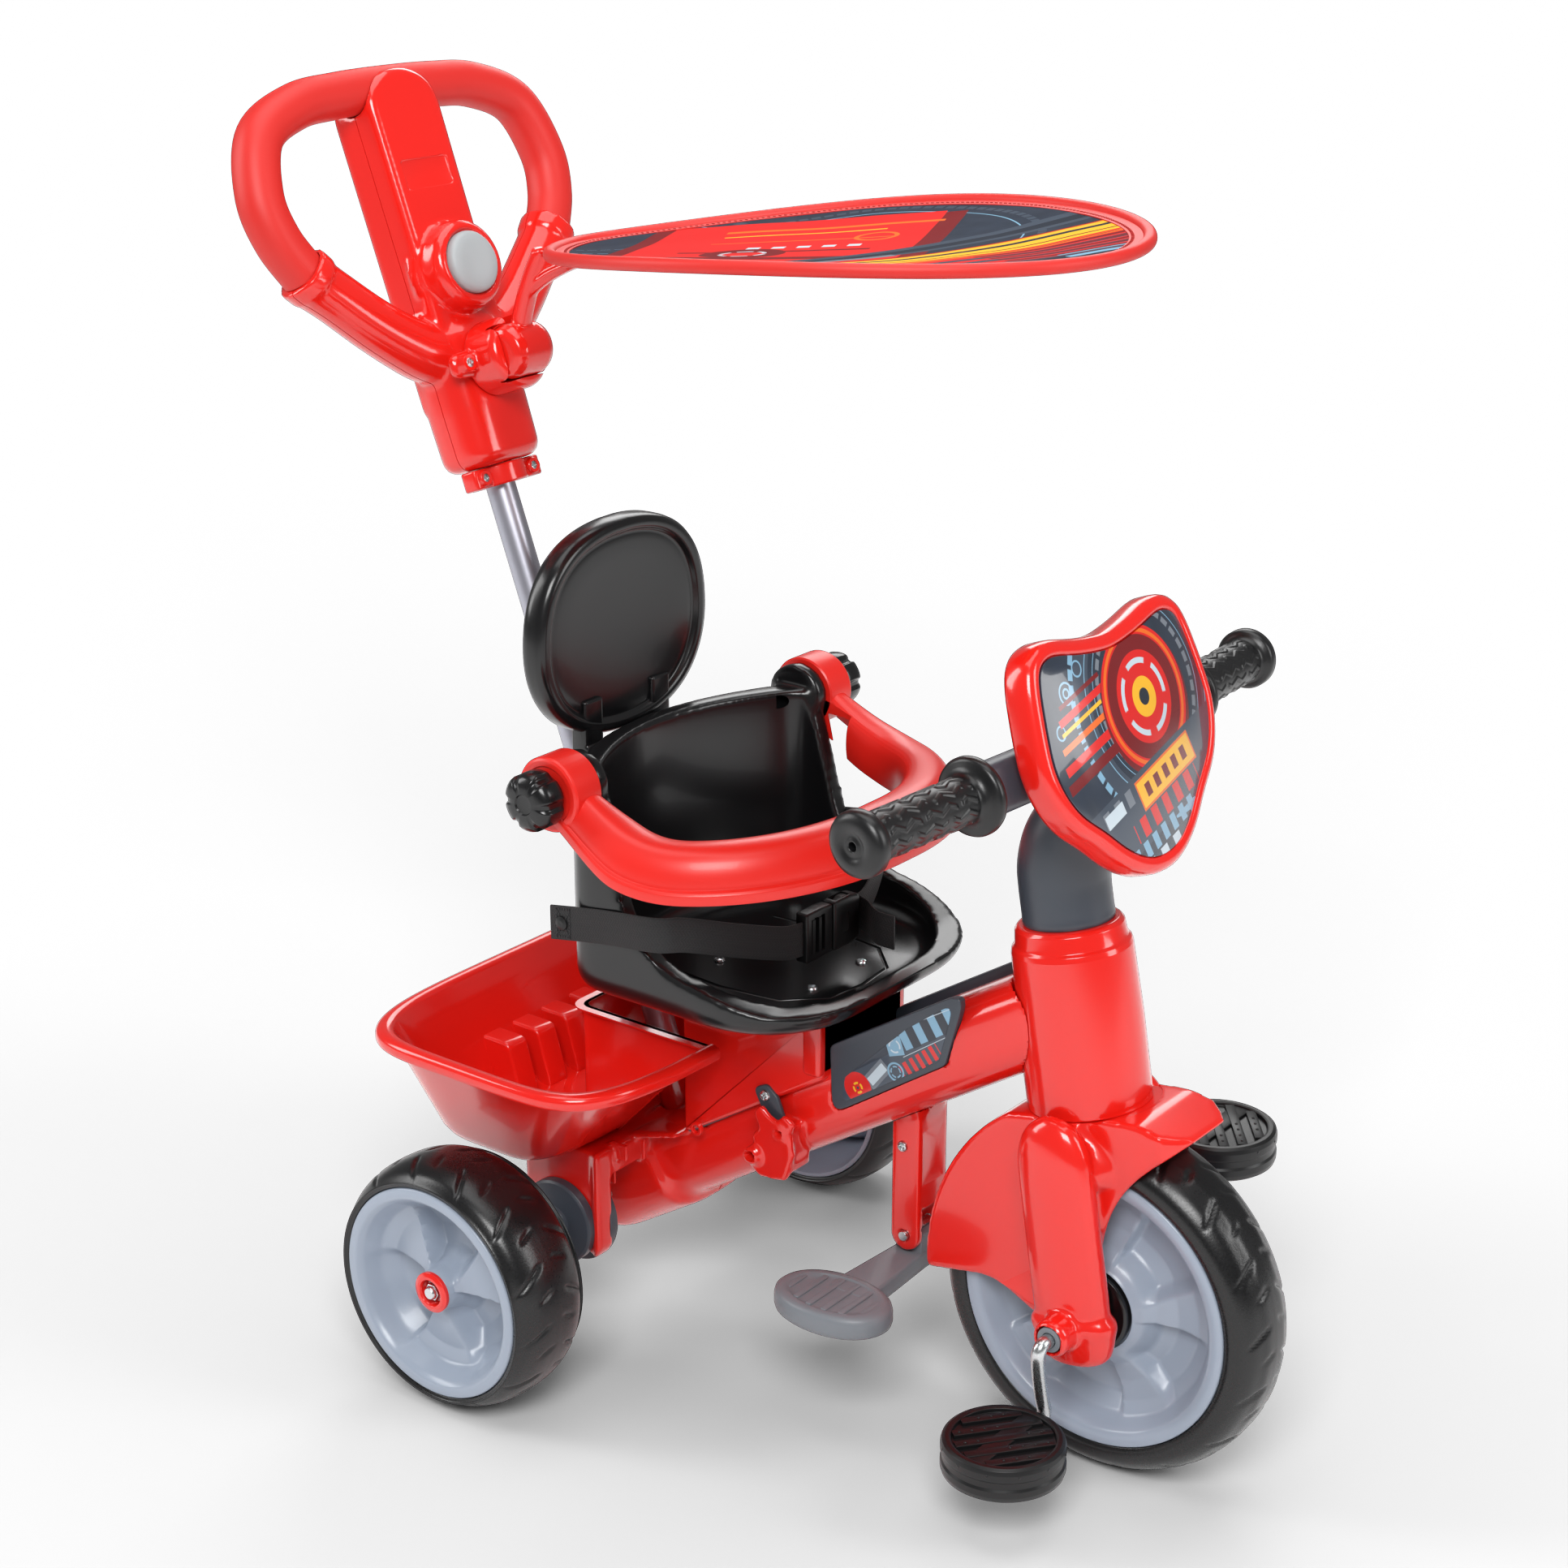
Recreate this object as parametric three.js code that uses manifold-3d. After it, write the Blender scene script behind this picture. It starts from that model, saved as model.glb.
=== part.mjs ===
// Child's push tricycle with parent handle and canopy, built as separate pieces.
// Millimetres, +X forward, +Y left, +Z up. The origin ends at the bottom centre of the box.
import * as THREE from 'three';
import { mergeVertices } from 'three/addons/utils/BufferGeometryUtils.js';
import Module from 'manifold-3d';

const wasm = await Module();
wasm.setup();

const degree = Math.PI / 180;

// ---- Driving dimensions ----
const fit = 0.3; // gap between pieces that touch
const wall = 3.5; // moulded walls
const wheelBase = 416;
const rearTrack = 432;
const rearTyreRadius = 95;
const rearTyreWidth = 71;
const rearRimRadius = 80.4;
const frontTyreRadius = 128;
const frontTyreWidth = 61.4;
const frontRimRadius = 103;
const axleRadius = 5;
const headRake = 9.8 * degree;
const forkClearance = 4; // between the tyre and the fender
const headBottom = 142; // along the steering axis, from the wheel centre
const headTop = 272;
const headRadius = 43;
const turnGap = 1; // round the head sleeve and the canopy's ball, which turn past facets
const stemRadius = 11;
const neckRadius = 31;
const beamRise = 5; // beam axis above the rear axle
const beamMeet = 214; // where the beam's axis meets the steering axis
const beamHalfWidth = 46;
const beamHalfHeight = 33;
const plateSpan = 105; // outer face of the rear side plates
const plateThickness = 10;
const spoolCore = 20;
const spoolInner = 38;
const spoolOuter = 33;
const poleRadius = 11;
const poleLean = 20.4 * degree;
const poleFoot = 36; // x where the pole leaves the beam
const poleReach = 500; // from its foot to the handle collar
const seatHeight = 298;
const seatHalfWidth = 132;
const seatRear = -2;
const seatFront = 235;
const seatBackHeight = 168;
const seatRim = 15;
const pivotX = 45;
const pivotRise = 160; // ring pivot above the seat's underside
const basketRimHeight = 252;
const basketFloorGap = fit;
const basketHalfWidth = 203;
const basketRear = -131;
const basketFront = 116;
const crankThrow = 72;
const pedalRadius = 42.5;
const pedalHeight = 26;
const pedalOffset = 121.5;
const gripHalfSpan = 244;
const gripRadius = 15.5;
const barHeight = 395; // handlebar above the wheel centre, along the steering axis
const barForward = 33;
const postX = 251;
const footrestHeight = 125; // its pin above the ground
const handleHalfWidth = 147;
const handleHeight = 301;
const loopRadius = 16.5;
const canopyLength = 452;
const canopyHalfWidth = 175;
const canopyPitch = 4.4 * degree;

// ---- Materials ----
function material(color, roughness, metalness = 0) {
  return new THREE.MeshStandardMaterial({ color, roughness, metalness });
}
const redGloss = material(0xd9261c, 0.25);
const redSoft = material(0xd8352b, 0.6);
const blackGloss = material(0x141416, 0.3);
const blackRubber = material(0x17181a, 0.7);
const charcoal = material(0x3b4048, 0.45);
const rimGrey = material(0x98a1b0, 0.35);
const midGrey = material(0x737a80, 0.5);
const buttonGrey = material(0xa5abad, 0.5);
const zinc = material(0xc4c8cc, 0.3, 0.9);
const satinSteel = material(0xa9abb8, 0.4, 0.8);
const webbing = material(0x1c1c1e, 0.9);
const navyPrint = material(0x1f2a38, 0.6);

// ---- Solids ----
function solidOf(geometry) {
  const bare = geometry.clone();
  bare.deleteAttribute('normal');
  bare.deleteAttribute('uv');
  const merged = mergeVertices(bare, 1e-3);
  const points = merged.attributes.position;
  const corners = merged.index.array;
  const kept = [];
  const [a, b, c] = [new THREE.Vector3(), new THREE.Vector3(), new THREE.Vector3()];
  let volume = 0;
  for (let i = 0; i < corners.length; i += 3) {
    const [p, q, r] = [corners[i], corners[i + 1], corners[i + 2]];
    if (p !== q && q !== r && r !== p) {
      kept.push([p, q, r]);
      a.fromBufferAttribute(points, p);
      b.fromBufferAttribute(points, q);
      c.fromBufferAttribute(points, r);
      volume += a.dot(b.cross(c));
    }
  }
  const triVerts = Uint32Array.from(kept.flatMap(([p, q, r]) => (volume > 0 ? [p, q, r] : [p, r, q])));
  const vertProperties = Float32Array.from(points.array);
  return new wasm.Manifold(new wasm.Mesh({ numProp: 3, vertProperties, triVerts }));
}

function joined(...geometries) {
  return geometries.map((item) => (item.isBufferGeometry ? solidOf(item) : item)).reduce((a, b) => a.add(b));
}

function cut(body, ...tools) {
  return tools.reduce((rest, tool) => rest.subtract(joined(tool)), joined(body));
}

function common(body, ...others) {
  return others.reduce((rest, other) => rest.intersect(joined(other)), joined(body));
}

function piece(parent, name, body, look, side = 1) {
  const result = joined(body).getMesh();
  const points = Float32Array.from(result.vertProperties);
  const corners = Array.from(result.triVerts);
  const geometry = new THREE.BufferGeometry();
  geometry.setAttribute('position', new THREE.BufferAttribute(points, 3));
  geometry.setIndex(side > 0 ? corners : corners.reverse());
  geometry.scale(1, side, 1);
  geometry.computeVertexNormals();
  const mesh = new THREE.Mesh(geometry, look);
  mesh.name = name;
  parent.add(mesh);
  return mesh;
}

// Both of a pair: the left one as given, the right one its mirror image.
function pair(parent, name, body, look) {
  piece(parent, `${name}_left`, body, look, 1);
  piece(parent, `${name}_right`, body, look, -1);
}

// ---- Shapes ----
function box(width, depth, height, x = 0, y = 0, z = 0) {
  return new THREE.BoxGeometry(width, depth, height).translate(x, y, z);
}

// A block between two corners.
function block(low, high) {
  const size = high.map((value, i) => value - low[i]);
  const middle = high.map((value, i) => (value + low[i]) / 2);
  return box(...size, ...middle);
}

function rodY(radius, from, to, sides = 12) {
  return new THREE.CylinderGeometry(radius, radius, to - from, sides).translate(0, (from + to) / 2, 0);
}

function rodZ(radius, from, to, sides = 12) {
  return rodY(radius, from, to, sides).rotateX(Math.PI / 2);
}

function rodX(radius, from, to, sides = 12) {
  return rodY(radius, -to, -from, sides).rotateZ(Math.PI / 2);
}

// Revolved about Y from [radius, height] pairs; the profile closes on itself.
function turned(profile, sides) {
  const points = [...profile, profile[0]].map(([radius, height]) => new THREE.Vector2(radius, height));
  return new THREE.LatheGeometry(points, sides);
}

// An outline in X and Z, extruded across Y between two planes.
function acrossY(outline, from, to, bevel = 0) {
  return slab(outline, to - from, bevel).rotateX(Math.PI / 2).translate(0, (from + to) / 2, 0);
}

// An outline in Y and Z, extruded along X between two planes.
function alongX(outline, from, to, bevel = 0) {
  const turn = new THREE.Matrix4().makeBasis(
    new THREE.Vector3(0, 1, 0),
    new THREE.Vector3(0, 0, 1),
    new THREE.Vector3(1, 0, 0),
  );
  return slab(outline, to - from, bevel).applyMatrix4(turn).translate((from + to) / 2, 0, 0);
}

// An outline extruded along Z about the middle, with its edges rounded inside the outline.
function slab(outline, thickness, bevel = 0, bevelSize = bevel, curveSegments = 3, bevelSegments = 1) {
  const drawn = (points) => new THREE.Shape(points.map(([x, y]) => new THREE.Vector2(x, y)));
  const shape = outline instanceof THREE.Shape ? outline : drawn(outline);
  const geometry = new THREE.ExtrudeGeometry(shape, {
    depth: thickness - 2 * bevel,
    bevelEnabled: bevel > 0,
    bevelThickness: bevel,
    bevelSize,
    bevelOffset: -bevelSize,
    bevelSegments,
    curveSegments,
  });
  return geometry.translate(0, 0, bevel - thickness / 2);
}

// A closed body formed from a cylinder; place(t, angle, reach) gives each of its points.
function formed(sides, steps, place) {
  const geometry = new THREE.CylinderGeometry(1, 1, 1, sides, steps);
  const position = geometry.attributes.position;
  for (let i = 0; i < position.count; i += 1) {
    const [x, y, z] = [position.getX(i), position.getY(i), position.getZ(i)];
    const reach = Math.hypot(x, z) > 0.5 ? 1 : 0;
    const point = place(y + 0.5, Math.atan2(z, x), reach);
    position.setXYZ(i, point[0], point[1], point[2]);
  }
  return geometry;
}

// A point of a rounded section: a power of 2 is an ellipse, larger ones are squarer.
function rounded(angle, halfA, halfB, power) {
  const [c, s] = [Math.cos(angle), Math.sin(angle)].map((value) => (Math.abs(value) < 1e-9 ? 0 : value));
  const bulge = 2 / power;
  return [Math.sign(c) * Math.abs(c) ** bulge * halfA, Math.sign(s) * Math.abs(s) ** bulge * halfB];
}

// Linear reading of a table of [key, ...values] rows.
function readTable(table, key) {
  const next = table.findIndex((row) => row[0] >= key);
  if (next === 0) return table[0].slice(1);
  if (next < 0) return table[table.length - 1].slice(1);
  const [low, high] = [table[next - 1], table[next]];
  const share = (key - low[0]) / (high[0] - low[0]);
  return low.slice(1).map((value, i) => value + share * (high[i + 1] - value));
}

// A rod of round section along a curve.
function sweptRod(points, radius, sides, steps) {
  const path = new THREE.CatmullRomCurve3(points.map((p) => new THREE.Vector3(...p)), false, 'centripetal');
  const circle = new THREE.Shape();
  circle.absarc(0, 0, radius, 0, 2 * Math.PI);
  return new THREE.ExtrudeGeometry(circle, { steps, extrudePath: path, curveSegments: sides });
}

// ---- Frames of reference ----
const trike = new THREE.Group();
const wheelCentre = new THREE.Vector3(wheelBase, 0, frontTyreRadius);
const rakedTurn = new THREE.Euler(0, -headRake, 0);

function rakedGroup() {
  const group = new THREE.Group();
  group.position.copy(wheelCentre);
  group.rotation.copy(rakedTurn);
  trike.add(group);
  return group;
}

// Moves a geometry made about the steering axis into the tricycle's frame.
function fromRaked(geometry) {
  return geometry.rotateY(-headRake).translate(...wheelCentre.toArray());
}

// ---- Beam: an inclined rounded section from the rear axle to the head sleeve ----
const beamStart = [0, rearTyreRadius + beamRise];
const beamEnd = [
  wheelBase - beamMeet * Math.sin(headRake),
  frontTyreRadius + beamMeet * Math.cos(headRake),
];
const beamLength = Math.hypot(beamEnd[0] - beamStart[0], beamEnd[1] - beamStart[1]);
const beamTilt = Math.atan2(beamEnd[1] - beamStart[1], beamEnd[0] - beamStart[0]);
const barrelEnd = 58; // where the thicker rear barrel stops
const beamSections = [
  [-34, beamHalfWidth, beamHalfHeight],
  [-18, beamHalfWidth + 9, beamHalfHeight + 7],
  [barrelEnd - 4, beamHalfWidth + 9, beamHalfHeight + 7],
  [barrelEnd + 3, beamHalfWidth + 1, beamHalfHeight + 1],
  [200, beamHalfWidth - 2, beamHalfHeight],
  [beamLength, beamHalfWidth - 6, beamHalfHeight - 1],
];

function beamGeometry(grow, from = -34, to = beamLength, middle = beamSections) {
  const stops = middle.map((row) => row[0]).filter((stop) => stop > from && stop < to);
  const along = [from, ...stops, to];
  const steps = along.length - 1;
  const geometry = formed(14, steps, (t, angle, reach) => {
    const distance = along[Math.round(t * steps)];
    const [halfWidth, halfHeight] = readTable(beamSections, distance);
    const [y, z] = rounded(angle, halfWidth + grow, halfHeight + grow, 3.4);
    const end = distance === from ? -Math.max(grow, 0) : 0;
    return [distance + end, y * reach, z * reach];
  });
  return geometry.rotateY(-beamTilt).translate(beamStart[0], 0, beamStart[1]);
}

function beamAxisHeight(x) {
  return beamStart[1] + (x - beamStart[0]) * Math.tan(beamTilt);
}

// Moves a geometry made in the beam's own frame (X along it) into the tricycle's frame.
function fromBeam(geometry) {
  return geometry.rotateY(-beamTilt).translate(beamStart[0], 0, beamStart[1]);
}

const axleBore = axleRadius + fit;
const bodyFloor = rearTyreRadius + spoolInner + 1;
const bodyTop = bodyFloor + 23;
const bodyRear = -38;
const bodyFront = 36;
const plateFoot = rearTyreRadius - 24;

function rearPlate() {
  const slot = spoolCore + fit;
  const outline = [
    [bodyRear, bodyTop],
    [bodyFront, bodyTop],
    [bodyFront, plateFoot + 8],
    [bodyFront - 8, plateFoot],
    [slot, plateFoot + 2],
    [-slot, plateFoot + 2],
    [-slot - 8, plateFoot],
    [bodyRear, plateFoot + 14],
  ];
  const plate = acrossY(outline, plateSpan - plateThickness, plateSpan);
  const core = rodY(slot, plateSpan - plateThickness - 1, plateSpan + 1, 16).translate(0, 0, rearTyreRadius);
  const mouth = block([-slot, plateSpan - plateThickness - 1, 0], [slot, plateSpan + 1, rearTyreRadius]);
  return cut(plate, core, mouth);
}

// A small moulded hook with a cross tube on the beam's flank.
const lugX = 163;
const lugReach = 14; // beyond the beam's flank
function sideLug() {
  const lugZ = beamAxisHeight(lugX) - 16;
  const outer = beamHalfWidth + lugReach;
  const hook = new THREE.Shape();
  hook.moveTo(-20, -24);
  hook.lineTo(12, -26);
  hook.lineTo(19, 14);
  hook.lineTo(4, 26);
  hook.lineTo(-14, 20);
  hook.quadraticCurveTo(-8, 0, -20, -10);
  const plate = acrossY(hook, outer - 6, outer).translate(lugX, 0, lugZ);
  const tube = rodY(7, beamHalfWidth - 8, outer + 4, 10).translate(lugX - 6, 0, lugZ - 6);
  const web = block([lugX - 8, beamHalfWidth - 8, lugZ - 4], [lugX + 14, outer - 3, lugZ + 2]);
  const bore = rodY(3.2, beamHalfWidth + 2, outer + 5, 8).translate(lugX - 6, 0, lugZ - 6);
  return cut(joined(plate, tube, web), bore);
}

// Where the charcoal inserts lie, in the beam's own frame: [along, up].
const insertInner = beamHalfWidth - 9;
const insertLow = -9;
const insertHigh = beamHalfHeight + 4;
const bracketFront = 200;
const insertRear = (up) => (bracketFront + 3 + up * Math.sin(beamTilt)) / Math.cos(beamTilt);
const insertOutline = [
  [insertRear(insertLow), insertLow],
  [beamLength - 62, insertLow + 4],
  [beamLength - 16, insertHigh],
  [insertRear(insertHigh), insertHigh],
];

function insertPrism(grow, innerY) {
  const [low, high] = [insertOutline[0], insertOutline[2]];
  const middle = [(low[0] + high[0]) / 2, (low[1] + high[1]) / 2];
  const outline = insertOutline.map(([x, z]) => [
    x + Math.sign(x - middle[0]) * grow,
    z + Math.sign(z - middle[1]) * grow,
  ]);
  return fromBeam(acrossY(outline, innerY, beamHalfWidth + 12));
}

// The pole's axis, as a rod of any radius between two distances from its foot.
const poleFootZ = beamAxisHeight(poleFoot) + beamHalfHeight / Math.cos(beamTilt) - 12;
function poleRod(radius, from, to, sides = 16) {
  return rodZ(radius, from, to, sides).rotateY(-poleLean).translate(poleFoot, 0, poleFootZ);
}
const socketRadius = poleRadius + 6;
const socketDepth = 46;
const socketHeight = 52;

const headBore = fromRaked(rodZ(headRadius + fit, headBottom - 60, headTop + 40, 20));
const footPinBore = rodY(axleBore, -plateSpan - 2, plateSpan + 2, 12).translate(0, 0, rearTyreRadius);

function frameHalf() {
  const housing = block([bodyRear, 0, bodyFloor], [bodyFront, plateSpan, bodyTop]);
  const shell = joined(beamGeometry(0), housing, rearPlate(), sideLug());
  const hollow = beamGeometry(-wall - 1, -24 + wall, beamLength - 70, [[barrelEnd]]);
  const keepLeft = block([-400, fit / 2, -400], [900, 400, 900]);
  const frontOpen = fromRaked(rodZ(headRadius + 6, headBottom - 60, headTop + 40, 20));
  const inside = cut(hollow, frontOpen, poleRod(socketRadius + wall, -socketDepth - wall, 60));
  return cut(
    common(shell, keepLeft),
    inside,
    footPinBore,
    headBore,
    insertPrism(fit, insertInner - fit),
    poleRod(socketRadius + fit, -socketDepth - fit, 200, 16),
  );
}

const frame = new THREE.Group();
trike.add(frame);
pair(frame, 'frame', frameHalf(), redGloss);
pair(
  frame,
  'side_insert',
  common(insertPrism(0, insertInner), beamGeometry(1)),
  charcoal,
);

// ---- Pole socket: a tube clamped between the frame halves ----
piece(
  frame,
  'pole_socket',
  cut(
    joined(
      poleRod(socketRadius, -socketDepth, socketHeight, 16),
      poleRod(socketRadius + 3, socketHeight - 8, socketHeight, 16),
    ),
    poleRod(poleRadius + fit, -socketDepth + wall, socketHeight + 1, 16),
  ),
  redGloss,
);

// ---- Head sleeve and its bushes ----
const bushRadius = 20;
const bushLength = 20;
const sleeve = rakedGroup();
const sleeveProfile = [
  [stemRadius + 2, headBottom],
  [headRadius, headBottom],
  [headRadius, headTop - 17],
  [headRadius - 5, headTop - 13],
  [headRadius - 7, headTop],
  [stemRadius + 2, headTop],
];
piece(
  sleeve,
  'head_sleeve',
  cut(
    turned(sleeveProfile, 20).rotateX(Math.PI / 2),
    rodZ(bushRadius + fit, headBottom - 1, headBottom + bushLength, 16),
    rodZ(bushRadius + fit, headTop - bushLength, headTop + 1, 16),
  ),
  redGloss,
);
const bush = cut(
  rodZ(bushRadius, 0, bushLength - 2 * fit, 16),
  rodZ(stemRadius + fit, -1, bushLength + 1, 14),
);
piece(sleeve, 'lower_head_bush', bush, midGrey).position.z = headBottom + fit;
piece(sleeve, 'upper_head_bush', bush, midGrey).position.z = headTop - bushLength + fit;

// ---- Seat bracket: a wedge that straddles the beam under the seat ----
const bracketRear = 72;
const bracketHalfWidth = beamHalfWidth + 4;
const strapFrom = 146;
const strapTo = 168;
const strapDrop = 30;

function seatBracket() {
  const skirt = 4; // how far below the beam's shoulders it reaches
  const shoulder = (x) => beamAxisHeight(x) + beamHalfHeight / Math.cos(beamTilt) - 16 - skirt;
  const top = seatHeight - fit;
  const outline = [
    [bracketRear, shoulder(bracketRear)],
    [strapFrom, shoulder(strapFrom)],
    [strapFrom, shoulder(strapFrom) - strapDrop],
    [strapTo, shoulder(strapTo) - strapDrop],
    [strapTo, shoulder(strapTo)],
    [bracketFront, shoulder(bracketFront)],
    [bracketFront, top],
    [bracketRear + 10, top],
    [bracketRear, top - 30],
  ];
  const body = acrossY(outline, -bracketHalfWidth, bracketHalfWidth);
  const cross = block([0, -plateSpan, 0], [bodyFront + fit, plateSpan, bodyTop + 30]);
  return cut(
    body,
    beamGeometry(fit),
    fromBeam(block([0, -bracketHalfWidth - 1, -200], [400, bracketHalfWidth + 1, 0])),
    cross,
  );
}
piece(frame, 'seat_bracket', seatBracket(), charcoal);

// ---- Footrest post, footrest and its pin ----
const pinRadius = 4;
const postDepth = 24;
const postWidth = 36;
const footHub = postDepth / 2;
const cheekInner = 12;

function footrestPost() {
  const top = beamAxisHeight(postX);
  const body = block(
    [postX - footHub, -postWidth / 2, footrestHeight],
    [postX + footHub, postWidth / 2, top],
  );
  const foot = rodY(footHub, -postWidth / 2, postWidth / 2, 14).translate(postX, 0, footrestHeight);
  const gap = block(
    [postX - footHub - 1, -cheekInner, footrestHeight - footHub - 1],
    [postX + footHub + 1, cheekInner, footrestHeight + footHub + 10],
  );
  const bore = rodY(pinRadius + fit, -postWidth, postWidth, 10).translate(postX, 0, footrestHeight);
  return cut(joined(body, foot), gap, bore, beamGeometry(fit));
}
piece(frame, 'footrest_post', footrestPost(), redGloss);

const footrest = new THREE.Group();
footrest.position.set(postX, 0, footrestHeight);
trike.add(footrest);
const padCentre = 98;
const padLength = 92;
const padWidth = 62;
const padThickness = 17;

function footrestBody() {
  const top = -footHub - 0.6;
  const plan = new THREE.Shape();
  plan.absellipse(0, padCentre, padLength / 2, padWidth / 2, 0, 2 * Math.PI);
  const pad = slab(plan, padThickness, 3, 3, 6).translate(-4, 0, top - padThickness / 2);
  const otherPad = pad.clone().rotateZ(Math.PI).translate(-8, 0, 0);
  const bar = block([-18, -padCentre, top - padThickness + 2], [18, padCentre, top]);
  const hub = rodY(footHub - 1, -cheekInner + fit, cheekInner - fit, 12);
  const neck = block([-footHub + 1, -cheekInner + fit, top - 4], [footHub - 1, cheekInner - fit, 0]);
  return cut(
    joined(pad, otherPad, bar, hub, neck),
    rodY(pinRadius + fit, -cheekInner - 1, cheekInner + 1, 10),
  );
}
piece(footrest, 'footrest', footrestBody(), midGrey);
piece(footrest, 'footrest_pin', rodY(pinRadius, -postWidth / 2 - 2, postWidth / 2 + 2, 10), zinc);

// ---- Rear axle, spools and wheels ----
const rear = new THREE.Group();
rear.position.z = rearTyreRadius;
trike.add(rear);
const rearWheelY = rearTrack / 2;
const rimHalf = rearTyreWidth / 2 - 0.6;
const hubInner = rimHalf - 5; // half length of the rim's hub
const hubTop = rimHalf - 6;
const bushBore = 11;
const axleHalf = rearWheelY + rimHalf - 0.4;
piece(rear, 'rear_axle', rodY(axleRadius, -axleHalf, axleHalf, 12), zinc);

const spoolEnd = rearWheelY - hubInner - 2 * fit;
const spoolFrom = plateSpan - plateThickness - fit;
const spool = [
  [axleBore, spoolFrom - 8],
  [spoolInner, spoolFrom - 8],
  [spoolInner, spoolFrom],
  [spoolCore, spoolFrom],
  [spoolCore, plateSpan + fit],
  [spoolOuter, plateSpan + fit],
  [spoolOuter, plateSpan + fit + 8],
  [axleRadius + 7, plateSpan + fit + 10],
  [axleRadius + 7, spoolEnd],
  [axleBore, spoolEnd],
];
pair(rear, 'axle_bush', turned(spool, 16), charcoal);

// A tyre with a rib that sits in the rim's groove.
function tyreProfile(outer, rim, half) {
  return [
    [rim + fit, -half],
    [outer - 6, -half],
    [outer, -half + 12],
    [outer, half - 12],
    [outer - 6, half],
    [rim + fit, half],
    [rim + fit, half - 11],
    [rim - 4 + fit, half - 15],
    [rim - 4 + fit, -half + 15],
    [rim + fit, -half + 11],
  ];
}

// A dished rim: outer lip, sloping wall, web and hub; open behind the web.
function rimProfile(rim, half, hub, bore, top, web) {
  return [
    [bore, top],
    [hub, top],
    [hub + 3, web],
    [rim - 24, web],
    [rim - 9.5, half],
    [rim, half],
    [rim, half - 10],
    [rim - 4, half - 14],
    [rim - 4, -half + 14],
    [rim, -half + 10],
    [rim, -half],
    [rim - 6, -half],
    [rim - 9, web - 4],
    [hub, web - 4],
    [hub, -hubInner],
    [bore, -hubInner],
  ];
}

// Raised wedge pads of a rim, between the hub and the sloping wall.
function rimPads(count, from, to, low, high, spread) {
  const pads = [];
  for (let i = 0; i < count; i += 1) {
    const pad = new THREE.Shape();
    const narrow = from * Math.sin(spread) * 1.1;
    const wide = to * Math.sin(spread) * 1.15;
    pad.moveTo(from - 4, -narrow);
    pad.lineTo(to, -wide);
    pad.quadraticCurveTo(to + 5, 0, to, wide);
    pad.lineTo(from - 4, narrow);
    const raised = slab(pad, high - low, 0, 0, 2).rotateZ((i + 0.25) * 2 * Math.PI / count);
    pads.push(raised.rotateX(-Math.PI / 2).translate(0, (low + high) / 2, 0));
  }
  return joined(...pads);
}

const webLevel = 6;
const wheelSides = 20;
const rearRim = joined(
  turned(rimProfile(rearRimRadius, rimHalf, 16, bushBore + fit, hubTop, webLevel), wheelSides),
  rimPads(3, 20, rearRimRadius - 17, webLevel - 3, webLevel + 13, 27 * degree),
);
const hubFace = hubTop + fit;
const hubBush = [
  [axleBore, -hubInner],
  [bushBore, -hubInner],
  [bushBore, hubFace],
  [15.5, hubFace],
  [15.5, hubFace + 3],
  [12, hubFace + 4],
  [10, hubFace + 4],
  [9.5, hubFace - 4],
  [axleBore, hubFace - 4],
];
const nut = [
  [axleBore, hubFace - 4 + fit],
  [8, hubFace - 4 + fit],
  [8, hubFace - 2.5],
  [6.8, hubFace - 2],
  [6.8, hubFace + 3],
  [axleBore, hubFace + 3],
];
for (const [word, side] of [['left', 1], ['right', -1]]) {
  const wheel = new THREE.Group();
  wheel.position.y = side * rearWheelY;
  rear.add(wheel);
  piece(wheel, `rear_rim_${word}`, rearRim, rimGrey, side);
  piece(
    wheel,
    `rear_tyre_${word}`,
    turned(tyreProfile(rearTyreRadius, rearRimRadius, rearTyreWidth / 2), wheelSides),
    blackRubber,
    side,
  );
  piece(wheel, `hub_bush_${word}`, turned(hubBush, 12), redGloss, side);
  piece(wheel, `axle_nut_${word}`, turned(nut, 12), zinc, side);
}

// ---- Basket: drafted tub with a rolled rim and a notch for the frame ----
const basketFloor = bodyTop + basketFloorGap;
const notchHalfWidth = beamHalfWidth + 14;
const notchRear = -14;
const lipReach = 7;
const lipHeight = 12;
const basketSections = [
  [0, -88, 20, 148],
  [0.12, -96, 30, 156],
  [1, basketRear + lipReach, basketFront - lipReach, basketHalfWidth - lipReach],
];

function tub(inset, floor, top) {
  const height = basketRimHeight - basketFloor;
  const shares = [floor, floor + 8, top].map((z) => (z - basketFloor) / height);
  return formed(28, 2, (t, angle, reach) => {
    const share = shares[Math.round(t * 2)];
    const [back, front, half] = readTable(basketSections, share);
    const [x, y] = rounded(angle, (front - back) / 2 - inset, half - inset, 5);
    return [(front + back) / 2 + x * reach, y * reach, basketFloor + share * height];
  });
}

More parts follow.
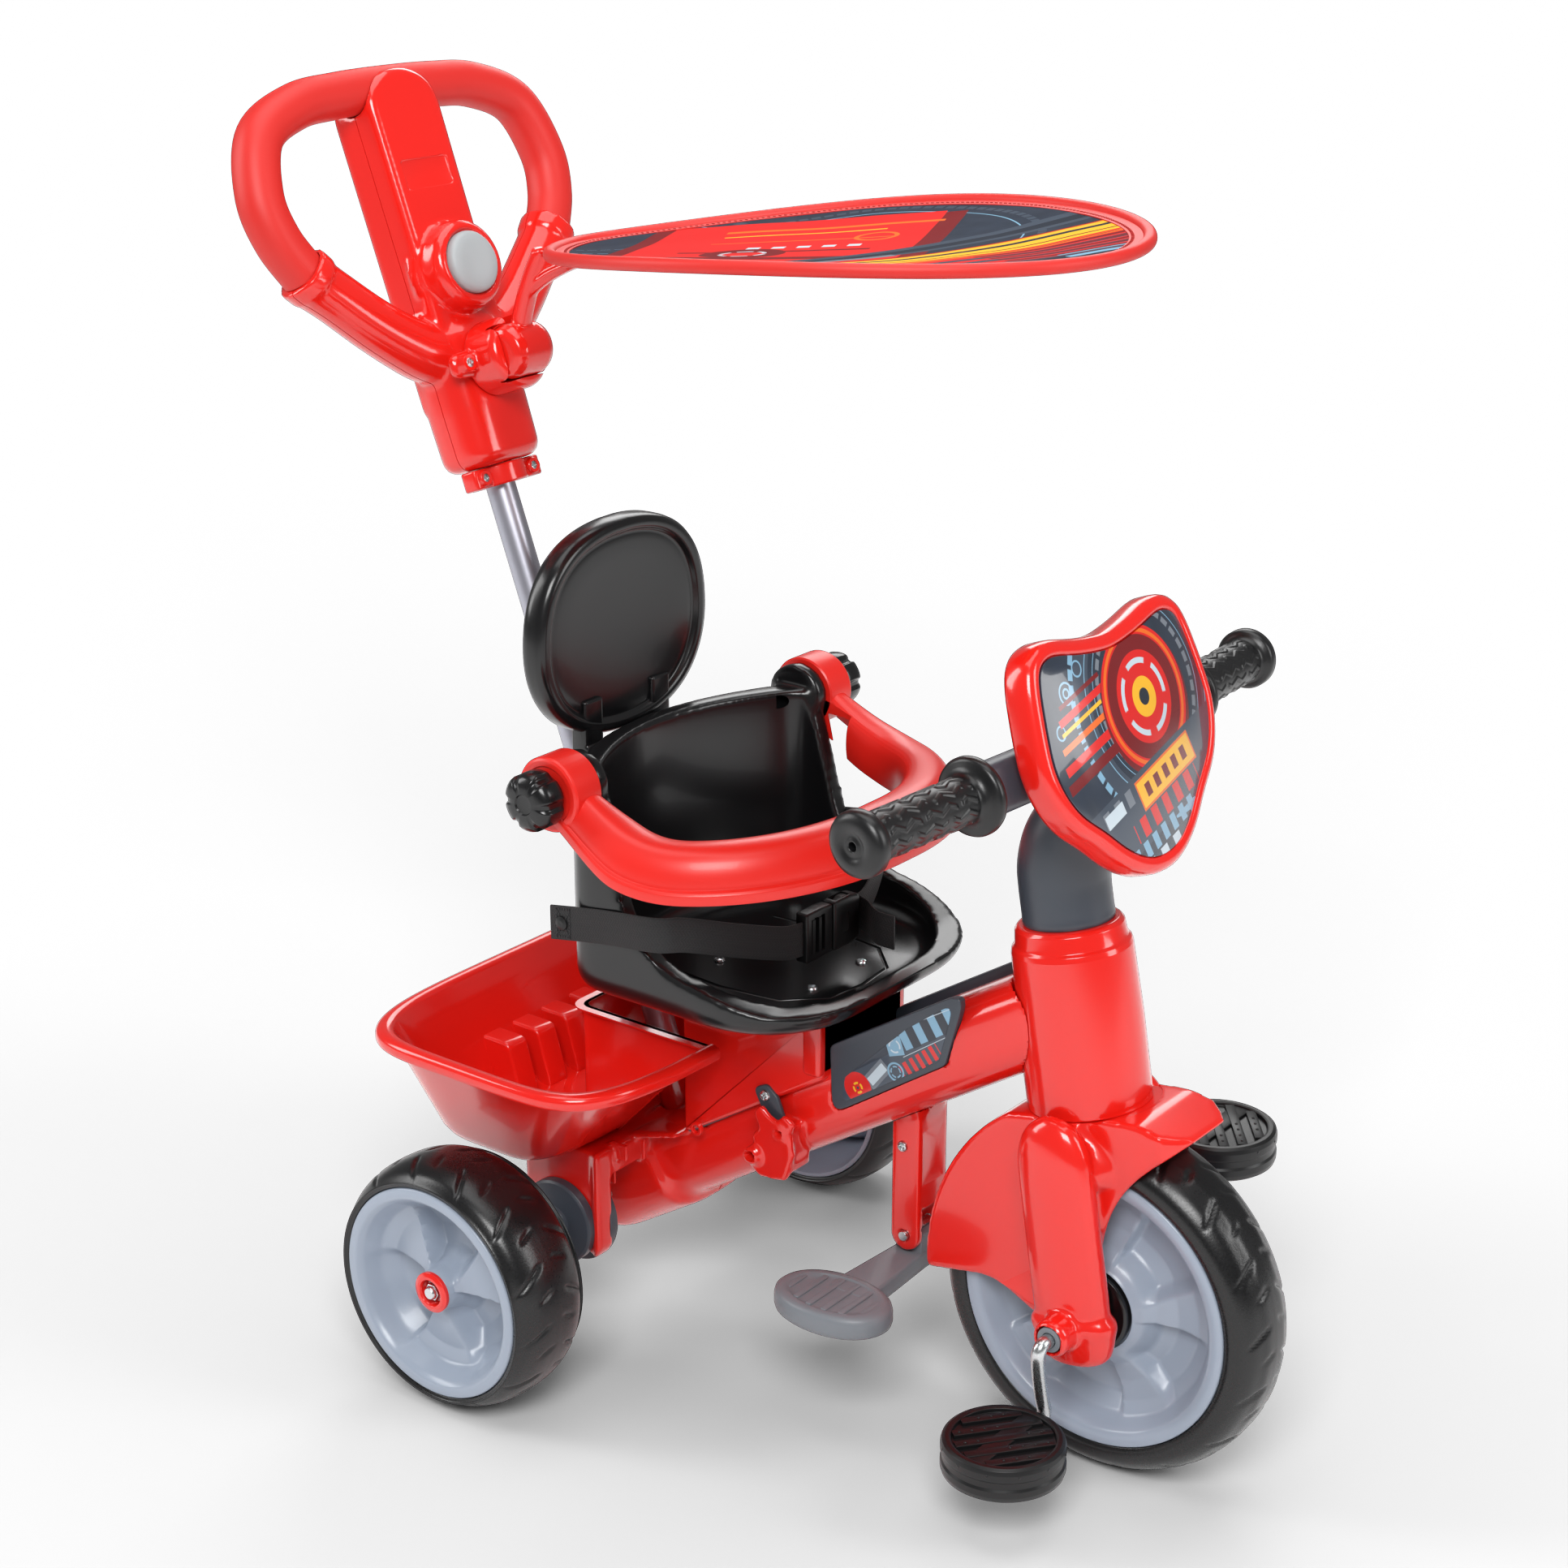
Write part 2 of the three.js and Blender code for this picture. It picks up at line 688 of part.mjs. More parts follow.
function basketBody() {
  const notch = (grow) => {
    const half = notchHalfWidth + grow;
    return block([notchRear - grow, -half, 0], [300, half, 500]);
  };
  const lip = formed(28, 3, (t, angle, reach) => {
    const [rise, out] = [
      [-lipHeight, 0],
      [-lipHeight + 3, lipReach],
      [-2, lipReach],
      [0, lipReach - 2],
    ][Math.round(t * 3)];
    const [, back, front, half] = basketSections[2];
    const [x, y] = rounded(angle, (front - back) / 2 + out, half + out, 5);
    return [(front + back) / 2 + x * reach, y * reach, basketRimHeight + rise];
  });
  const outer = cut(joined(tub(0, basketFloor, basketRimHeight - 1), lip), notch(0));
  const inner = cut(tub(wall, basketFloor + wall, basketRimHeight + 4), notch(wall));
  const [stepDepth, stepHalf, stepRise] = [56, 90, 46];
  const step = block(
    [basketRear, -stepHalf, basketFloor + 1],
    [basketRear + stepDepth, stepHalf, basketFloor + stepRise],
  );
  const under = block(
    [basketRear - 1, wall - stepHalf, 0],
    [basketRear + stepDepth - wall, stepHalf - wall, basketFloor + stepRise - wall],
  );
  return cut(joined(cut(outer, inner), common(step, tub(wall / 2, basketFloor + 1, basketRimHeight))), under);
}
piece(frame, 'basket', basketBody(), redGloss);

// ---- Seat: a moulded bucket with raised sides, a curved back and pivot ears ----
const seatBow = 42; // how far the back curves forward at the sides
const panThickness = 5;
const sideRise = 36;
const pivotZ = seatHeight + pivotRise;
const earRadius = 24;
const earThickness = 12;
const knobStud = 5;

function seatPlan(inset) {
  const [half, rearX, front] = [seatHalfWidth - inset, seatRear + inset, seatFront - inset];
  const plan = new THREE.Shape();
  plan.moveTo(rearX + seatBow, half);
  plan.quadraticCurveTo(rearX - seatBow, 0, rearX + seatBow, -half);
  plan.lineTo(front - 80, -half);
  plan.bezierCurveTo(front - 30, -half, front, -half + 40, front, -half + 80);
  plan.lineTo(front, half - 80);
  plan.bezierCurveTo(front, half - 40, front - 30, half, front - 80, half);
  return plan;
}

function seatBlank(inset, floor, edge) {
  const height = 2 * (seatBackHeight + 80);
  return slab(seatPlan(inset), height, edge * 1.4, edge, 5).translate(0, 0, floor + height / 2);
}

function seatOuter(grow) {
  const top = seatHeight + seatBackHeight;
  const rim = seatHeight + sideRise;
  const side = new THREE.Shape();
  side.moveTo(-100, seatHeight - 10 - grow);
  side.lineTo(seatFront + 50, seatHeight - 10 - grow);
  side.lineTo(seatFront + 50, seatHeight + 12);
  side.lineTo(200, seatHeight + 20);
  side.lineTo(150, rim - 2);
  side.quadraticCurveTo(96, rim + 4, 84, rim + 50);
  side.quadraticCurveTo(72, top - 30, 60, top);
  side.lineTo(-100, top + grow);
  return common(seatBlank(-grow, seatHeight - grow, 22), acrossY(side, -300, 300));
}

function seatBucket() {
  const ear = rodY(earRadius, seatHalfWidth - earThickness, seatHalfWidth, 18).translate(pivotX, 0, pivotZ);
  const stud = rodY(
    knobStud + fit,
    seatHalfWidth - earThickness - 1,
    seatHalfWidth + 1,
    12,
  ).translate(pivotX, 0, pivotZ);
  const mirror = (geometry) => geometry.clone().scale(1, -1, 1);
  const inner = seatBlank(seatRim, seatHeight + panThickness, 18);
  return cut(joined(cut(seatOuter(0), inner), ear, mirror(ear)), stud, mirror(stud));
}
piece(frame, 'seat_bucket', seatBucket(), blackGloss);

// ---- Upper backrest: an oval pad on two struts behind the bucket ----
const padTop = 612;
const padBottom = 452;
const padHalf = 94;
const padDepth = 20;
const strutY = 38;
const strutWidth = 20;
const strutBottom = seatHeight + 84;

function upperBackrest() {
  const oval = new THREE.Shape();
  const height = padTop - padBottom;
  oval.moveTo(0, padBottom);
  oval.bezierCurveTo(
    padHalf * 0.75,
    padBottom,
    padHalf,
    padBottom + 0.25 * height,
    padHalf,
    padBottom + 0.48 * height,
  );
  oval.bezierCurveTo(padHalf, padTop - 0.15 * height, padHalf * 0.6, padTop, 0, padTop);
  oval.bezierCurveTo(
    -padHalf * 0.6,
    padTop,
    -padHalf,
    padTop - 0.15 * height,
    -padHalf,
    padBottom + 0.48 * height,
  );
  oval.bezierCurveTo(-padHalf, padBottom + 0.25 * height, -padHalf * 0.75, padBottom, 0, padBottom);
  const back = seatRear - 34;
  const pad = alongX(oval, back, back + padDepth, 4);
  const strut = block(
    [back + 4, strutY - strutWidth / 2, strutBottom],
    [seatRear + 12, strutY + strutWidth / 2, padBottom + 30],
  );
  const slant = block([seatRear - 14, -100, padBottom - 6], [100, 100, padBottom + 60]);
  const struts = cut(joined(strut, strut.clone().scale(1, -1, 1)), seatOuter(fit), slant);
  const shallow = block([back - 1, -100, 0], [back + 8, 100, padBottom - 14]);
  return joined(pad, cut(struts, shallow));
}
piece(frame, 'backrest_upper', upperBackrest(), blackGloss);

// ---- Safety ring: a band from drum to drum round the front ----
const ring = new THREE.Group();
ring.position.set(pivotX, 0, pivotZ);
trike.add(ring);
const drumInner = seatHalfWidth + fit;
const drumWidth = 27;
const drumRadius = 27;
const ringReach = 172; // from the pivots to the band's middle line at the front
const ringDrop = 40;
const bandHalfWidth = 22;
const bandHalfHeight = 18;

function ringBody() {
  const armY = drumInner + drumWidth / 2;
  const straight = 62;
  const middle = (t) => {
    const turn = (t - 0.5) * 2;
    const arc = Math.min(1, Math.max(0, (1 - Math.abs(turn)) / 0.3));
    const bend = Math.max(0, 1 - Math.abs(turn) / 0.7);
    const swing = bend * Math.PI / 2;
    const x = arc < 1 ? arc * straight : straight + (ringReach - straight) * Math.sin(swing);
    const y = Math.sign(turn) * armY * (arc < 1 ? 1 : Math.cos(swing));
    const fall = Math.sin(Math.min(1, x / (0.6 * ringReach)) * Math.PI / 2);
    return new THREE.Vector3(x, y, -ringDrop * fall + 8 * bend);
  };
  const band = formed(8, 20, (t, angle, reach) => {
    const here = middle(t);
    const tangent = middle(Math.min(1, t + 0.01)).sub(middle(Math.max(0, t - 0.01))).setZ(0).normalize();
    const [out, up] = rounded(angle, bandHalfWidth, bandHalfHeight, 3);
    const grown = 0.62 + 0.38 * Math.min(1, Math.min(t, 1 - t) / 0.16);
    const offset = out * grown * reach;
    return [
      here.x - tangent.y * offset,
      here.y + tangent.x * offset,
      here.z + up * reach * (0.8 + 0.2 * grown),
    ];
  });
  const drum = rodY(drumRadius, drumInner, drumInner + drumWidth, 16);
  const bore = rodY(knobStud + fit, drumInner - 40, drumInner + 60, 12);
  const mirror = (geometry) => geometry.clone().scale(1, -1, 1);
  const inside = block([-60, -drumInner, -60], [60, drumInner, 60]);
  const outside = block([-60, drumInner + drumWidth, -80], [60, 400, 80]);
  const trimmed = cut(band, inside, outside, mirror(outside));
  return cut(joined(trimmed, drum, mirror(drum)), bore, mirror(bore));
}
piece(ring, 'safety_ring', ringBody(), redGloss);

const knobRadius = 21;
const knobProfile = [
  [0, drumInner - earThickness],
  [knobStud, drumInner - earThickness],
  [knobStud, drumInner + drumWidth + fit],
  [knobRadius - 5, drumInner + drumWidth + fit],
  [knobRadius, drumInner + drumWidth + 5],
  [knobRadius, drumInner + drumWidth + 20],
  [knobRadius - 5, drumInner + drumWidth + 25],
  [0, drumInner + drumWidth + 26],
];
function knobBody() {
  const notches = [];
  for (let i = 0; i < 6; i += 1) {
    const notch = rodY(6, drumInner + drumWidth + 8, drumInner + drumWidth + 40, 6);
    notches.push(notch.translate(knobRadius + 2, 0, 0).rotateY((i + 0.5) * Math.PI / 3));
  }
  return cut(turned(knobProfile, 12), ...notches);
}
pair(ring, 'ring_knob', knobBody(), blackGloss);

// ---- Fork with its fender, about the steering axis, from the wheel centre ----
const front = rakedGroup();
const coverInner = frontTyreWidth / 2 + forkClearance;
const coverOuter = coverInner + 4.5;
const coverRadius = frontTyreRadius + forkClearance;
const legY = coverInner + 16.3;
const legRadius = 29;
const legFlat = 0.52; // its thickness across, against its width
const bearingEnd = 84;
const bushLegRadius = 9;
const visorTip = 97;

function coverOutline(inset) {
  const outer = coverRadius + 6 - inset;
  const outline = new THREE.Shape();
  outline.moveTo(-outer + 3, 18 - inset);
  outline.bezierCurveTo(
    -outer + 6,
    62,
    -0.72 * outer,
    0.86 * outer,
    -headRadius - 6 + inset,
    headBottom + 2 - inset,
  );
  outline.lineTo(headRadius - 4, headBottom + 6 - inset);
  outline.lineTo(62 - inset, headBottom + 6 - inset);
  outline.lineTo(visorTip - inset, headBottom - 8 - inset);
  outline.lineTo(visorTip - 4 - inset, headBottom - 14);
  outline.bezierCurveTo(66, 112, 26, 96, 17, 38);
  outline.lineTo(17, 0);
  outline.lineTo(-20, -8);
  outline.bezierCurveTo(-44, -20, -58, 16, -88, 15);
  outline.lineTo(-outer + 3, 18 - inset);
  return outline;
}

function forkFender() {
  const hood = acrossY(coverOutline(0), -coverOuter, coverOuter, 5);
  const plan = new THREE.Shape();
  plan.moveTo(-200, -80);
  plan.lineTo(28, -80);
  plan.bezierCurveTo(60, -coverOuter, visorTip, -coverOuter * 0.7, visorTip, 0);
  plan.bezierCurveTo(visorTip, coverOuter * 0.7, 60, coverOuter, 28, 80);
  plan.lineTo(-200, 80);
  const trimmed = common(hood, slab(plan, 500));
  const neck = turned(
    [
      [0, 60],
      [headRadius + 16, 60],
      [headRadius + 4, headBottom - 12],
      [headRadius, headBottom - fit],
      [0, headBottom - fit],
    ],
    20,
  ).rotateX(Math.PI / 2);
  const legProfile = [
    [0, -30],
    [18, -25],
    [legRadius + 3, -6],
    [legRadius + 3, 7],
    [legRadius, 9],
    [legRadius - 1, 118],
    [legRadius - 8, 140],
    [0, 150],
  ];
  const leg = turned(legProfile, 14).rotateX(Math.PI / 2).scale(1, legFlat, 1).translate(0, legY, 0);
  const boss = rodY(13, legY, bearingEnd, 12);
  const mirror = (geometry) => geometry.clone().scale(1, -1, 1);
  const wheelRoom = rodY(coverRadius, -coverInner, coverInner, 24);
  const visorRoom = common(
    acrossY(coverOutline(4.5), -coverInner, coverInner),
    block([0, -200, -200], [300, 200, headBottom - 10]),
  );
  const lowRoom = block([-300, -coverInner, -300], [300, coverInner, 0]);
  const axle = rodY(bushLegRadius + fit, coverInner - 1, bearingEnd + 1, 12);
  const stemSeat = rodZ(stemRadius + fit, headBottom - 8, headBottom + 10, 14);
  return cut(
    joined(
      trimmed,
      cut(neck, block([-100, -100, 0], [100, 100, coverRadius * 0.55])),
      leg,
      mirror(leg),
      boss,
      mirror(boss),
    ),
    wheelRoom,
    visorRoom,
    lowRoom,
    axle,
    mirror(axle),
    stemSeat,
    rodZ(headRadius + turnGap, headBottom - fit, headBottom + 60, 20),
  );
}
piece(front, 'fork_fender', forkFender(), redGloss);
const crankBush = cut(
  rodY(bushLegRadius, coverInner, bearingEnd - 1, 12),
  rodY(axleRadius + fit, coverInner - 1, bearingEnd + 1, 12),
);
pair(front, 'crank_bush', crankBush, midGrey);

// ---- Front wheel, driven by the crank that passes through its hub ----
const frontWheel = new THREE.Group();
frontWheel.rotation.y = headRake;
front.add(frontWheel);
const frontHalf = frontTyreWidth / 2 - 0.6;
const hubDisc = 30;
const frontWeb = 4;
function frontRimProfile() {
  const [rim, half, hub] = [frontRimRadius, frontHalf, hubDisc + 9];
  return [
    [axleBore, frontHalf - 6],
    [hubDisc + 1, frontHalf - 6],
    [hubDisc + 1, frontHalf - 3],
    [hub, frontHalf - 3],
    [hub + 5, frontWeb],
    [rim - 26, frontWeb],
    [rim - 9.5, half],
    [rim, half],
    [rim, half - 10],
    [rim - 4, half - 14],
    [rim - 4, -half + 14],
    [rim, -half + 10],
    [rim, -half],
    [rim - 9.5, -half],
    [rim - 26, -frontWeb],
    [hub + 5, -frontWeb],
    [hub, 3 - frontHalf],
    [hubDisc + 1, 3 - frontHalf],
    [hubDisc + 1, 6 - frontHalf],
    [axleBore, 6 - frontHalf],
  ];
}
const padsFront = rimPads(5, hubDisc + 14, frontRimRadius - 19, frontWeb - 2, frontWeb + 12, 17 * degree);
const padsBack = rimPads(5, hubDisc + 14, frontRimRadius - 19, -frontWeb - 12, 2 - frontWeb, 17 * degree);
piece(frontWheel, 'front_rim', joined(turned(frontRimProfile(), wheelSides), padsFront, padsBack), rimGrey);
piece(
  frontWheel,
  'front_tyre',
  turned(tyreProfile(frontTyreRadius, frontRimRadius, frontTyreWidth / 2), wheelSides),
  blackRubber,
);
pair(
  frontWheel,
  'hub_disc',
  cut(rodY(hubDisc, frontHalf - 6 + fit, frontHalf + 2, wheelSides), rodY(axleBore, 0, frontHalf + 10, 12)),
  blackGloss,
);

// ---- Crank axle and pedals ----
const crankAngle = -97 * degree; // of the right pedal, seen from the left
const crankY = bearingEnd + 10;
const crankFoot = pedalOffset - pedalRadius - 6;
function crankArm(side, angle) {
  const [x, z] = [crankThrow * Math.cos(angle), crankThrow * Math.sin(angle)];
  const near = (share) => [x * share, z * share];
  const row = (share, y) => [near(share)[0], side * y, near(share)[1]];
  return [
    row(0, crankY - 20),
    row(0, crankY - 10),
    row(0, crankY - 4),
    row(0.03, crankY - 1),
    row(0.1, crankY),
    row(0.86, crankFoot),
    row(0.94, crankFoot),
    row(0.985, crankFoot + 1.5),
    row(1, crankFoot + 5),
    row(1, crankFoot + 14),
    row(1, pedalOffset + pedalRadius - 9),
  ];
}
const crankPath = [
  ...crankArm(-1, crankAngle).reverse(),
  ...crankArm(1, crankAngle + Math.PI),
];
piece(frontWheel, 'crank_axle', sweptRod(crankPath, axleRadius, 3, 30), zinc);

function pedalBody(side) {
  const profile = [
    [0, -pedalHeight / 2],
    [pedalRadius - 4, -pedalHeight / 2],
    [pedalRadius, -pedalHeight / 2 + 5],
    [pedalRadius, pedalHeight / 2 - 5],
    [pedalRadius - 4, pedalHeight / 2],
    [0, pedalHeight / 2],
  ];
  const disc = turned(profile, 18).rotateX(Math.PI / 2);
  const grooves = [];
  for (const i of [-1.5, -0.5, 0.5, 1.5]) {
    const length = 2 * Math.sqrt((pedalRadius - 8) ** 2 - (i * 15) ** 2);
    grooves.push(
      box(9, length, 6, i * 15, 0, pedalHeight / 2),
      box(9, length, 6, i * 15, 0, -pedalHeight / 2),
    );
  }
  const bore = rodY(axleBore + 2 * fit, -pedalRadius - 1, pedalRadius - 8, 12).scale(1, side, 1);
  return cut(disc, bore, ...grooves);
}
const pedalTurn = { left: 1, right: -1 };
for (const [word, side] of Object.entries(pedalTurn)) {
  const angle = side < 0 ? crankAngle : crankAngle + Math.PI;
  const pedal = piece(frontWheel, `pedal_${word}`, pedalBody(side), blackRubber);
  pedal.position.set(crankThrow * Math.cos(angle), side * pedalOffset, crankThrow * Math.sin(angle));
}

// ---- Steering stem, gooseneck, handlebar and grips ----
const neckTop = barHeight - 19;
piece(front, 'steering_stem', rodZ(stemRadius, headBottom - 8 + fit, headTop + 44, 14), satinSteel);

const neckStops = [
  [0, 0, headTop + fit, neckRadius],
  [0.2, 0, headTop + 26, neckRadius],
  [0.45, 4, headTop + 48, neckRadius],
  [0.7, 16, headTop + 70, neckRadius - 4],
  [1, barForward, neckTop - fit, neckRadius - 9],
];
function steeringNeck() {
  const body = formed(16, 5, (t, angle, reach) => {
    const [x, z, radius] = readTable(neckStops, t);
    const [out, side] = rounded(angle, radius * reach, radius * reach, 2);
    const tilt = t < 1 ? 0.5 * Math.sin(Math.PI * Math.max(0, t - 0.2) / 0.8) : 0;
    return [x + out * Math.cos(tilt), side, z - out * Math.sin(tilt) * 0.9];
  });
  return cut(body, rodZ(stemRadius + fit, headTop - 1, headTop + 44 + fit, 14));
}
piece(front, 'steering_neck', steeringNeck(), charcoal);

const gripSweep = 5 * degree;
const gripLength = 118;
const innerFlange = 26;
const outerFlange = 21.5;
const gripInner = gripHalfSpan - gripLength;
const bendY = 62; // where the bar sweeps back
const barRadius = 10;

// Turns a left-hand bar part, made along Y, back by the sweep about its bend.
function swept(geometry) {
  return geometry.translate(0, -bendY, 0).rotateZ(gripSweep).translate(barForward, bendY, barHeight);
}

function handlebarSolid() {
  const build = (mirrorSide) => {
    const arm = formed(12, 1, (t, angle, reach) => {
      const [x, z] = rounded(angle, (13 - t) * reach, (19 - t) * reach, 2.6);
      return [x, bendY - 6 + t * (gripInner - bendY + 6 - fit), z];
    });
    const tube = rodY(barRadius, bendY, gripHalfSpan - 8, 12);
    return [swept(arm), swept(tube)].map((item) => item.scale(1, mirrorSide, 1));
  };
  const middle = formed(12, 1, (t, angle, reach) => {
    const [x, z] = rounded(angle, 13 * reach, 19 * reach, 2.6);
    return [barForward + x, (t - 0.5) * 2 * (bendY + 2), barHeight + z];
  });
  return joined(middle, ...build(1), ...build(-1));
}
piece(front, 'handlebar', handlebarSolid(), charcoal);

const gripProfile = [
  [barRadius + fit, gripInner],
  [innerFlange, gripInner],
  [innerFlange, gripInner + 8],
  [gripRadius, gripInner + 13],
  [gripRadius, gripHalfSpan - 16],
  [outerFlange, gripHalfSpan - 12],
  [outerFlange, gripHalfSpan - 4],
  [outerFlange - 4, gripHalfSpan],
  [3, gripHalfSpan],
  [3, gripHalfSpan - 7.5],
  [barRadius + fit, gripHalfSpan - 7.5],
];
pair(front, 'grip', swept(turned(gripProfile, 14)), blackRubber);

// ---- Front panel: an open-backed shield on two posts from the handlebar ----
const panelLean = 10.2 * degree;
const panelDepth = 22;
const panelHalfWidth = 105;
const panelTop = 50;
const panelBottom = 122;
const panelSkin = 3;
const panelPostY = 40;

// The shield outline about the panel's own middle, drawn inside by an inset.
function shield(inset) {
  const [w, top, low] = [panelHalfWidth - inset, panelTop - inset, -panelBottom + inset];
  const outline = new THREE.Shape();
  outline.moveTo(0, top - 10);
  outline.quadraticCurveTo(w * 0.28, top - 8, w * 0.56, top);
  outline.quadraticCurveTo(w * 0.86, top + 3, w * 0.93, top - 24);
  outline.quadraticCurveTo(w, -10, w, -28);
  outline.quadraticCurveTo(w * 0.95, -66, w * 0.62, -86 + inset * 0.6);
  outline.quadraticCurveTo(w * 0.34, low + 2, 0, low);
  outline.quadraticCurveTo(-w * 0.34, low + 2, -w * 0.62, -86 + inset * 0.6);
  outline.quadraticCurveTo(-w * 0.95, -66, -w, -28);
  outline.quadraticCurveTo(-w, -10, -w * 0.93, top - 24);
  outline.quadraticCurveTo(-w * 0.86, top + 3, -w * 0.56, top);
  outline.quadraticCurveTo(-w * 0.28, top - 8, 0, top - 10);
  return outline;
}
const panel = new THREE.Group();
const panelUp = 34; // panel middle above the handlebar
panel.rotation.y = -panelLean;
panel.position.set(
  barForward + 13 + fit + 1 + panelDepth / 2 - panelUp * Math.tan(panelLean),
  0,
  barHeight + panelUp,
);
front.add(panel);
const rimWidth = 11;
const plateSink = 2.5;

function panelBody() {
  const half = panelDepth / 2;
  const body = alongX(shield(0), -half, half, 5);
  const hollow = alongX(shield(panelSkin + 3), -half - 6, half - panelSkin - plateSink);
  const face = alongX(shield(rimWidth), half - plateSink, half + 5);
  const post = rodX(8, -0.5 - half, half - plateSink - 1, 12).translate(0, panelPostY, -panelUp);
  return cut(joined(cut(body, hollow), post, post.clone().scale(1, -1, 1)), face);
}
piece(panel, 'front_panel', panelBody(), redGloss);
piece(
  panel,
  'panel_plate',
  alongX(shield(rimWidth + fit), panelDepth / 2 - plateSink + fit, panelDepth / 2 - 0.5),
  navyPrint,
);

// ---- Push pole, its collar and the parent handle ----
const poleWall = 1.2;
const poleStart = wall + fit - socketDepth;
const poleEnd = poleReach + 104;
piece(
  frame,
  'push_pole',
  cut(poleRod(poleRadius, poleStart, poleEnd), poleRod(poleRadius - poleWall, poleStart - 1, poleEnd + 1)),
  satinSteel,
);

const handle = new THREE.Group();
handle.position.set(
  poleFoot - poleReach * Math.sin(poleLean),
  0,
  poleFootZ + poleReach * Math.cos(poleLean),
);
handle.rotation.y = -poleLean;
trike.add(handle);
const collarTop = 15;
const collarEar = 35;

function collarBody() {
  const ring = rodZ(poleRadius + 11, 0, collarTop, 16);
  const ears = block([-3, -collarEar, 0], [12, collarEar, collarTop]);
  const heads = [-26, 26].map((y) => rodX(5, 8, 15, 8).translate(0, y, collarTop / 2));
  return cut(joined(ring, ears, ...heads), rodZ(poleRadius + fit, -1, collarTop + 1, 16));
}
piece(handle, 'pole_collar', collarBody(), redGloss);

const loopStart = [128, 178]; // across, up: where the sleeve begins
const loopPath = [
  [handleHalfWidth - 19, 178],
  [handleHalfWidth - 4, 206],
  [handleHalfWidth, 238],
  [handleHalfWidth - 16, 278],
  [handleHalfWidth - 56, 296],
  [50, 300],
];
const armPath = [[14, 104], [45, 112], [76, 136], [106, 161], loopStart];
const armRadius = 18.5;
const bodyWidth = 72;
const bodyDepth = 56;
const spineBack = -25;
const spineFace = 20;
const spineTop = 313;
const bossHeight = 161;
const bossRadius = 33.5;
const bossFace = 38;
const handleButtonRadius = 23;
const buttonTravel = 4;
const recessDepth = 8.5;
const acrossUp = ([y, z]) => [0, y, z];

function loopSolid(radius, sides, steps) {
  const left = loopPath.map(acrossUp);
  const right = loopPath.map(([y, z]) => [0, -y, z]).reverse();
  return sweptRod([...left, [0, 0, handleHeight], ...right], radius, sides, steps);
}

function handleBlank() {
  const spineOutline = new THREE.Shape();
  spineOutline.moveTo(-34, 60);
  spineOutline.lineTo(34, 60);
  spineOutline.lineTo(36, 286);
  spineOutline.quadraticCurveTo(34, spineTop - 2, 0, spineTop);
  spineOutline.quadraticCurveTo(-34, spineTop - 2, -36, 286);
  const spine = alongX(spineOutline, spineBack, spineFace, 6);
  const body = formed(16, 3, (t, angle, reach) => {
    const [rise, grow] = [[collarTop + fit, -8], [24, 0], [112, 0], [126, -8]][Math.round(t * 3)];
    const [x, y] = rounded(angle, bodyDepth / 2 + grow, bodyWidth / 2 + grow, 3);
    return [x * reach, y * reach, rise];
  });
  const arm = sweptRod(armPath.map(acrossUp), armRadius, 4, 6);
  const boss = rodX(bossRadius, 0, bossFace, 20).translate(0, 0, bossHeight);
  return joined(spine, body, arm, arm.clone().scale(1, -1, 1), boss);
}

function handleShell(low, high) {
  const half = block([low, -300, -10], [high, 300, 400]);
  const pocket = block([spineBack + wall + 3, -26, 190], [spineFace - wall, 26, 280]);
  const recess = rodX(
    handleButtonRadius + fit,
    bossFace - recessDepth,
    bossFace + 5,
    20,
  ).translate(0, 0, bossHeight);
  return cut(
    common(handleBlank(), half),
    pocket,
    recess,
    rodZ(poleRadius + fit, 0, 105, 16),
    loopSolid(loopRadius + 0.8, 3, 24),
  );
}
piece(handle, 'handle_front_shell', handleShell(fit / 2, 100), redGloss);
piece(handle, 'handle_rear_shell', handleShell(-100, -fit / 2), redGloss);
piece(handle, 'handle_sleeve', loopSolid(loopRadius, 3, 24), redSoft);
const buttonBack = bossFace - recessDepth + buttonTravel + fit;
const handleButton = joined(
  rodX(handleButtonRadius, buttonBack, bossFace + 3, 20),
  rodX(handleButtonRadius - 2, bossFace, bossFace + 5, 20),
);
piece(handle, 'handle_button', handleButton.translate([0, 0, bossHeight]), buttonGrey);

// ---- Canopy: hub on the handle, arm from a ball, rim and skin ----
const hubHeight = 90;
const hubRadius = 28;
const hubBack = bodyDepth / 2 + fit;
const hubFront = 62;
const ballX = 58;
const ballRadius = 20;
const stemHalf = 7;

function canopyHub() {
  const barrel = rodX(hubRadius, hubBack, hubFront, 18);
  const ear = block([hubBack, -46, -9], [hubBack + 6, 46, 9]);
  const heads = [-38, 38].map((y) => rodX(5, hubBack + 3, hubBack + 9, 8).translate(0, y, 0));
  const seat = rodY(ballRadius + turnGap, -ballRadius - fit, ballRadius + fit, 16).translate(ballX, 0, 0);
  const slot = block(
    [ballX - ballRadius, -stemHalf - 2 - fit, 0],
    [hubFront + 1, stemHalf + 2 + fit, hubRadius + 1],
  );
  return cut(joined(barrel, ear, ...heads), seat, slot).translate([0, 0, hubHeight]);
}
piece(handle, 'canopy_hub', canopyHub(), redGloss);

// Axes here are level: X forward, Z up, about the hub's hinge line.
const canopy = new THREE.Group();
canopy.rotation.y = poleLean;
canopy.position.set(ballX, 0, hubHeight);
handle.add(canopy);
const canopyRear = [57, 84];
const canopyBroadest = 0.53;
const canopyRim = 4.5;
const canopyDish = 13; // the edges stand above the middle line
const canopySkin = 3;

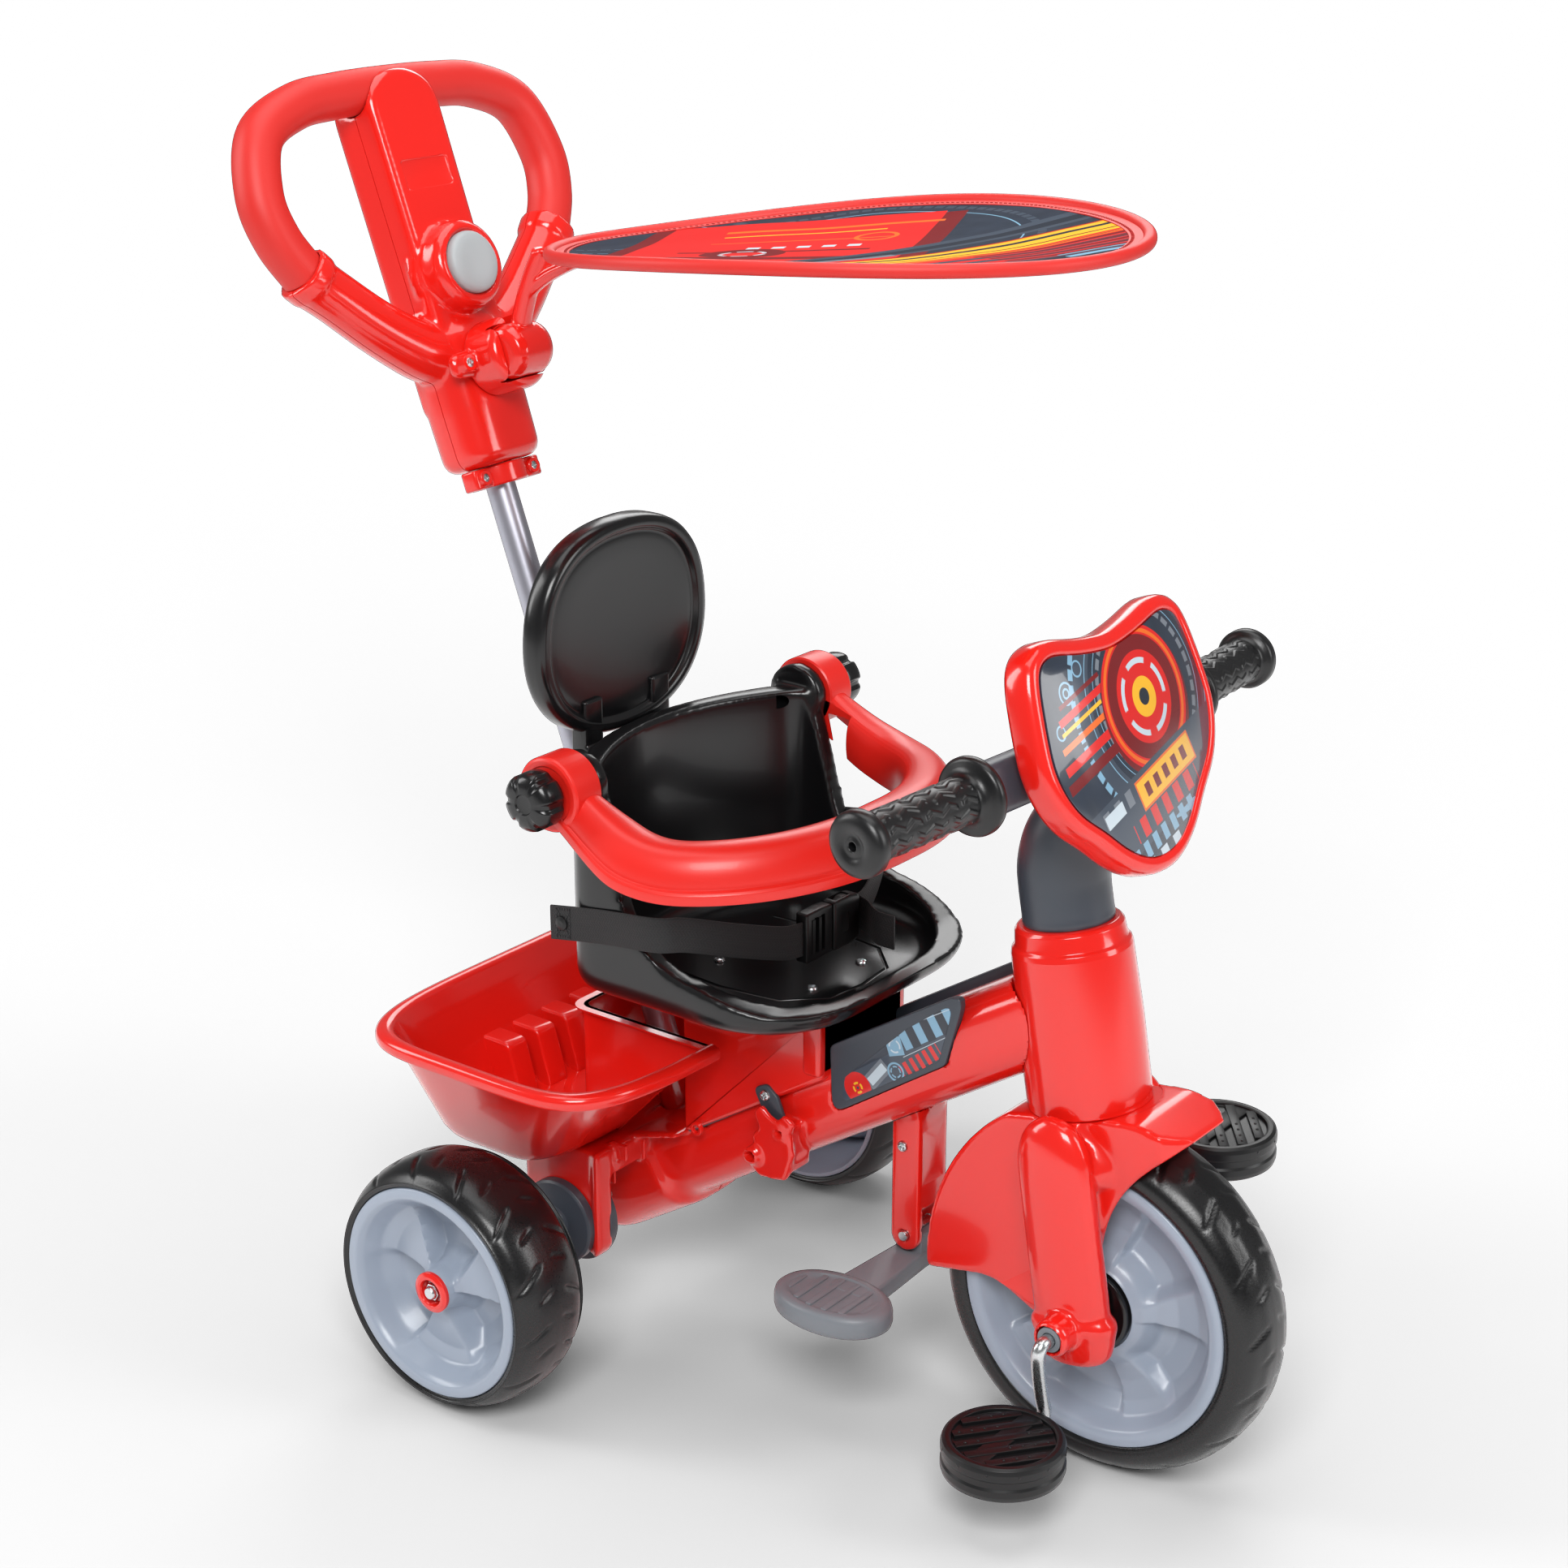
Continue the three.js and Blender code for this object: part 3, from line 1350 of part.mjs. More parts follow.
// The canopy's plan: a point of its edge, moved outward, seen from above.
function canopyEdge(angle, out = 0) {
  const at = (turn) => {
    const c = Math.cos(turn);
    const share = c > 0 ? canopyBroadest + (1 - canopyBroadest) * c : canopyBroadest * (1 + c);
    const grow = c > 0 ? Math.abs(Math.sin(turn)) : Math.sin((1 + c) * Math.PI / 2) ** 0.6;
    const width = (canopyHalfWidth - canopyRim) * grow;
    return new THREE.Vector2(
      canopyRim + share * (canopyLength - 2 * canopyRim),
      Math.sign(Math.sin(turn)) * width,
    );
  };
  const nudge = 0.03;
  const along = at(angle + nudge).sub(at(angle - nudge)).normalize();
  const point = at(angle);
  const rise = canopyDish * (point.y / canopyHalfWidth) ** 2;
  return [point.x + along.y * out, point.y - along.x * out, rise];
}

function pitched(geometry) {
  return geometry.rotateY(-canopyPitch).translate(canopyRear[0], 0, canopyRear[1]);
}

function canopyRimBody() {
  const geometry = new THREE.TorusGeometry(100, canopyRim, 6, 32);
  const position = geometry.attributes.position;
  for (let i = 0; i < position.count; i += 1) {
    const [x, y, z] = [position.getX(i), position.getY(i), position.getZ(i)];
    const [edgeX, edgeY, rise] = canopyEdge(Math.atan2(y, x) + 1e-4, Math.hypot(x, y) - 100);
    position.setXYZ(i, edgeX, edgeY, rise + z);
  }
  return pitched(geometry);
}

function canopySkinBody() {
  const skin = formed(32, 1, (t, angle, reach) => {
    const [x, y, rise] = canopyEdge(angle + 1e-4, -canopyRim - fit);
    const middle = canopyBroadest * canopyLength;
    return [middle + (x - middle) * reach, y * reach, rise * reach + (t - 0.5) * canopySkin];
  });
  return pitched(skin);
}
piece(canopy, 'canopy_rim', canopyRimBody(), redSoft);
piece(canopy, 'canopy_panel', canopySkinBody(), navyPrint);

function canopyArm() {
  const ball = rodY(ballRadius, -ballRadius, ballRadius, 16);
  const stem = formed(12, 2, (t, angle, reach) => {
    const [x, z] = [[2, 6], [10, 40], [26, 74]][Math.round(t * 2)];
    return [x + stemHalf * reach * Math.cos(angle), stemHalf * reach * Math.sin(angle), z];
  });
  const web = new THREE.Shape();
  const under = canopyRear[1] - canopyRim - fit - 3;
  web.moveTo(6, 26);
  web.quadraticCurveTo(18, under - 20, 96, under + 2);
  web.lineTo(24, under);
  web.lineTo(10, 44);
  const blade = acrossY(web, -4, 4);
  const flat = new THREE.Shape();
  flat.moveTo(-34, -7);
  flat.quadraticCurveTo(0, -8, 16, -20);
  flat.lineTo(64, -20);
  flat.quadraticCurveTo(82, -18, 82, 0);
  flat.quadraticCurveTo(82, 18, 64, 20);
  flat.lineTo(16, 20);
  flat.quadraticCurveTo(0, 8, -34, 7);
  const plate = pitched(slab(flat, 4).translate(0, 0, -canopyRim - fit - 2));
  const pad = pitched(box(40, 24, 4, 44, 0, -canopySkin / 2 - fit - 2));
  return joined(ball, stem, blade, plate, pad);
}
piece(canopy, 'canopy_arm', canopyArm(), redGloss);

// ---- Seat belt: two straps that meet in a side-release buckle ----
const strapWidth = 26;
const strapThickness = 1.6;
const buckleX = 168;
const buckleZ = seatHeight + 42;
const buckleHalf = 31;
const buckleWidth = 38;
const buckleThickness = 12;

// A strap standing on edge along a curve.
function ribbon(points, steps) {
  const path = new THREE.CatmullRomCurve3(points.map((p) => new THREE.Vector3(...p)), false, 'centripetal');
  const geometry = new THREE.BoxGeometry(1, strapThickness, strapWidth, steps, 1, 1);
  const position = geometry.attributes.position;
  for (let i = 0; i < position.count; i += 1) {
    const share = position.getX(i) + 0.5;
    const here = path.getPointAt(share);
    const way = path.getTangentAt(share).setZ(0).normalize();
    const off = position.getY(i);
    position.setXYZ(i, here.x - way.y * off, here.y + way.x * off, here.z + position.getZ(i));
  }
  return geometry;
}

const strapSide = seatHalfWidth + 2 * fit + strapThickness / 2;
const strapPath = [
  [22, strapSide, seatHeight + 52],
  [70, strapSide, seatHeight + 60],
  [118, strapSide + 0.6, seatHeight + 66],
  [134, strapSide - 15, seatHeight + 65],
  [152, 84, seatHeight + 54],
  [buckleX - 3, 50, buckleZ + 2],
  [buckleX, buckleHalf + 3, buckleZ],
  [buckleX, buckleHalf - 6, buckleZ],
];
const strapTail = [
  [buckleX - 2.5, buckleHalf + 6, buckleZ],
  [buckleX + 9, buckleHalf + 4, buckleZ - 2],
  [buckleX + 24, buckleHalf - 4, buckleZ - 4],
  [buckleX + 38, buckleHalf - 2, buckleZ - 6],
];
const rightStrap = strapPath.map(([x, y, z]) => [x, -y, z]);
piece(frame, 'belt_left', joined(ribbon(strapPath, 14), ribbon(strapTail, 5)), webbing);
piece(frame, 'belt_right', ribbon(rightStrap, 14), webbing);

function buckleHalfBody(side) {
  const low = [-buckleThickness / 2, fit / 2, -buckleWidth / 2];
  const body = block(low, [buckleThickness / 2, buckleHalf, buckleWidth / 2]);
  const slot = block(
    [-strapThickness, buckleHalf - 6 - fit, -strapWidth / 2 - 3],
    [strapThickness, buckleHalf + 1, strapWidth / 2 + 3],
  );
  return cut(body, slot).scale([1, side, 1]).translate([buckleX, 0, buckleZ]);
}
piece(frame, 'buckle_female', buckleHalfBody(1), blackGloss);
piece(frame, 'buckle_male', buckleHalfBody(-1), blackGloss);

trike.updateMatrixWorld(true);
const bounds = new THREE.Box3().setFromObject(trike, true);
trike.position.x = -(bounds.min.x + bounds.max.x) / 2;
trike.position.y = -(bounds.min.y + bounds.max.y) / 2;
trike.position.z = -bounds.min.z;

export default trike;
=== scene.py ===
# Child's push tricycle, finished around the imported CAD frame.
# Piece sizes below are millimetres from the floor under the rear axle; frames turn them into metres.
import math
from functools import partial

import bmesh
import bpy
import numpy as np
from mathutils import Matrix, Vector


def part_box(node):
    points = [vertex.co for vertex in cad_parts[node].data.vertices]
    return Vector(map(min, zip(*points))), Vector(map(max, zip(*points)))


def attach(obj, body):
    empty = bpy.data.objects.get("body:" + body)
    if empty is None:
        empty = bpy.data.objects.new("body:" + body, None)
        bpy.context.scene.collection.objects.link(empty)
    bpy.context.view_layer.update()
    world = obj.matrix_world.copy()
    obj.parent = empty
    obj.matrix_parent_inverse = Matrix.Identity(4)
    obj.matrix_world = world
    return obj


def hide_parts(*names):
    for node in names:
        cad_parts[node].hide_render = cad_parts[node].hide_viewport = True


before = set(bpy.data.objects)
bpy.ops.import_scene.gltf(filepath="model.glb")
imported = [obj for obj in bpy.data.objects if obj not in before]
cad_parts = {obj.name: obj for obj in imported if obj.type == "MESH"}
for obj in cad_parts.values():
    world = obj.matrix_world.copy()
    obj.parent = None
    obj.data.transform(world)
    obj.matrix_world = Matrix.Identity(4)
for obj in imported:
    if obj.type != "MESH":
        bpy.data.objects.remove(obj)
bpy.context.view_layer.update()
scene = bpy.context.scene
print("stage: frame loaded")

# frames of reference
mm = 0.001


def middleOf(node):
    low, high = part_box(node)
    return (low + high) / 2


def frameAt(origin, tilt=0.0):
    # X tips up by the tilt, about the Y axis
    turn = Matrix.Rotation(-tilt, 4, "Y")
    return Matrix.Translation(origin) @ turn @ Matrix.Scale(mm, 4)


def onSide(place, side):
    # side 1 keeps the place, side -1 mirrors it
    return place @ Matrix.Scale(side, 4, (0, 1, 0))


bothSides = ((1, "left"), (-1, "right"))
axleMiddle = middleOf("rear_axle")
tyreMiddle = middleOf("front_tyre")
floorPoint = Vector((axleMiddle.x, 0, 0))
angles = {"headRake": 9.8, "poleLean": 20.4, "panelLean": 10.2, "canopyPitch": 4.4, "gripSweep": 5.0}
sizes = {"gap": 0.3, "rearTyre": 95, "rearWidth": 71, "rearTrack": 216, "rearRim": 80.4, "frontTyre": 128,
    "frontWidth": 61.4, "frontRim": 103, "headLow": 142, "headTop": 272, "headRadius": 43, "beamWidth": 46,
    "beamHeight": 33, "beamMeet": 214, "beamRise": 5, "poleFoot": 36, "poleReach": 500, "poleRadius": 11,
    "seatFloor": 298, "seatHalf": 132}
level = frameAt(floorPoint)
headRake = math.radians(angles["headRake"])
wheelSpot = Vector((tyreMiddle.x, 0, tyreMiddle.z))
wheelPoint = level.inverted() @ wheelSpot
raked = frameAt(wheelSpot, headRake)
wheelFrame = frameAt(wheelSpot)
rearFrame = frameAt(Vector((axleMiddle.x, 0, axleMiddle.z)))


def rearHub(side):
    return onSide(rearFrame @ Matrix.Translation((0, side * sizes["rearTrack"], 0)), side)


# the beam runs from above the rear axle to the steering axis
def beamLine():
    start = Vector((0, 0, sizes["rearTyre"] + sizes["beamRise"]))
    end = wheelPoint + sizes["beamMeet"] * Vector((-math.sin(headRake), 0, math.cos(headRake)))
    run = end - start
    return start, run.length, math.atan2(run.z, run.x)


beamStart, beamLength, beamTilt = beamLine()
beamFrame = frameAt(level @ beamStart, beamTilt)


def beamAxisHeight(x):
    return beamStart.z + x * math.tan(beamTilt)


poleLean = math.radians(angles["poleLean"])
poleFootPoint = Vector((sizes["poleFoot"], 0, beamAxisHeight(sizes["poleFoot"])
        + sizes["beamHeight"] / math.cos(beamTilt) - 12))
poleUp = Vector((-math.sin(poleLean), 0, math.cos(poleLean)))
poleFrame = frameAt(level @ poleFootPoint, poleLean)
handleFrame = frameAt(level @ (poleFootPoint + sizes["poleReach"] * poleUp), poleLean)


# shape helpers
def linkMesh(name, points, faces, place=None):
    data = bpy.data.meshes.new(name)
    if place is not None:
        points = [place @ Vector(p) for p in points]
    data.from_pydata([tuple(p) for p in points], [], faces)
    piece = bpy.data.objects.new(name, data)
    scene.collection.objects.link(piece)
    return tidyMesh(piece)


def tidyMesh(piece):
    merge = 1e-6
    work = bmesh.new()
    work.from_mesh(piece.data)
    bmesh.ops.remove_doubles(work, verts=work.verts, dist=merge)
    bmesh.ops.dissolve_degenerate(work, dist=merge, edges=work.edges)
    bmesh.ops.recalc_face_normals(work, faces=work.faces)
    work.to_mesh(piece.data)
    work.free()
    return piece


# Rings of points joined into a skin; ends are "cap", "open" or "join".
def skin(rings, ends="cap"):
    count, around = len(rings), len(rings[0])
    points = [p for ring in rings for p in ring]
    faces = []
    for i in range(count if ends == "join" else count - 1):
        a, b = i * around, (i + 1) % count * around
        for j in range(around):
            k = (j + 1) % around
            faces.append((a + j, a + k, b + k, b + j))
    if ends == "cap":
        faces.append(tuple(range(around - 1, -1, -1)))
        faces.append(tuple((count - 1) * around + j for j in range(around)))
    return points, faces


# Corners of a path or loop replaced by short arcs.
def filleted(points, radius, steps=4, closed=True):
    points = [np.array(p, float) for p in points]
    count = len(points)
    out = []
    for i, corner in enumerate(points):
        if not closed and i in (0, count - 1):
            out.append(corner)
            continue
        before, after = points[i - 1], points[(i + 1) % count]
        a, b = before - corner, after - corner
        la, lb = np.linalg.norm(a), np.linalg.norm(b)
        if la < 1e-6 or lb < 1e-6:
            out.append(corner)
            continue
        a, b = a / la, b / lb
        opening = math.acos(max(-1.0, min(1.0, float(a @ b))))
        if opening > math.radians(170) or opening < math.radians(2):
            out.append(corner)
            continue
        cut = min(radius / math.tan(opening / 2), 0.45 * la, 0.45 * lb)
        start, end = corner + a * cut, corner + b * cut
        for s in range(steps + 1):
            t = s / steps
            out.append((1 - t) ** 2 * start + 2 * t * (1 - t) * corner + t * t * end)
    return out


# A closed profile of (radius, along) pairs spun about Y.
def spun(profile, steps=96, soft=0.8):
    loop = filleted(profile, soft) if soft else [np.array(p, float) for p in profile]
    rings = []
    for i in range(steps):
        turn = 2 * math.pi * i / steps
        rings.append([(r * math.cos(turn), y, r * math.sin(turn)) for r, y in loop])
    return skin(rings, "join")


def superellipse(halfA, halfB, power, count):
    ring = []
    for i in range(count):
        turn = 2 * math.pi * i / count
        c, s = math.cos(turn), math.sin(turn)
        ring.append((math.copysign(abs(c) ** (2 / power) * halfA, c),
                math.copysign(abs(s) ** (2 / power) * halfB, s)))
    return ring


# Points of a smooth curve through the given ones.
def curveThrough(points, count):
    pts = [np.array(p, float) for p in points]
    pts = [2 * pts[0] - pts[1], *pts, 2 * pts[-1] - pts[-2]]
    fine = []
    for i in range(1, len(pts) - 2):
        p0, p1, p2, p3 = pts[i - 1:i + 3]
        for s in range(24):
            t = s / 24
            fine.append(0.5 * (2 * p1 + (p2 - p0) * t + (2 * p0 - 5 * p1 + 4 * p2 - p3) * t ** 2
                    + (3 * p1 - p0 - 3 * p2 + p3) * t ** 3))
    fine.append(pts[-2])
    fine = np.array(fine)
    walked = np.concatenate([[0], np.cumsum(np.linalg.norm(np.diff(fine, axis=0), axis=1))])
    even = np.linspace(0, walked[-1], count)
    return np.stack([np.interp(even, walked, fine[:, k]) for k in range(fine.shape[1])], axis=1)


# A section carried along a path, kept upright against a reference direction.
def swept(path, section, up=(0, 0, 1)):
    path = np.array(path, float)
    tangents = np.gradient(path, axis=0)
    tangents /= np.linalg.norm(tangents, axis=1)[:, None]
    rings = []
    side = np.cross(np.array(up, float), tangents[0])
    for i, (here, way) in enumerate(zip(path, tangents)):
        side = side - way * (side @ way)
        side = side / np.linalg.norm(side)
        lift = np.cross(way, side)
        ring = section(i / (len(path) - 1)) if callable(section) else section
        rings.append([here + side * a + lift * b for a, b in ring])
    return skin(rings)


def circle(radius, count=32):
    return superellipse(radius, radius, 2, count)


# An outline in a plane given thickness, with rounded edges. "plane" names the outline's axes.
def plate(outline, low, high, edge=1.0, plane="xz", steps=4):
    loop = np.array([p[:2] for p in outline], float)
    area = 0.5 * np.sum(loop[:, 0] * np.roll(loop[:, 1], -1) - np.roll(loop[:, 0], -1) * loop[:, 1])
    if area < 0:
        loop = loop[::-1]
    ahead = np.roll(loop, -1, axis=0) - loop
    ahead /= np.maximum(np.linalg.norm(ahead, axis=1), 1e-9)[:, None]
    normal = np.stack([ahead[:, 1], -ahead[:, 0]], axis=1)
    mitre = normal + np.roll(normal, 1, axis=0)
    mitre /= np.maximum(np.linalg.norm(mitre, axis=1), 1e-9)[:, None]
    levels = [(low + edge * (1 - math.cos(math.pi / 2 * s / steps)),
            edge * (1 - math.sin(math.pi / 2 * s / steps))) for s in range(steps + 1)]
    levels += [(high + low - z, inset) for z, inset in reversed(levels)]
    rings = []
    for z, inset in levels:
        flat = loop - mitre * inset
        rings.append([spread(a, b, z, plane) for a, b in flat])
    return skin(rings)


def spread(a, b, c, plane):
    if plane == "xz":
        return (a, c, b)
    if plane == "yz":
        return (c, a, b)
    return (a, b, c)


def bezier(p0, p1, p2, p3=None, count=12):
    out = []
    for s in range(count):
        t = s / count
        u = 1 - t
        if p3 is None:
            out.append(tuple(u * u * a + 2 * u * t * b + t * t * c for a, b, c in zip(p0, p1, p2)))
        else:
            out.append(tuple(u ** 3 * a + 3 * u * u * t * b + 3 * u * t * t * c + t ** 3 * d
                    for a, b, c, d in zip(p0, p1, p2, p3)))
    return out


# A loop walked in equal steps, its corners eased.
def evened(loop, step=4.0, turns=16):
    corners = np.array(list(loop) + [loop[0]], float)
    run = np.concatenate([[0], np.cumsum(np.linalg.norm(np.diff(corners, axis=0), axis=1))])
    count = int(run[-1] / step)
    at = np.arange(count) * run[-1] / count
    even = np.stack([np.interp(at, run, corners[:, axis]) for axis in range(corners.shape[1])], 1)
    for _ in range(turns):
        even = 0.5 * even + 0.25 * (np.roll(even, 1, 0) + np.roll(even, -1, 0))
    return [tuple(p) for p in even]


def block(low, high):
    x0, y0, z0 = low
    x1, y1, z1 = high
    points = [(x, y, z) for x in (x0, x1) for y in (y0, y1) for z in (z0, z1)]
    return points, [(0, 1, 3, 2), (4, 6, 7, 5), (0, 4, 5, 1), (2, 3, 7, 6), (0, 2, 6, 4), (1, 5, 7, 3)]


# A rod between two points.
def rod(radius, start, end, count=40):
    start, end = np.array(start, float), np.array(end, float)
    way = (end - start) / np.linalg.norm(end - start)
    side = np.cross(way, (0.3, 0.9, 0.1) if abs(way[1]) < 0.9 else (1, 0, 0))
    side /= np.linalg.norm(side)
    lift = np.cross(way, side)
    rings = []
    for here in (start, end):
        rings.append([here + side * a + lift * b for a, b in circle(radius, count)])
    return skin(rings)


def moved(shape, offset):
    points, faces = shape
    return [tuple(np.array(p, float) + offset) for p in points], faces


def mirrored(shape):
    points, faces = shape
    return [(p[0], -p[1], p[2]) for p in points], [tuple(reversed(f)) for f in faces]


def aboutZ(shape):
    # a shape spun about Y stood up on Z
    points, faces = shape
    return [(x, -z, y) for x, y, z in points], faces


def oblong(left, right, low, high):
    return [(left, low), (right, low), (right, high), (left, high)]


def joinShapes(*shapes):
    points, faces = [], []
    for some, corners in shapes:
        base = len(points)
        points.extend(some)
        faces.extend(tuple(i + base for i in face) for face in corners)
    return points, faces


def settle(piece):
    # modifiers become plain mesh
    graph = bpy.context.evaluated_depsgraph_get()
    graph.update()
    made = bpy.data.meshes.new_from_object(piece.evaluated_get(graph))
    piece.modifiers.clear()
    old = piece.data
    piece.data = made
    bpy.data.meshes.remove(old)
    return piece


def carve(piece, shape, place=None, operation="DIFFERENCE"):
    tool = linkMesh("tool", *shape, place)
    change = piece.modifiers.new("cut", "BOOLEAN")
    change.operation, change.solver, change.object = operation, "EXACT", tool
    settle(piece)
    bpy.data.objects.remove(tool)


def cutWith(piece, tools, place):
    for shape in tools:
        carve(piece, shape, place)
    return piece


# A working piece turned back into bare points and faces.
def takeShape(piece):
    shape = ([tuple(v.co) for v in piece.data.vertices], [tuple(f.vertices) for f in piece.data.polygons])
    bpy.data.objects.remove(piece)
    return shape


# The part of a shape that lies inside all the others.
def meet(shape, *others):
    piece = linkMesh("part", *shape)
    for other in others:
        carve(piece, other, operation="INTERSECT")
    return takeShape(piece)


def fuse(piece, *others):
    work = bmesh.new()
    work.from_mesh(piece.data)
    for other in others:
        work.from_mesh(other.data)
        bpy.data.objects.remove(other)
    work.to_mesh(piece.data)
    work.free()
    return piece


# Overlapping shapes melted into one moulded body, with cuts taken out and edges softened.
def moulded(name, place, shapes, voxel=1.5, soften=6, cuts=(), crisp=()):
    piece = linkMesh(name, *joinShapes(*shapes), place)
    melt = piece.modifiers.new("melt", "REMESH")
    melt.mode, melt.voxel_size, melt.use_smooth_shade = "VOXEL", voxel * mm, True
    settle(piece)
    tools = [linkMesh(name + "_tool", *shape, place) for shape in (*cuts, *crisp)]
    for i, tool in enumerate(tools):
        cut = piece.modifiers.new("cut", "BOOLEAN")
        cut.operation, cut.solver, cut.object = "DIFFERENCE", "EXACT", tool
        if i == len(cuts) - 1 or i == len(tools) - 1:
            settle(piece)
        if i == len(cuts) - 1:
            again = piece.modifiers.new("melt", "REMESH")
            again.mode, again.voxel_size = "VOXEL", voxel * mm
            settle(piece)
            relax(piece, soften)
    if not cuts:
        relax(piece, soften)
    for tool in tools:
        bpy.data.objects.remove(tool)
    return piece


def relax(piece, turns):
    ease = piece.modifiers.new("ease", "SMOOTH")
    ease.factor, ease.iterations = 0.5, turns
    settle(piece)


def finish(piece, material, body, nodes=(), sharp=None):
    piece.data.materials.clear()
    piece.data.materials.append(material)
    for face in piece.data.polygons:
        face.use_smooth = True
    if sharp:
        piece.data.set_sharp_from_angle(angle=math.radians(sharp))
    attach(piece, body)
    if nodes:
        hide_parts(*nodes)
    return piece


def addPiece(name, shape, place, material, body, nodes=(), sharp=None):
    return finish(linkMesh(name, *shape, place), material, body, nodes, sharp)


# node helpers
def setInputs(node, values):
    for label, value in values.items():
        node.inputs[label].default_value = value


def newMaterial(name):
    material = bpy.data.materials.new(name)
    material.use_nodes = True
    nodes, links = material.node_tree.nodes, material.node_tree.links
    return material, nodes, links, nodes["Principled BSDF"]


# camera, floor and light
cameraView = {"position": (1325.2, -1560.9, 1144.2), "looking": (-0.57286, 0.74701, -0.33735), "lens": 67.15}


def makeCamera():
    data = bpy.data.cameras.new("camera")
    data.sensor_width, data.lens = 36, cameraView["lens"]
    data.clip_start, data.clip_end = 0.05, 50
    camera = bpy.data.objects.new("camera", data)
    scene.collection.objects.link(camera)
    camera.location = level @ Vector(cameraView["position"])
    camera.rotation_mode = "QUATERNION"
    camera.rotation_quaternion = Vector(cameraView["looking"]).to_track_quat("-Z", "Y")
    scene.camera = camera


lights = {
    "key": {"at": (1.5, -2.2, 2.6), "size": (1.6, 1.2), "power": 88},
    "side": {"at": (-2.4, -1.6, 1.7), "size": (0.9, 1.8), "power": 34},
    "front": {"at": (2.6, 0.9, 1.5), "size": (0.9, 1.6), "power": 26},
    "top": {"at": (0.0, 0.2, 3.0), "size": (2.4, 2.4), "power": 44},
    "back": {"at": (-1.4, 2.4, 2.0), "size": (1.6, 1.2), "power": 24},
}
worldLight = 0.22


def makeStage():
    world = bpy.data.worlds.new("studio")
    scene.world = world
    world.use_nodes = True
    nodes, links = world.node_tree.nodes, world.node_tree.links
    sky = nodes["Background"]
    setInputs(sky, {"Color": (1, 1, 1, 1)})
    # the backdrop is seen pure white, and lights the toy less
    rays = nodes.new("ShaderNodeLightPath")
    span = nodes.new("ShaderNodeMapRange")
    setInputs(span, {"To Min": worldLight, "To Max": 1.0})
    links.new(rays.outputs["Is Camera Ray"], span.inputs["Value"])
    links.new(span.outputs["Result"], sky.inputs["Strength"])
    aim = Vector((0, 0, 0.35))
    for name, one in lights.items():
        data = bpy.data.lights.new(name, "AREA")
        data.shape = "RECTANGLE"
        data.size, data.size_y = one["size"]
        data.energy = one["power"]
        lamp = bpy.data.objects.new(name, data)
        scene.collection.objects.link(lamp)
        lamp.location = one["at"]
        lamp.rotation_mode = "QUATERNION"
        lamp.rotation_quaternion = (aim - lamp.location).to_track_quat("-Z", "Y")
    reach = 12
    floor = linkMesh("floor", [(x, y, 0) for x, y in oblong(-reach, reach, -reach, reach)], [(0, 1, 2, 3)])
    paint, _, _, shader = newMaterial("paleFloor")
    setInputs(shader, {"Base Color": (0.93, 0.93, 0.93, 1), "Roughness": 0.85, "Specular IOR Level": 0.1})
    floor.data.materials.append(paint)
    floor.is_shadow_catcher = True
    scene.view_settings.view_transform = "Standard"
    scene.view_settings.look = "None"
    scene.view_settings.exposure = 0.0


makeCamera()
makeStage()
print("stage: camera and light")


# finishes
# Shared effects are node groups; each material places them with its own values.
def newGroup(name, inputs, outputs):
    group = bpy.data.node_groups.new(name, "ShaderNodeTree")
    for label, kind, value in inputs:
        socket = group.interface.new_socket(name=label, in_out="INPUT", socket_type=kind)
        socket.default_value = value
    for label, kind in outputs:
        group.interface.new_socket(name=label, in_out="OUTPUT", socket_type=kind)
    return group, group.nodes.new("NodeGroupInput"), group.nodes.new("NodeGroupOutput")


def mathNode(nodes, links, operation, a, b=None, c=None, clamp=False):
    node = nodes.new("ShaderNodeMath")
    node.operation, node.use_clamp = operation, clamp
    for socket, value in zip(node.inputs, (a, b, c)):
        if value is None:
            continue
        if isinstance(value, (int, float)):
            socket.default_value = value
        else:
            links.new(value, socket)
    return node.outputs[0]


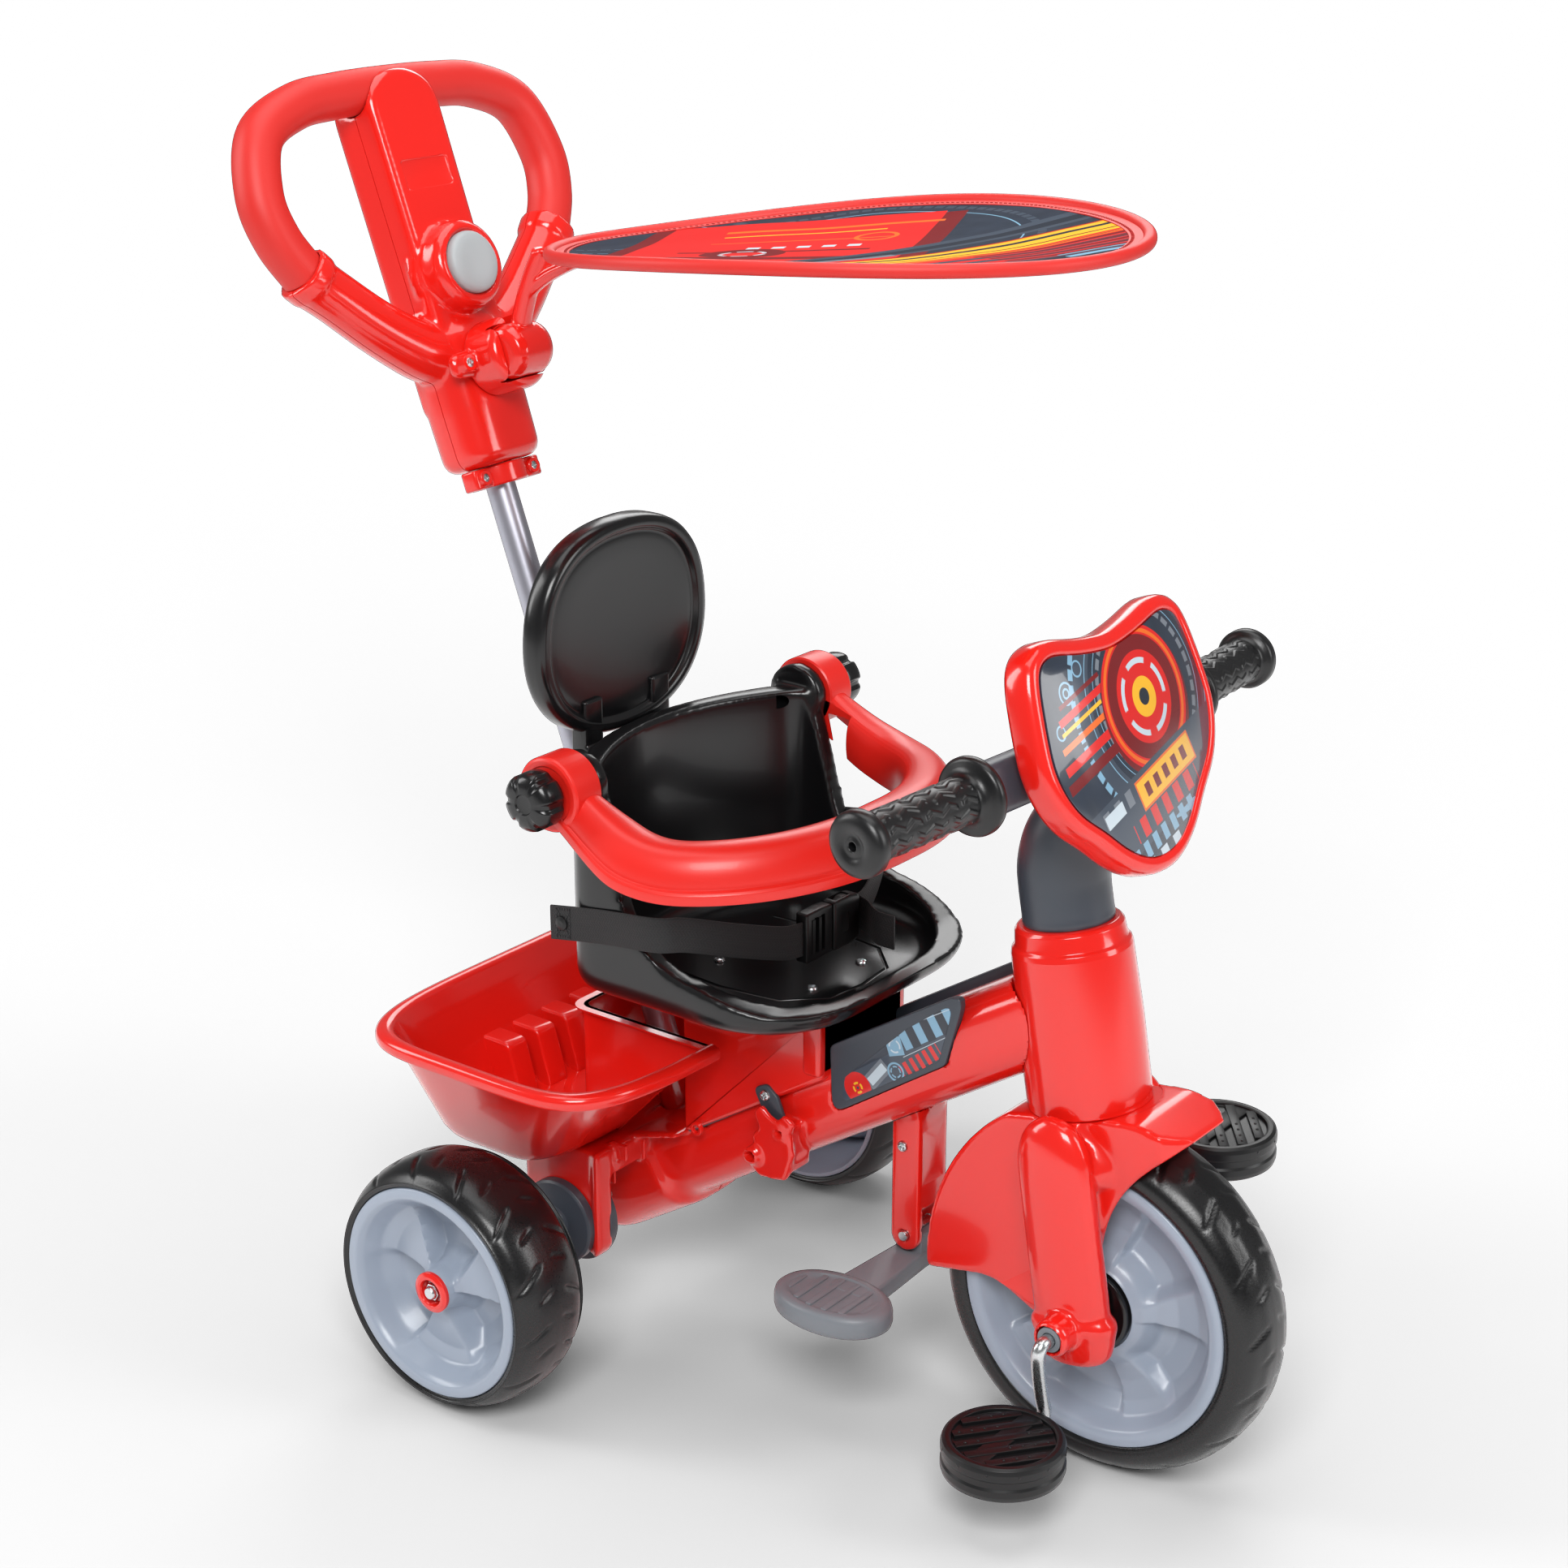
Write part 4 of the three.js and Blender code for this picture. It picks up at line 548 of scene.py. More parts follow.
# fine unevenness of a moulded surface: colour drift, roughness drift and height
def makeGrainGroup():
    group, start, end = newGroup("mouldedGrain", [("Colour", "NodeSocketColor", (1, 1, 1, 1)),
            ("Grain size", "NodeSocketFloat", 900.0), ("Drift", "NodeSocketFloat", 0.06),
            ("Roughness", "NodeSocketFloat", 0.3), ("Roughness drift", "NodeSocketFloat", 0.05)],
        [("Colour", "NodeSocketColor"), ("Roughness", "NodeSocketFloat"), ("Height", "NodeSocketFloat")])
    nodes, links = group.nodes, group.links
    calc = partial(mathNode, nodes, links)
    place = nodes.new("ShaderNodeTexCoord")
    broad, fine = nodes.new("ShaderNodeTexNoise"), nodes.new("ShaderNodeTexNoise")
    setInputs(broad, {"Scale": 14, "Detail": 3})
    setInputs(fine, {"Detail": 2})
    links.new(place.outputs["Object"], broad.inputs["Vector"])
    links.new(place.outputs["Object"], fine.inputs["Vector"])
    links.new(start.outputs["Grain size"], fine.inputs["Scale"])
    centred = calc("SUBTRACT", broad.outputs["Fac"], 0.5)
    shade = calc("MULTIPLY_ADD", centred, start.outputs["Drift"], 1.0)
    mixed = nodes.new("ShaderNodeVectorMath")
    mixed.operation = "SCALE"
    links.new(start.outputs["Colour"], mixed.inputs[0])
    links.new(shade, mixed.inputs["Scale"])
    both = calc("ADD", centred, calc("SUBTRACT", fine.outputs["Fac"], 0.5))
    rough = calc("MULTIPLY_ADD", both, start.outputs["Roughness drift"], start.outputs["Roughness"])
    for value, label in ((mixed.outputs[0], "Colour"), (rough, "Roughness"), (fine.outputs["Fac"], "Height")):
        links.new(value, end.inputs[label])
    return group


grainGroup = makeGrainGroup()


def addBump(nodes, links, shader, height, strength):
    lift = nodes.new("ShaderNodeBump")
    setInputs(lift, {"Strength": strength, "Distance": 0.0004})
    links.new(height, lift.inputs["Height"])
    links.new(lift.outputs["Normal"], shader.inputs["Normal"])


# two colours mixed; each is a fixed colour or another node's output
def mixColours(nodes, links, factor, first, second):
    mix = nodes.new("ShaderNodeMix")
    mix.data_type = "RGBA"
    links.new(factor, mix.inputs["Factor"])
    for label, value in (("A", first), ("B", second)):
        if isinstance(value, tuple):
            mix.inputs[label].default_value = (*value, 1)
        else:
            links.new(value, mix.inputs[label])
    return mix.outputs["Result"]


def plainFinish(name, colour, roughness, grain=900.0, bump=0.02, drift=0.06, roughDrift=0.05,
                metallic=0.0, coat=0.0, specular=0.5):
    material, nodes, links, shader = newMaterial(name)
    group = nodes.new("ShaderNodeGroup")
    group.node_tree = grainGroup
    setInputs(group, {"Colour": (*colour, 1), "Grain size": grain, "Drift": drift, "Roughness": roughness,
            "Roughness drift": roughDrift})
    links.new(group.outputs["Colour"], shader.inputs["Base Color"])
    links.new(group.outputs["Roughness"], shader.inputs["Roughness"])
    addBump(nodes, links, shader, group.outputs["Height"], bump)
    setInputs(shader, {"Metallic": metallic, "Specular IOR Level": specular})
    if coat:
        setInputs(shader, {"Coat Weight": coat, "Coat Roughness": 0.06})
    return material


redGloss = plainFinish("redGloss", (0.72, 0.012, 0.007), 0.17, bump=0.015, drift=0.04, coat=0.4)
redSmooth = plainFinish("redSmooth", (0.72, 0.015, 0.009), 0.36, bump=0.03, drift=0.04, coat=0.08)
redSatin = plainFinish("redSatin", (0.60, 0.014, 0.009), 0.5, grain=1600, bump=0.12, drift=0.05)
blackGloss = plainFinish("blackGloss", (0.005, 0.005, 0.0055), 0.24, bump=0.02, drift=0.1,
    coat=0.1, specular=0.45)
blackSatin = plainFinish("blackSatin", (0.006, 0.006, 0.0065), 0.36, grain=1500, bump=0.08,
    drift=0.12, specular=0.4)
tyreBlack = plainFinish("tyreBlack", (0.0035, 0.0035, 0.004), 0.3, grain=700, bump=0.16,
    drift=0.3, roughDrift=0.16)
gripRubber = plainFinish("gripRubber", (0.0045, 0.0045, 0.005), 0.33, grain=900, bump=0.1,
    drift=0.2, roughDrift=0.12)
charcoal = plainFinish("charcoal", (0.042, 0.050, 0.064), 0.36, grain=1200, bump=0.05)
rimGrey = plainFinish("rimGrey", (0.30, 0.345, 0.42), 0.3, bump=0.03, drift=0.05, coat=0.1)
midGrey = plainFinish("midGrey", (0.17, 0.185, 0.205), 0.42, bump=0.06)
buttonGrey = plainFinish("buttonGrey", (0.36, 0.385, 0.395), 0.5, grain=1500, bump=0.1)
zincBright = plainFinish("zincBright", (0.60, 0.62, 0.63), 0.26, metallic=1.0, bump=0.08,
    drift=0.12, roughDrift=0.14)
satinTube = plainFinish("satinTube", (0.44, 0.44, 0.50), 0.34, metallic=0.85, bump=0.03, drift=0.05)
print("stage: finishes")

# wheels
tread = {"depth": 2.0, "halfWidth": 1.5, "slant": 0.42, "around": 420}
rimShape = {"lip": 9.0, "wall": 3.2, "around": 240, "inset": 0.6}


def smoothStep(x, low, high):
    t = np.clip((x - low) / (high - low), 0, 1)
    return t * t * (3 - 2 * t)


# leaf-shaped grooves that slant from the middle of the tread to each shoulder
def grooveDepth(angle, across, radius, width, count):
    pitch = 2 * math.pi / count
    side = np.where(across >= 0, 0.0, 0.5)
    v = np.abs(across)
    total = np.zeros_like(angle)
    for shift, inner, outer, deep, lean in ((0.0, 0.16, 0.93, 1.0, 1.0), (0.5, 0.02, 0.56, 0.7, 0.8)):
        centre = (side + shift) * pitch - tread["slant"] * lean * (v + 0.5 * v * v) * width / radius
        off = (angle - centre + pitch / 2) % pitch - pitch / 2
        distance = off * radius * math.cos(math.atan(tread["slant"]))
        taper = smoothStep(v, inner, inner + 0.2) * (1 - smoothStep(v, outer - 0.22, outer))
        falloff = (distance / (tread["halfWidth"] * (0.5 + 0.7 * taper))) ** 2
        total = np.maximum(total, deep * taper * np.exp(-falloff))
    return total * tread["depth"]


def makeTyre(name, node, radius, width, rim, grooves, place, body):
    half = width / 2
    shoulder = curveThrough([(rim + 1.2, half - 1.5), (rim + 5, half - 0.2), (radius - 12.5, half - 1.8),
            (radius - 5.8, half - 8), (radius - 2.2, half - 16), (radius - 0.5, half * 0.3), (radius, 0)], 26)
    outer = [tuple(p) for p in shoulder] + [(r, -y) for r, y in reversed([tuple(p) for p in shoulder][:-1])]
    inner = [(rim + 0.4, -half + 2), (rim + 0.4, half - 2)]
    count = tread["around"]
    turn = np.linspace(0, 2 * math.pi, count, endpoint=False)
    rings = []
    for r, y in outer + inner:
        depth = np.zeros(count)
        if r > radius - 12:
            depth = grooveDepth(turn, np.full(count, y / half), radius, half, grooves)
        reach = r - depth
        rings.append(list(zip(reach * np.cos(turn), np.full(count, y), reach * np.sin(turn))))
    return addPiece(name, skin(rings, "join"), place, tyreBlack, body, [node])


def heightAt(y, turn):
    return y(turn) if callable(y) else np.full_like(turn, y)


# Rows of a rim's section, each a radius with heights that change round the wheel.
def rimRows(rows, place, name):
    count = rimShape["around"]
    turn = np.linspace(0, 2 * math.pi, count, endpoint=False)
    rings = []
    for r, y in rows:
        height = heightAt(y, turn)
        rings.append(list(zip(r * np.cos(turn), height, r * np.sin(turn))))
    return linkMesh(name, *skin(rings, "join"), place)


# Raised wedges between bowl-shaped recesses.
def faceHeight(r, turn, form):
    low = np.interp(r, form["bowlAt"], form["bowl"])
    high = np.interp(r, form["wedgeAt"], form["wedge"])
    pitch = 2 * math.pi / form["wedges"]
    off = (turn - form["phase"] + pitch / 2) % pitch - pitch / 2
    spread = form["halfAngle"] * (0.82 + 0.18 * r / form["rim"])
    crisp = smoothStep((off + spread) * r, -1.5, 2.0)
    easy = 1 - smoothStep((off - spread) * r, -9.0, 2.0)
    return low + max(high - low, 0) * crisp * easy


rearForm = {
    "wedges": 3, "halfAngle": math.radians(31), "phase": math.radians(-92), "rim": 80.4,
    "bowlAt": [15, 19, 26, 40, 54, 64, 70.5], "bowl": [24, 10, 1, -2, 4, 17, 33.5],
    "wedgeAt": [15, 19, 30, 52, 62, 70.5], "wedge": [24, 21.5, 18.5, 14.5, 17.5, 33.5],
}
frontForm = {
    "wedges": 5, "halfAngle": math.radians(17), "phase": math.radians(12), "rim": 103,
    "bowlAt": [31, 38, 46, 56, 72, 84, 92.5], "bowl": [27, 22, 8, 3.2, 5, 14, 29],
    "wedgeAt": [31, 38, 46, 60, 76, 85, 92.5], "wedge": [27, 24, 18, 13.5, 13, 17, 29],
}


def makeRearRim(side, word):
    rim, half = sizes["rearRim"], sizes["rearWidth"] / 2 - rimShape["inset"]
    lip, wall, hub = rim - rimShape["lip"], rimShape["wall"], 15.0
    place = rearHub(side)
    top = half - 6
    rows = [(11.4, -28), (11.4, top), (hub - 0.6, top), (hub, top - 0.8)]
    radii = np.concatenate([np.linspace(hub + 0.6, 26, 9), np.linspace(28, lip, 34)])
    for r in radii:
        rows.append((r, lambda turn, r=r: faceHeight(r, turn, rearForm)))
    rows += [(lip + 0.8, half - 0.3), (lip + 2.2, half), (rim - 1.2, half), (rim - 0.3, half - 0.5),
        (rim, half - 1.4)]
    rows += [(rim, -half + 1), (rim - 1, -half), (rim - 3.4, -half), (rim - 4, -half + 1)]
    rows.append((lip - 0.5, half - wall))
    for r in reversed(np.linspace(hub + 3, lip - 2.5, 26)[:-1]):
        rows.append((r, lambda turn, r=r: faceHeight(r, turn, rearForm) - wall))
    rows += [(hub + 2, -27), (hub + 1, -28)]
    piece = rimRows(rows, place, f"rear_rim_{word}_shell")
    finish(piece, rimGrey, f"rear_wheel_{word}", [f"rear_rim_{word}"], sharp=50)


def makeFrontRim():
    rim, half = sizes["frontRim"], sizes["frontWidth"] / 2 - rimShape["inset"]
    lip, hub = rim - rimShape["lip"], 30.9
    rows = [(5.3, half - 6), (hub - 0.5, half - 6), (hub, half - 5.5), (hub, half - 3.6),
        (hub + 0.7, half - 3)]
    radii = np.concatenate([np.linspace(hub + 1.2, 46, 10), np.linspace(48, lip - 1, 34)])
    for r in radii:
        rows.append((r, lambda turn, r=r: faceHeight(r, turn, frontForm)))
    rows += [(lip, half - 0.9), (lip + 1.2, half), (rim - 1.2, half), (rim - 0.3, half - 0.5),
        (rim, half - 1.4)]
    back = [(r, lambda turn, y=y: -heightAt(y, turn)) for r, y in reversed(rows)]
    piece = rimRows(rows + back, wheelFrame, "front_rim_shell")
    finish(piece, rimGrey, "front_wheel", ["front_rim"], sharp=50)


def makeHubParts(side, word):
    place = rearHub(side)
    face = sizes["rearWidth"] / 2 - rimShape["inset"] - 6 + sizes["gap"]
    bush = [(5.3, -29.9), (11, -29.9), (11, face), (15.4, face), (15.4, face + 3), (12.4, face + 4.2),
        (10.2, face + 4.2), (9.4, face + 2.5), (9.2, face - 4), (5.3, face - 4)]
    addPiece(f"hub_bush_{word}_turned", spun(bush, 72, 0.6), place, redGloss, f"rear_wheel_{word}",
        [f"hub_bush_{word}"], sharp=40)
    low = face - 4 + sizes["gap"]
    washer = spun(oblong(5.3, 8.4, low, low + 1.2), 48, 0.3)
    hexagon = [(6.6 * math.cos(math.radians(60 * i)), 6.6 * math.sin(math.radians(60 * i))) for i in range(6)]
    hexBody = plate(hexagon, low + 1.2, low + 6.2, 0.6)
    hexBody = cutWith(linkMesh(f"axle_nut_{word}_hex", *joinShapes(washer, hexBody), place),
        (rod(5.25, (0, low - 2, 0), (0, low + 9, 0)),), place)
    finish(hexBody, zincBright, "frame_body", [f"axle_nut_{word}"], sharp=30)


def makeWheels():
    for side, word in bothSides:
        hub = rearHub(side)
        makeTyre(f"rear_tyre_{word}_tread", f"rear_tyre_{word}", sizes["rearTyre"], sizes["rearWidth"],
            sizes["rearRim"], 13, hub, f"rear_wheel_{word}")
        makeRearRim(side, word)
        makeHubParts(side, word)
    makeTyre("front_tyre_tread", "front_tyre", sizes["frontTyre"], sizes["frontWidth"], sizes["frontRim"], 17,
        wheelFrame, "front_wheel")
    makeFrontRim()
    disc = [(5.4, 24.5), (29.8, 24.5), (29.8, 31), (27.5, 32), (24, 31.4), (16, 31.2), (12, 32.2),
        (8, 32.2), (5.4, 31.4)]
    for side, word in bothSides:
        place = onSide(wheelFrame, side)
        addPiece(f"hub_disc_{word}_turned", spun(disc, 96, 0.6), place, blackGloss, "front_wheel",
            [f"hub_disc_{word}"], sharp=40)
    # the plain axle with rounded ends
    axle = spun([(0, -250.5), (4, -250.5), (5, -249), (5, 249), (4, 250.5), (0, 250.5)], 40, 0)
    addPiece("rear_axle_bar", axle, rearFrame, zincBright, "frame_body", ["rear_axle"], sharp=40)
    spool = [(5.3, 86.7), (37.6, 86.7), (38, 87.5), (38, 94), (37.4, 94.7), (20, 94.7), (20, 105.3),
        (32.5, 105.3), (33, 106), (33, 112.5), (31, 114), (14, 115.6), (12, 117), (12, 185.4), (5.3, 185.4)]
    for side, word in bothSides:
        place = onSide(rearFrame, side)
        addPiece(f"axle_bush_{word}_turned", spun(spool, 96, 0.7), place, charcoal, "frame_body",
            [f"axle_bush_{word}"], sharp=40)


makeWheels()
print("stage: wheels")


# printed sheets: ink shapes in the sheet's own plane, in millimetres
inkEdge = 6.0


def makeInkGroup(name, ring):
    group, enter, leave = newGroup(name, [("Vector", "NodeSocketVector", (0, 0, 0)),
            ("Middle", "NodeSocketVector", (0, 0, 0)), ("Size", "NodeSocketVector", (0, 0, 0)),
            ("Turn", "NodeSocketFloat", 0.0)], [("Mask", "NodeSocketFloat")])
    nodes, links = group.nodes, group.links
    calc = partial(mathNode, nodes, links)
    shift = nodes.new("ShaderNodeVectorMath")
    shift.operation = "SUBTRACT"
    links.new(enter.outputs["Vector"], shift.inputs[0])
    links.new(enter.outputs["Middle"], shift.inputs[1])
    turn = nodes.new("ShaderNodeVectorRotate")
    turn.rotation_type = "Z_AXIS"
    links.new(shift.outputs[0], turn.inputs["Vector"])
    links.new(enter.outputs["Turn"], turn.inputs["Angle"])
    at, size = nodes.new("ShaderNodeSeparateXYZ"), nodes.new("ShaderNodeSeparateXYZ")
    links.new(turn.outputs[0], at.inputs[0])
    links.new(enter.outputs["Size"], size.inputs[0])
    if ring:
        # size: middle radius, half width, gaps round the ring
        flat = nodes.new("ShaderNodeCombineXYZ")
        links.new(at.outputs[0], flat.inputs[0])
        links.new(at.outputs[1], flat.inputs[1])
        far = nodes.new("ShaderNodeVectorMath")
        far.operation = "LENGTH"
        links.new(flat.outputs[0], far.inputs[0])
        off = calc("ABSOLUTE", calc("SUBTRACT", far.outputs["Value"], size.outputs[0]))
        edge = calc("SUBTRACT", size.outputs[1], off)
        run, closed = calc("ARCTAN2", at.outputs[1], at.outputs[0]), 0.72
    else:
        # size: half length, half width, repeats along the length
        left = calc("SUBTRACT", size.outputs[0], calc("ABSOLUTE", at.outputs[0]))
        over = calc("SUBTRACT", size.outputs[1], calc("ABSOLUTE", at.outputs[1]))
        edge = calc("MINIMUM", left, over)
        run, closed = at.outputs[0], 0.15
    wave = calc("COSINE", calc("MULTIPLY", run, size.outputs[2]))
    gap = calc("MULTIPLY", calc("ADD", wave, closed), inkEdge, clamp=True)
    mask = calc("MULTIPLY", calc("MULTIPLY", edge, inkEdge, clamp=True), gap)
    links.new(mask, leave.inputs["Mask"])
    return group


inkBar = makeInkGroup("inkBar", False)
inkRing = makeInkGroup("inkRing", True)
inks = {
    "navy": (0.014, 0.020, 0.032), "slate": (0.045, 0.060, 0.085), "red": (0.62, 0.012, 0.010),
    "dark": (0.16, 0.006, 0.008), "yellow": (0.80, 0.42, 0.02), "orange": (0.72, 0.13, 0.012),
    "sky": (0.19, 0.36, 0.50), "pale": (0.50, 0.58, 0.64), "grey": (0.16, 0.18, 0.21),
}


# shapes: (kind, colour, middle, size, turn in degrees); later ones lie on top
def printFinish(name, base, shapes, roughness=0.32, coat=0.3, specular=0.5):
    material, nodes, links, shader = newMaterial(name)
    where = nodes.new("ShaderNodeUVMap")
    where.uv_map = "print"
    ground = nodes.new("ShaderNodeTexNoise")
    setInputs(ground, {"Scale": 0.05})
    links.new(where.outputs["UV"], ground.inputs["Vector"])
    lighter = tuple(c * 1.9 for c in inks[base])
    colour = mixColours(nodes, links, ground.outputs["Fac"], inks[base], lighter)
    for kind, ink, middle, size, turn in shapes:
        shape = nodes.new("ShaderNodeGroup")
        shape.node_tree = inkRing if kind == "ring" else inkBar
        links.new(where.outputs["UV"], shape.inputs["Vector"])
        setInputs(shape, {"Middle": (*middle, 0), "Size": size, "Turn": math.radians(-turn)})
        colour = mixColours(nodes, links, shape.outputs["Mask"], colour, inks[ink])
    links.new(colour, shader.inputs["Base Color"])
    setInputs(shader, {"Roughness": roughness, "Specular IOR Level": specular, "Coat Weight": coat})
    return material


# the print's map: each corner's place in the sheet's plane, in millimetres
def mapPrint(piece, place, along, up):
    back = place.inverted()
    layer = piece.data.uv_layers.new(name="print")
    axes = "xyz"
    spots = [back @ v.co for v in piece.data.vertices]
    for loop in piece.data.loops:
        spot = spots[loop.vertex_index]
        layer.data[loop.index].uv = (spot[axes.index(along)], spot[axes.index(up)])


# frame
frameSizes = {"floor": 134, "top": 157, "rear": -38, "front": 36, "span": 105, "skin": 10, "foot": 71,
    "core": 20.3, "barrelEnd": 58, "lugX": 163, "lugReach": 14, "socket": 17, "voxel": 2.0}


def tipped(shape, origin, tilt):
    points, faces = shape
    c, s = math.cos(tilt), math.sin(tilt)
    return [(origin.x + x * c - z * s, y, origin.z + x * s + z * c) for x, y, z in points], faces


def inBeam(shape):
    return tipped(shape, beamStart, beamTilt)


def beamLoft(grow=0.0):
    w, h = sizes["beamWidth"], sizes["beamHeight"]
    end = frameSizes["barrelEnd"]
    stations = [(-34, w + 2, h + 1), (-26, w + 7.5, h + 5.5), (-16, w + 9, h + 7), (end - 9, w + 9, h + 7),
        (end - 5, w + 8.4, h + 6.4), (end - 2, w + 5, h + 3.4), (end + 3, w + 2.4, h + 1.4),
        (end + 9, w + 1, h + 0.6), (200, w - 2, h), (beamLength, w - 6, h - 1)]
    rings = []
    for x in np.concatenate([np.linspace(stations[0][0], 80, 40), np.linspace(90, beamLength, 20)]):
        half = np.interp(x, [s[0] for s in stations], [s[1] for s in stations]) + grow
        tall = np.interp(x, [s[0] for s in stations], [s[2] for s in stations]) + grow
        rings.append([(x, a, b) for a, b in superellipse(half, tall, 3.0, 72)])
    return inBeam(skin(rings))


insertCorners = [(236, -9), (352, -5), (398, 37), (262, 37)]


def insertLoop(grow=0.0):
    middle = np.mean(insertCorners, axis=0)
    return filleted([(x + math.copysign(grow, x - middle[0]), z + math.copysign(grow, z - middle[1]))
            for x, z in insertCorners], 8, 5)


def lugShapes():
    x, z = frameSizes["lugX"], beamAxisHeight(frameSizes["lugX"]) - 16
    outer = sizes["beamWidth"] + frameSizes["lugReach"]
    hook = [(-24, -20), (-12, -29), (12, -26), (19, -4), (16, 12), (20, 22), (10, 28), (4, 20), (-4, 24),
        (-10, 30), (-18, 22), (-12, 10), (-19, 4), (-17, -6)]
    plateShape = moved(plate(filleted(hook, 3, 3), outer - 4.5, outer, 0.8), (x, 0, z))
    tube = rod(7, (x - 17, sizes["beamWidth"] - 10, z - 12), (x - 17, outer + 5, z - 12))
    second = rod(4.6, (x + 7, sizes["beamWidth"] - 10, z + 12), (x + 7, outer + 1.6, z + 12))
    ribs = [block((x - 22, sizes["beamWidth"] - 12, z - 14), (x + 16, outer - 2, z - 10)),
        block((x - 14, sizes["beamWidth"] - 12, z + 14), (x + 16, outer - 2, z + 17)),
        block((x + 12, sizes["beamWidth"] - 12, z - 20), (x + 15, outer - 2, z + 18))]
    return [plateShape, tube, second, *ribs]


def frameShapes():
    f = frameSizes
    floor, top, span = f["floor"], f["top"], f["span"]
    house = plate(filleted(oblong(f["rear"], f["front"], floor, top), 4), -5, span, 2)
    cheek = [(f["rear"], top), (f["front"], top), (f["front"], f["foot"] + 10),
        (f["front"] - 5, f["foot"] - 2), (f["core"] + 1, f["foot"] + 4), (f["core"], sizes["rearTyre"]),
        (0, sizes["rearTyre"] + f["core"]), (-f["core"], sizes["rearTyre"]), (-f["core"] - 1, f["foot"] + 2),
        (-f["core"] - 8, f["foot"]), (f["rear"], f["foot"] + 14)]
    side = plate(filleted(cheek, 5, 4), span - f["skin"], span, 1.2)
    fin = plate(filleted([(f["front"] - 5, f["foot"] - 2), (f["front"] + 1, f["foot"] + 8),
                (f["front"] + 1, top + 1), (f["front"] - 5, top + 1)], 2), span - 14, span + 3, 1.0)
    rib = block((f["rear"] + 8, span - 30, floor - 14), (f["front"] - 8, span - 26, floor + 3))
    brace = [(40, top - 2), (74, top + 8), (74, top + 12), (30, top + 1), (30, top - 12)]
    gusset = plate(filleted(brace, 3), 30, 62, 1.5)
    tabs = [block((46, 66, top - 14), (50, 70, top + 4)), block((30, 82, top - 10), (46, 86, top + 3))]
    return [beamLoft(), house, side, fin, rib, gusset, *tabs, *lugShapes()]


def frameCuts():
    f = frameSizes
    x, z = f["lugX"], beamAxisHeight(f["lugX"]) - 16
    reach = sizes["beamWidth"]
    head = tipped(rod(sizes["headRadius"] + 0.3, (0, 0, 60), (0, 0, 330), 96), wheelPoint, headRake)
    insert = inBeam(plate(insertLoop(0.5), reach - 9.3, reach + 20, 0.3))
    socket = tipped(rod(f["socket"] + 0.3, (0, 0, -46.3), (0, 0, 200), 48), poleFootPoint, poleLean)
    bores = [rod(3.4, (x - 17, reach + 2, z - 12), (x - 17, reach + 30, z - 12), 24),
        rod(2.2, (x + 7, reach + 2, z + 12), (x + 7, reach + 30, z + 12), 24),
        rod(5.3, (0, 80, sizes["rearTyre"]), (0, 120, sizes["rearTyre"]), 32),
        rod(3.0, (89, reach - 4, 176), (89, reach + 30, 176), 24)]
    mouth = [block((-f["core"], 94, 40), (f["core"], 108, sizes["rearTyre"])),
        rod(f["core"], (0, 94, sizes["rearTyre"]), (0, 108, sizes["rearTyre"]), 60)]
    away = block((-400, -300, -400), (900, 0.15, 900))
    return [head, insert, socket, *bores, *mouth, away]


def mirrorPiece(piece, name):
    other = bpy.data.objects.new(name, piece.data.copy())
    scene.collection.objects.link(other)
    other.data.transform(Matrix.Scale(-1, 4, (0, 1, 0)))
    other.data.flip_normals()
    return tidyMesh(other)


def makeFrame():
    left = moulded("frame_left_shell", level, frameShapes(), frameSizes["voxel"], 6, crisp=frameCuts())
    boss = linkMesh("boss", *spun([(3.1, 0), (5.6, 0), (5.2, 3.2), (3.1, 3.2)], 40, 0.5),
        level @ Matrix.Translation((89, 53.2, 176)))
    left = fuse(left, boss)
    right = mirrorPiece(left, "frame_right_shell")
    finish(left, redGloss, "frame_body", ["frame_left"], sharp=38)
    finish(right, redGloss, "frame_body", ["frame_right"], sharp=38)


insertPrint = printFinish("insertPrint", "navy", [("bar", "slate", (318, 8), (90, 9, 0), 4),
        ("bar", "sky", (352, 23), (26, 8, 0.0), 2), ("bar", "navy", (352, 23), (26, 9, 0.42), 2),
        ("bar", "sky", (318, 20), (7, 7, 0), -12), ("ring", "pale", (318, 20), (4.5, 0.7, 3), 0),
        ("bar", "grey", (292, 6), (12, 6, 0), 20), ("bar", "pale", (292, 6), (10, 3.4, 0), 20),
        ("bar", "red", (334, 4), (20, 5.5, 0.9), 8), ("ring", "sky", (309, 3), (6.5, 0.8, 0), 0),
        ("ring", "sky", (309, 3), (4.0, 0.6, 5), 0), ("ring", "red", (270, 2), (6.5, 5.5, 0), 0),
        ("ring", "yellow", (270, 2), (3.6, 0.9, 4), 0), ("bar", "pale", (300, -6.5), (58, 0.35, 0), 1.5),
        ("bar", "pale", (366, 30), (22, 0.3, 0), 0), ("bar", "pale", (345, 12), (24, 0.3, 0), 3)], 0.3)


def makeInserts():
    for side, word in bothSides:
        place = onSide(beamFrame, side)
        reach = sizes["beamWidth"]
        body = plate(insertLoop(), reach - 9, reach - 2.6, 1.0)
        addPiece(f"side_insert_{word}_panel", body, place, charcoal, "frame_body",
            [f"side_insert_{word}"], sharp=40)
        label = [(249, -4), (349, -1), (384, 33), (334, 28), (262, 12)]
        sheet = linkMesh(f"side_label_{word}", *plate(filleted(label, 5, 5), reach - 2.8, reach - 2.3, 0.2),
            place)
        mapPrint(sheet, beamFrame, "x", "z")
        finish(sheet, insertPrint, "frame_body")


makeFrame()
makeInserts()
print("stage: frame")


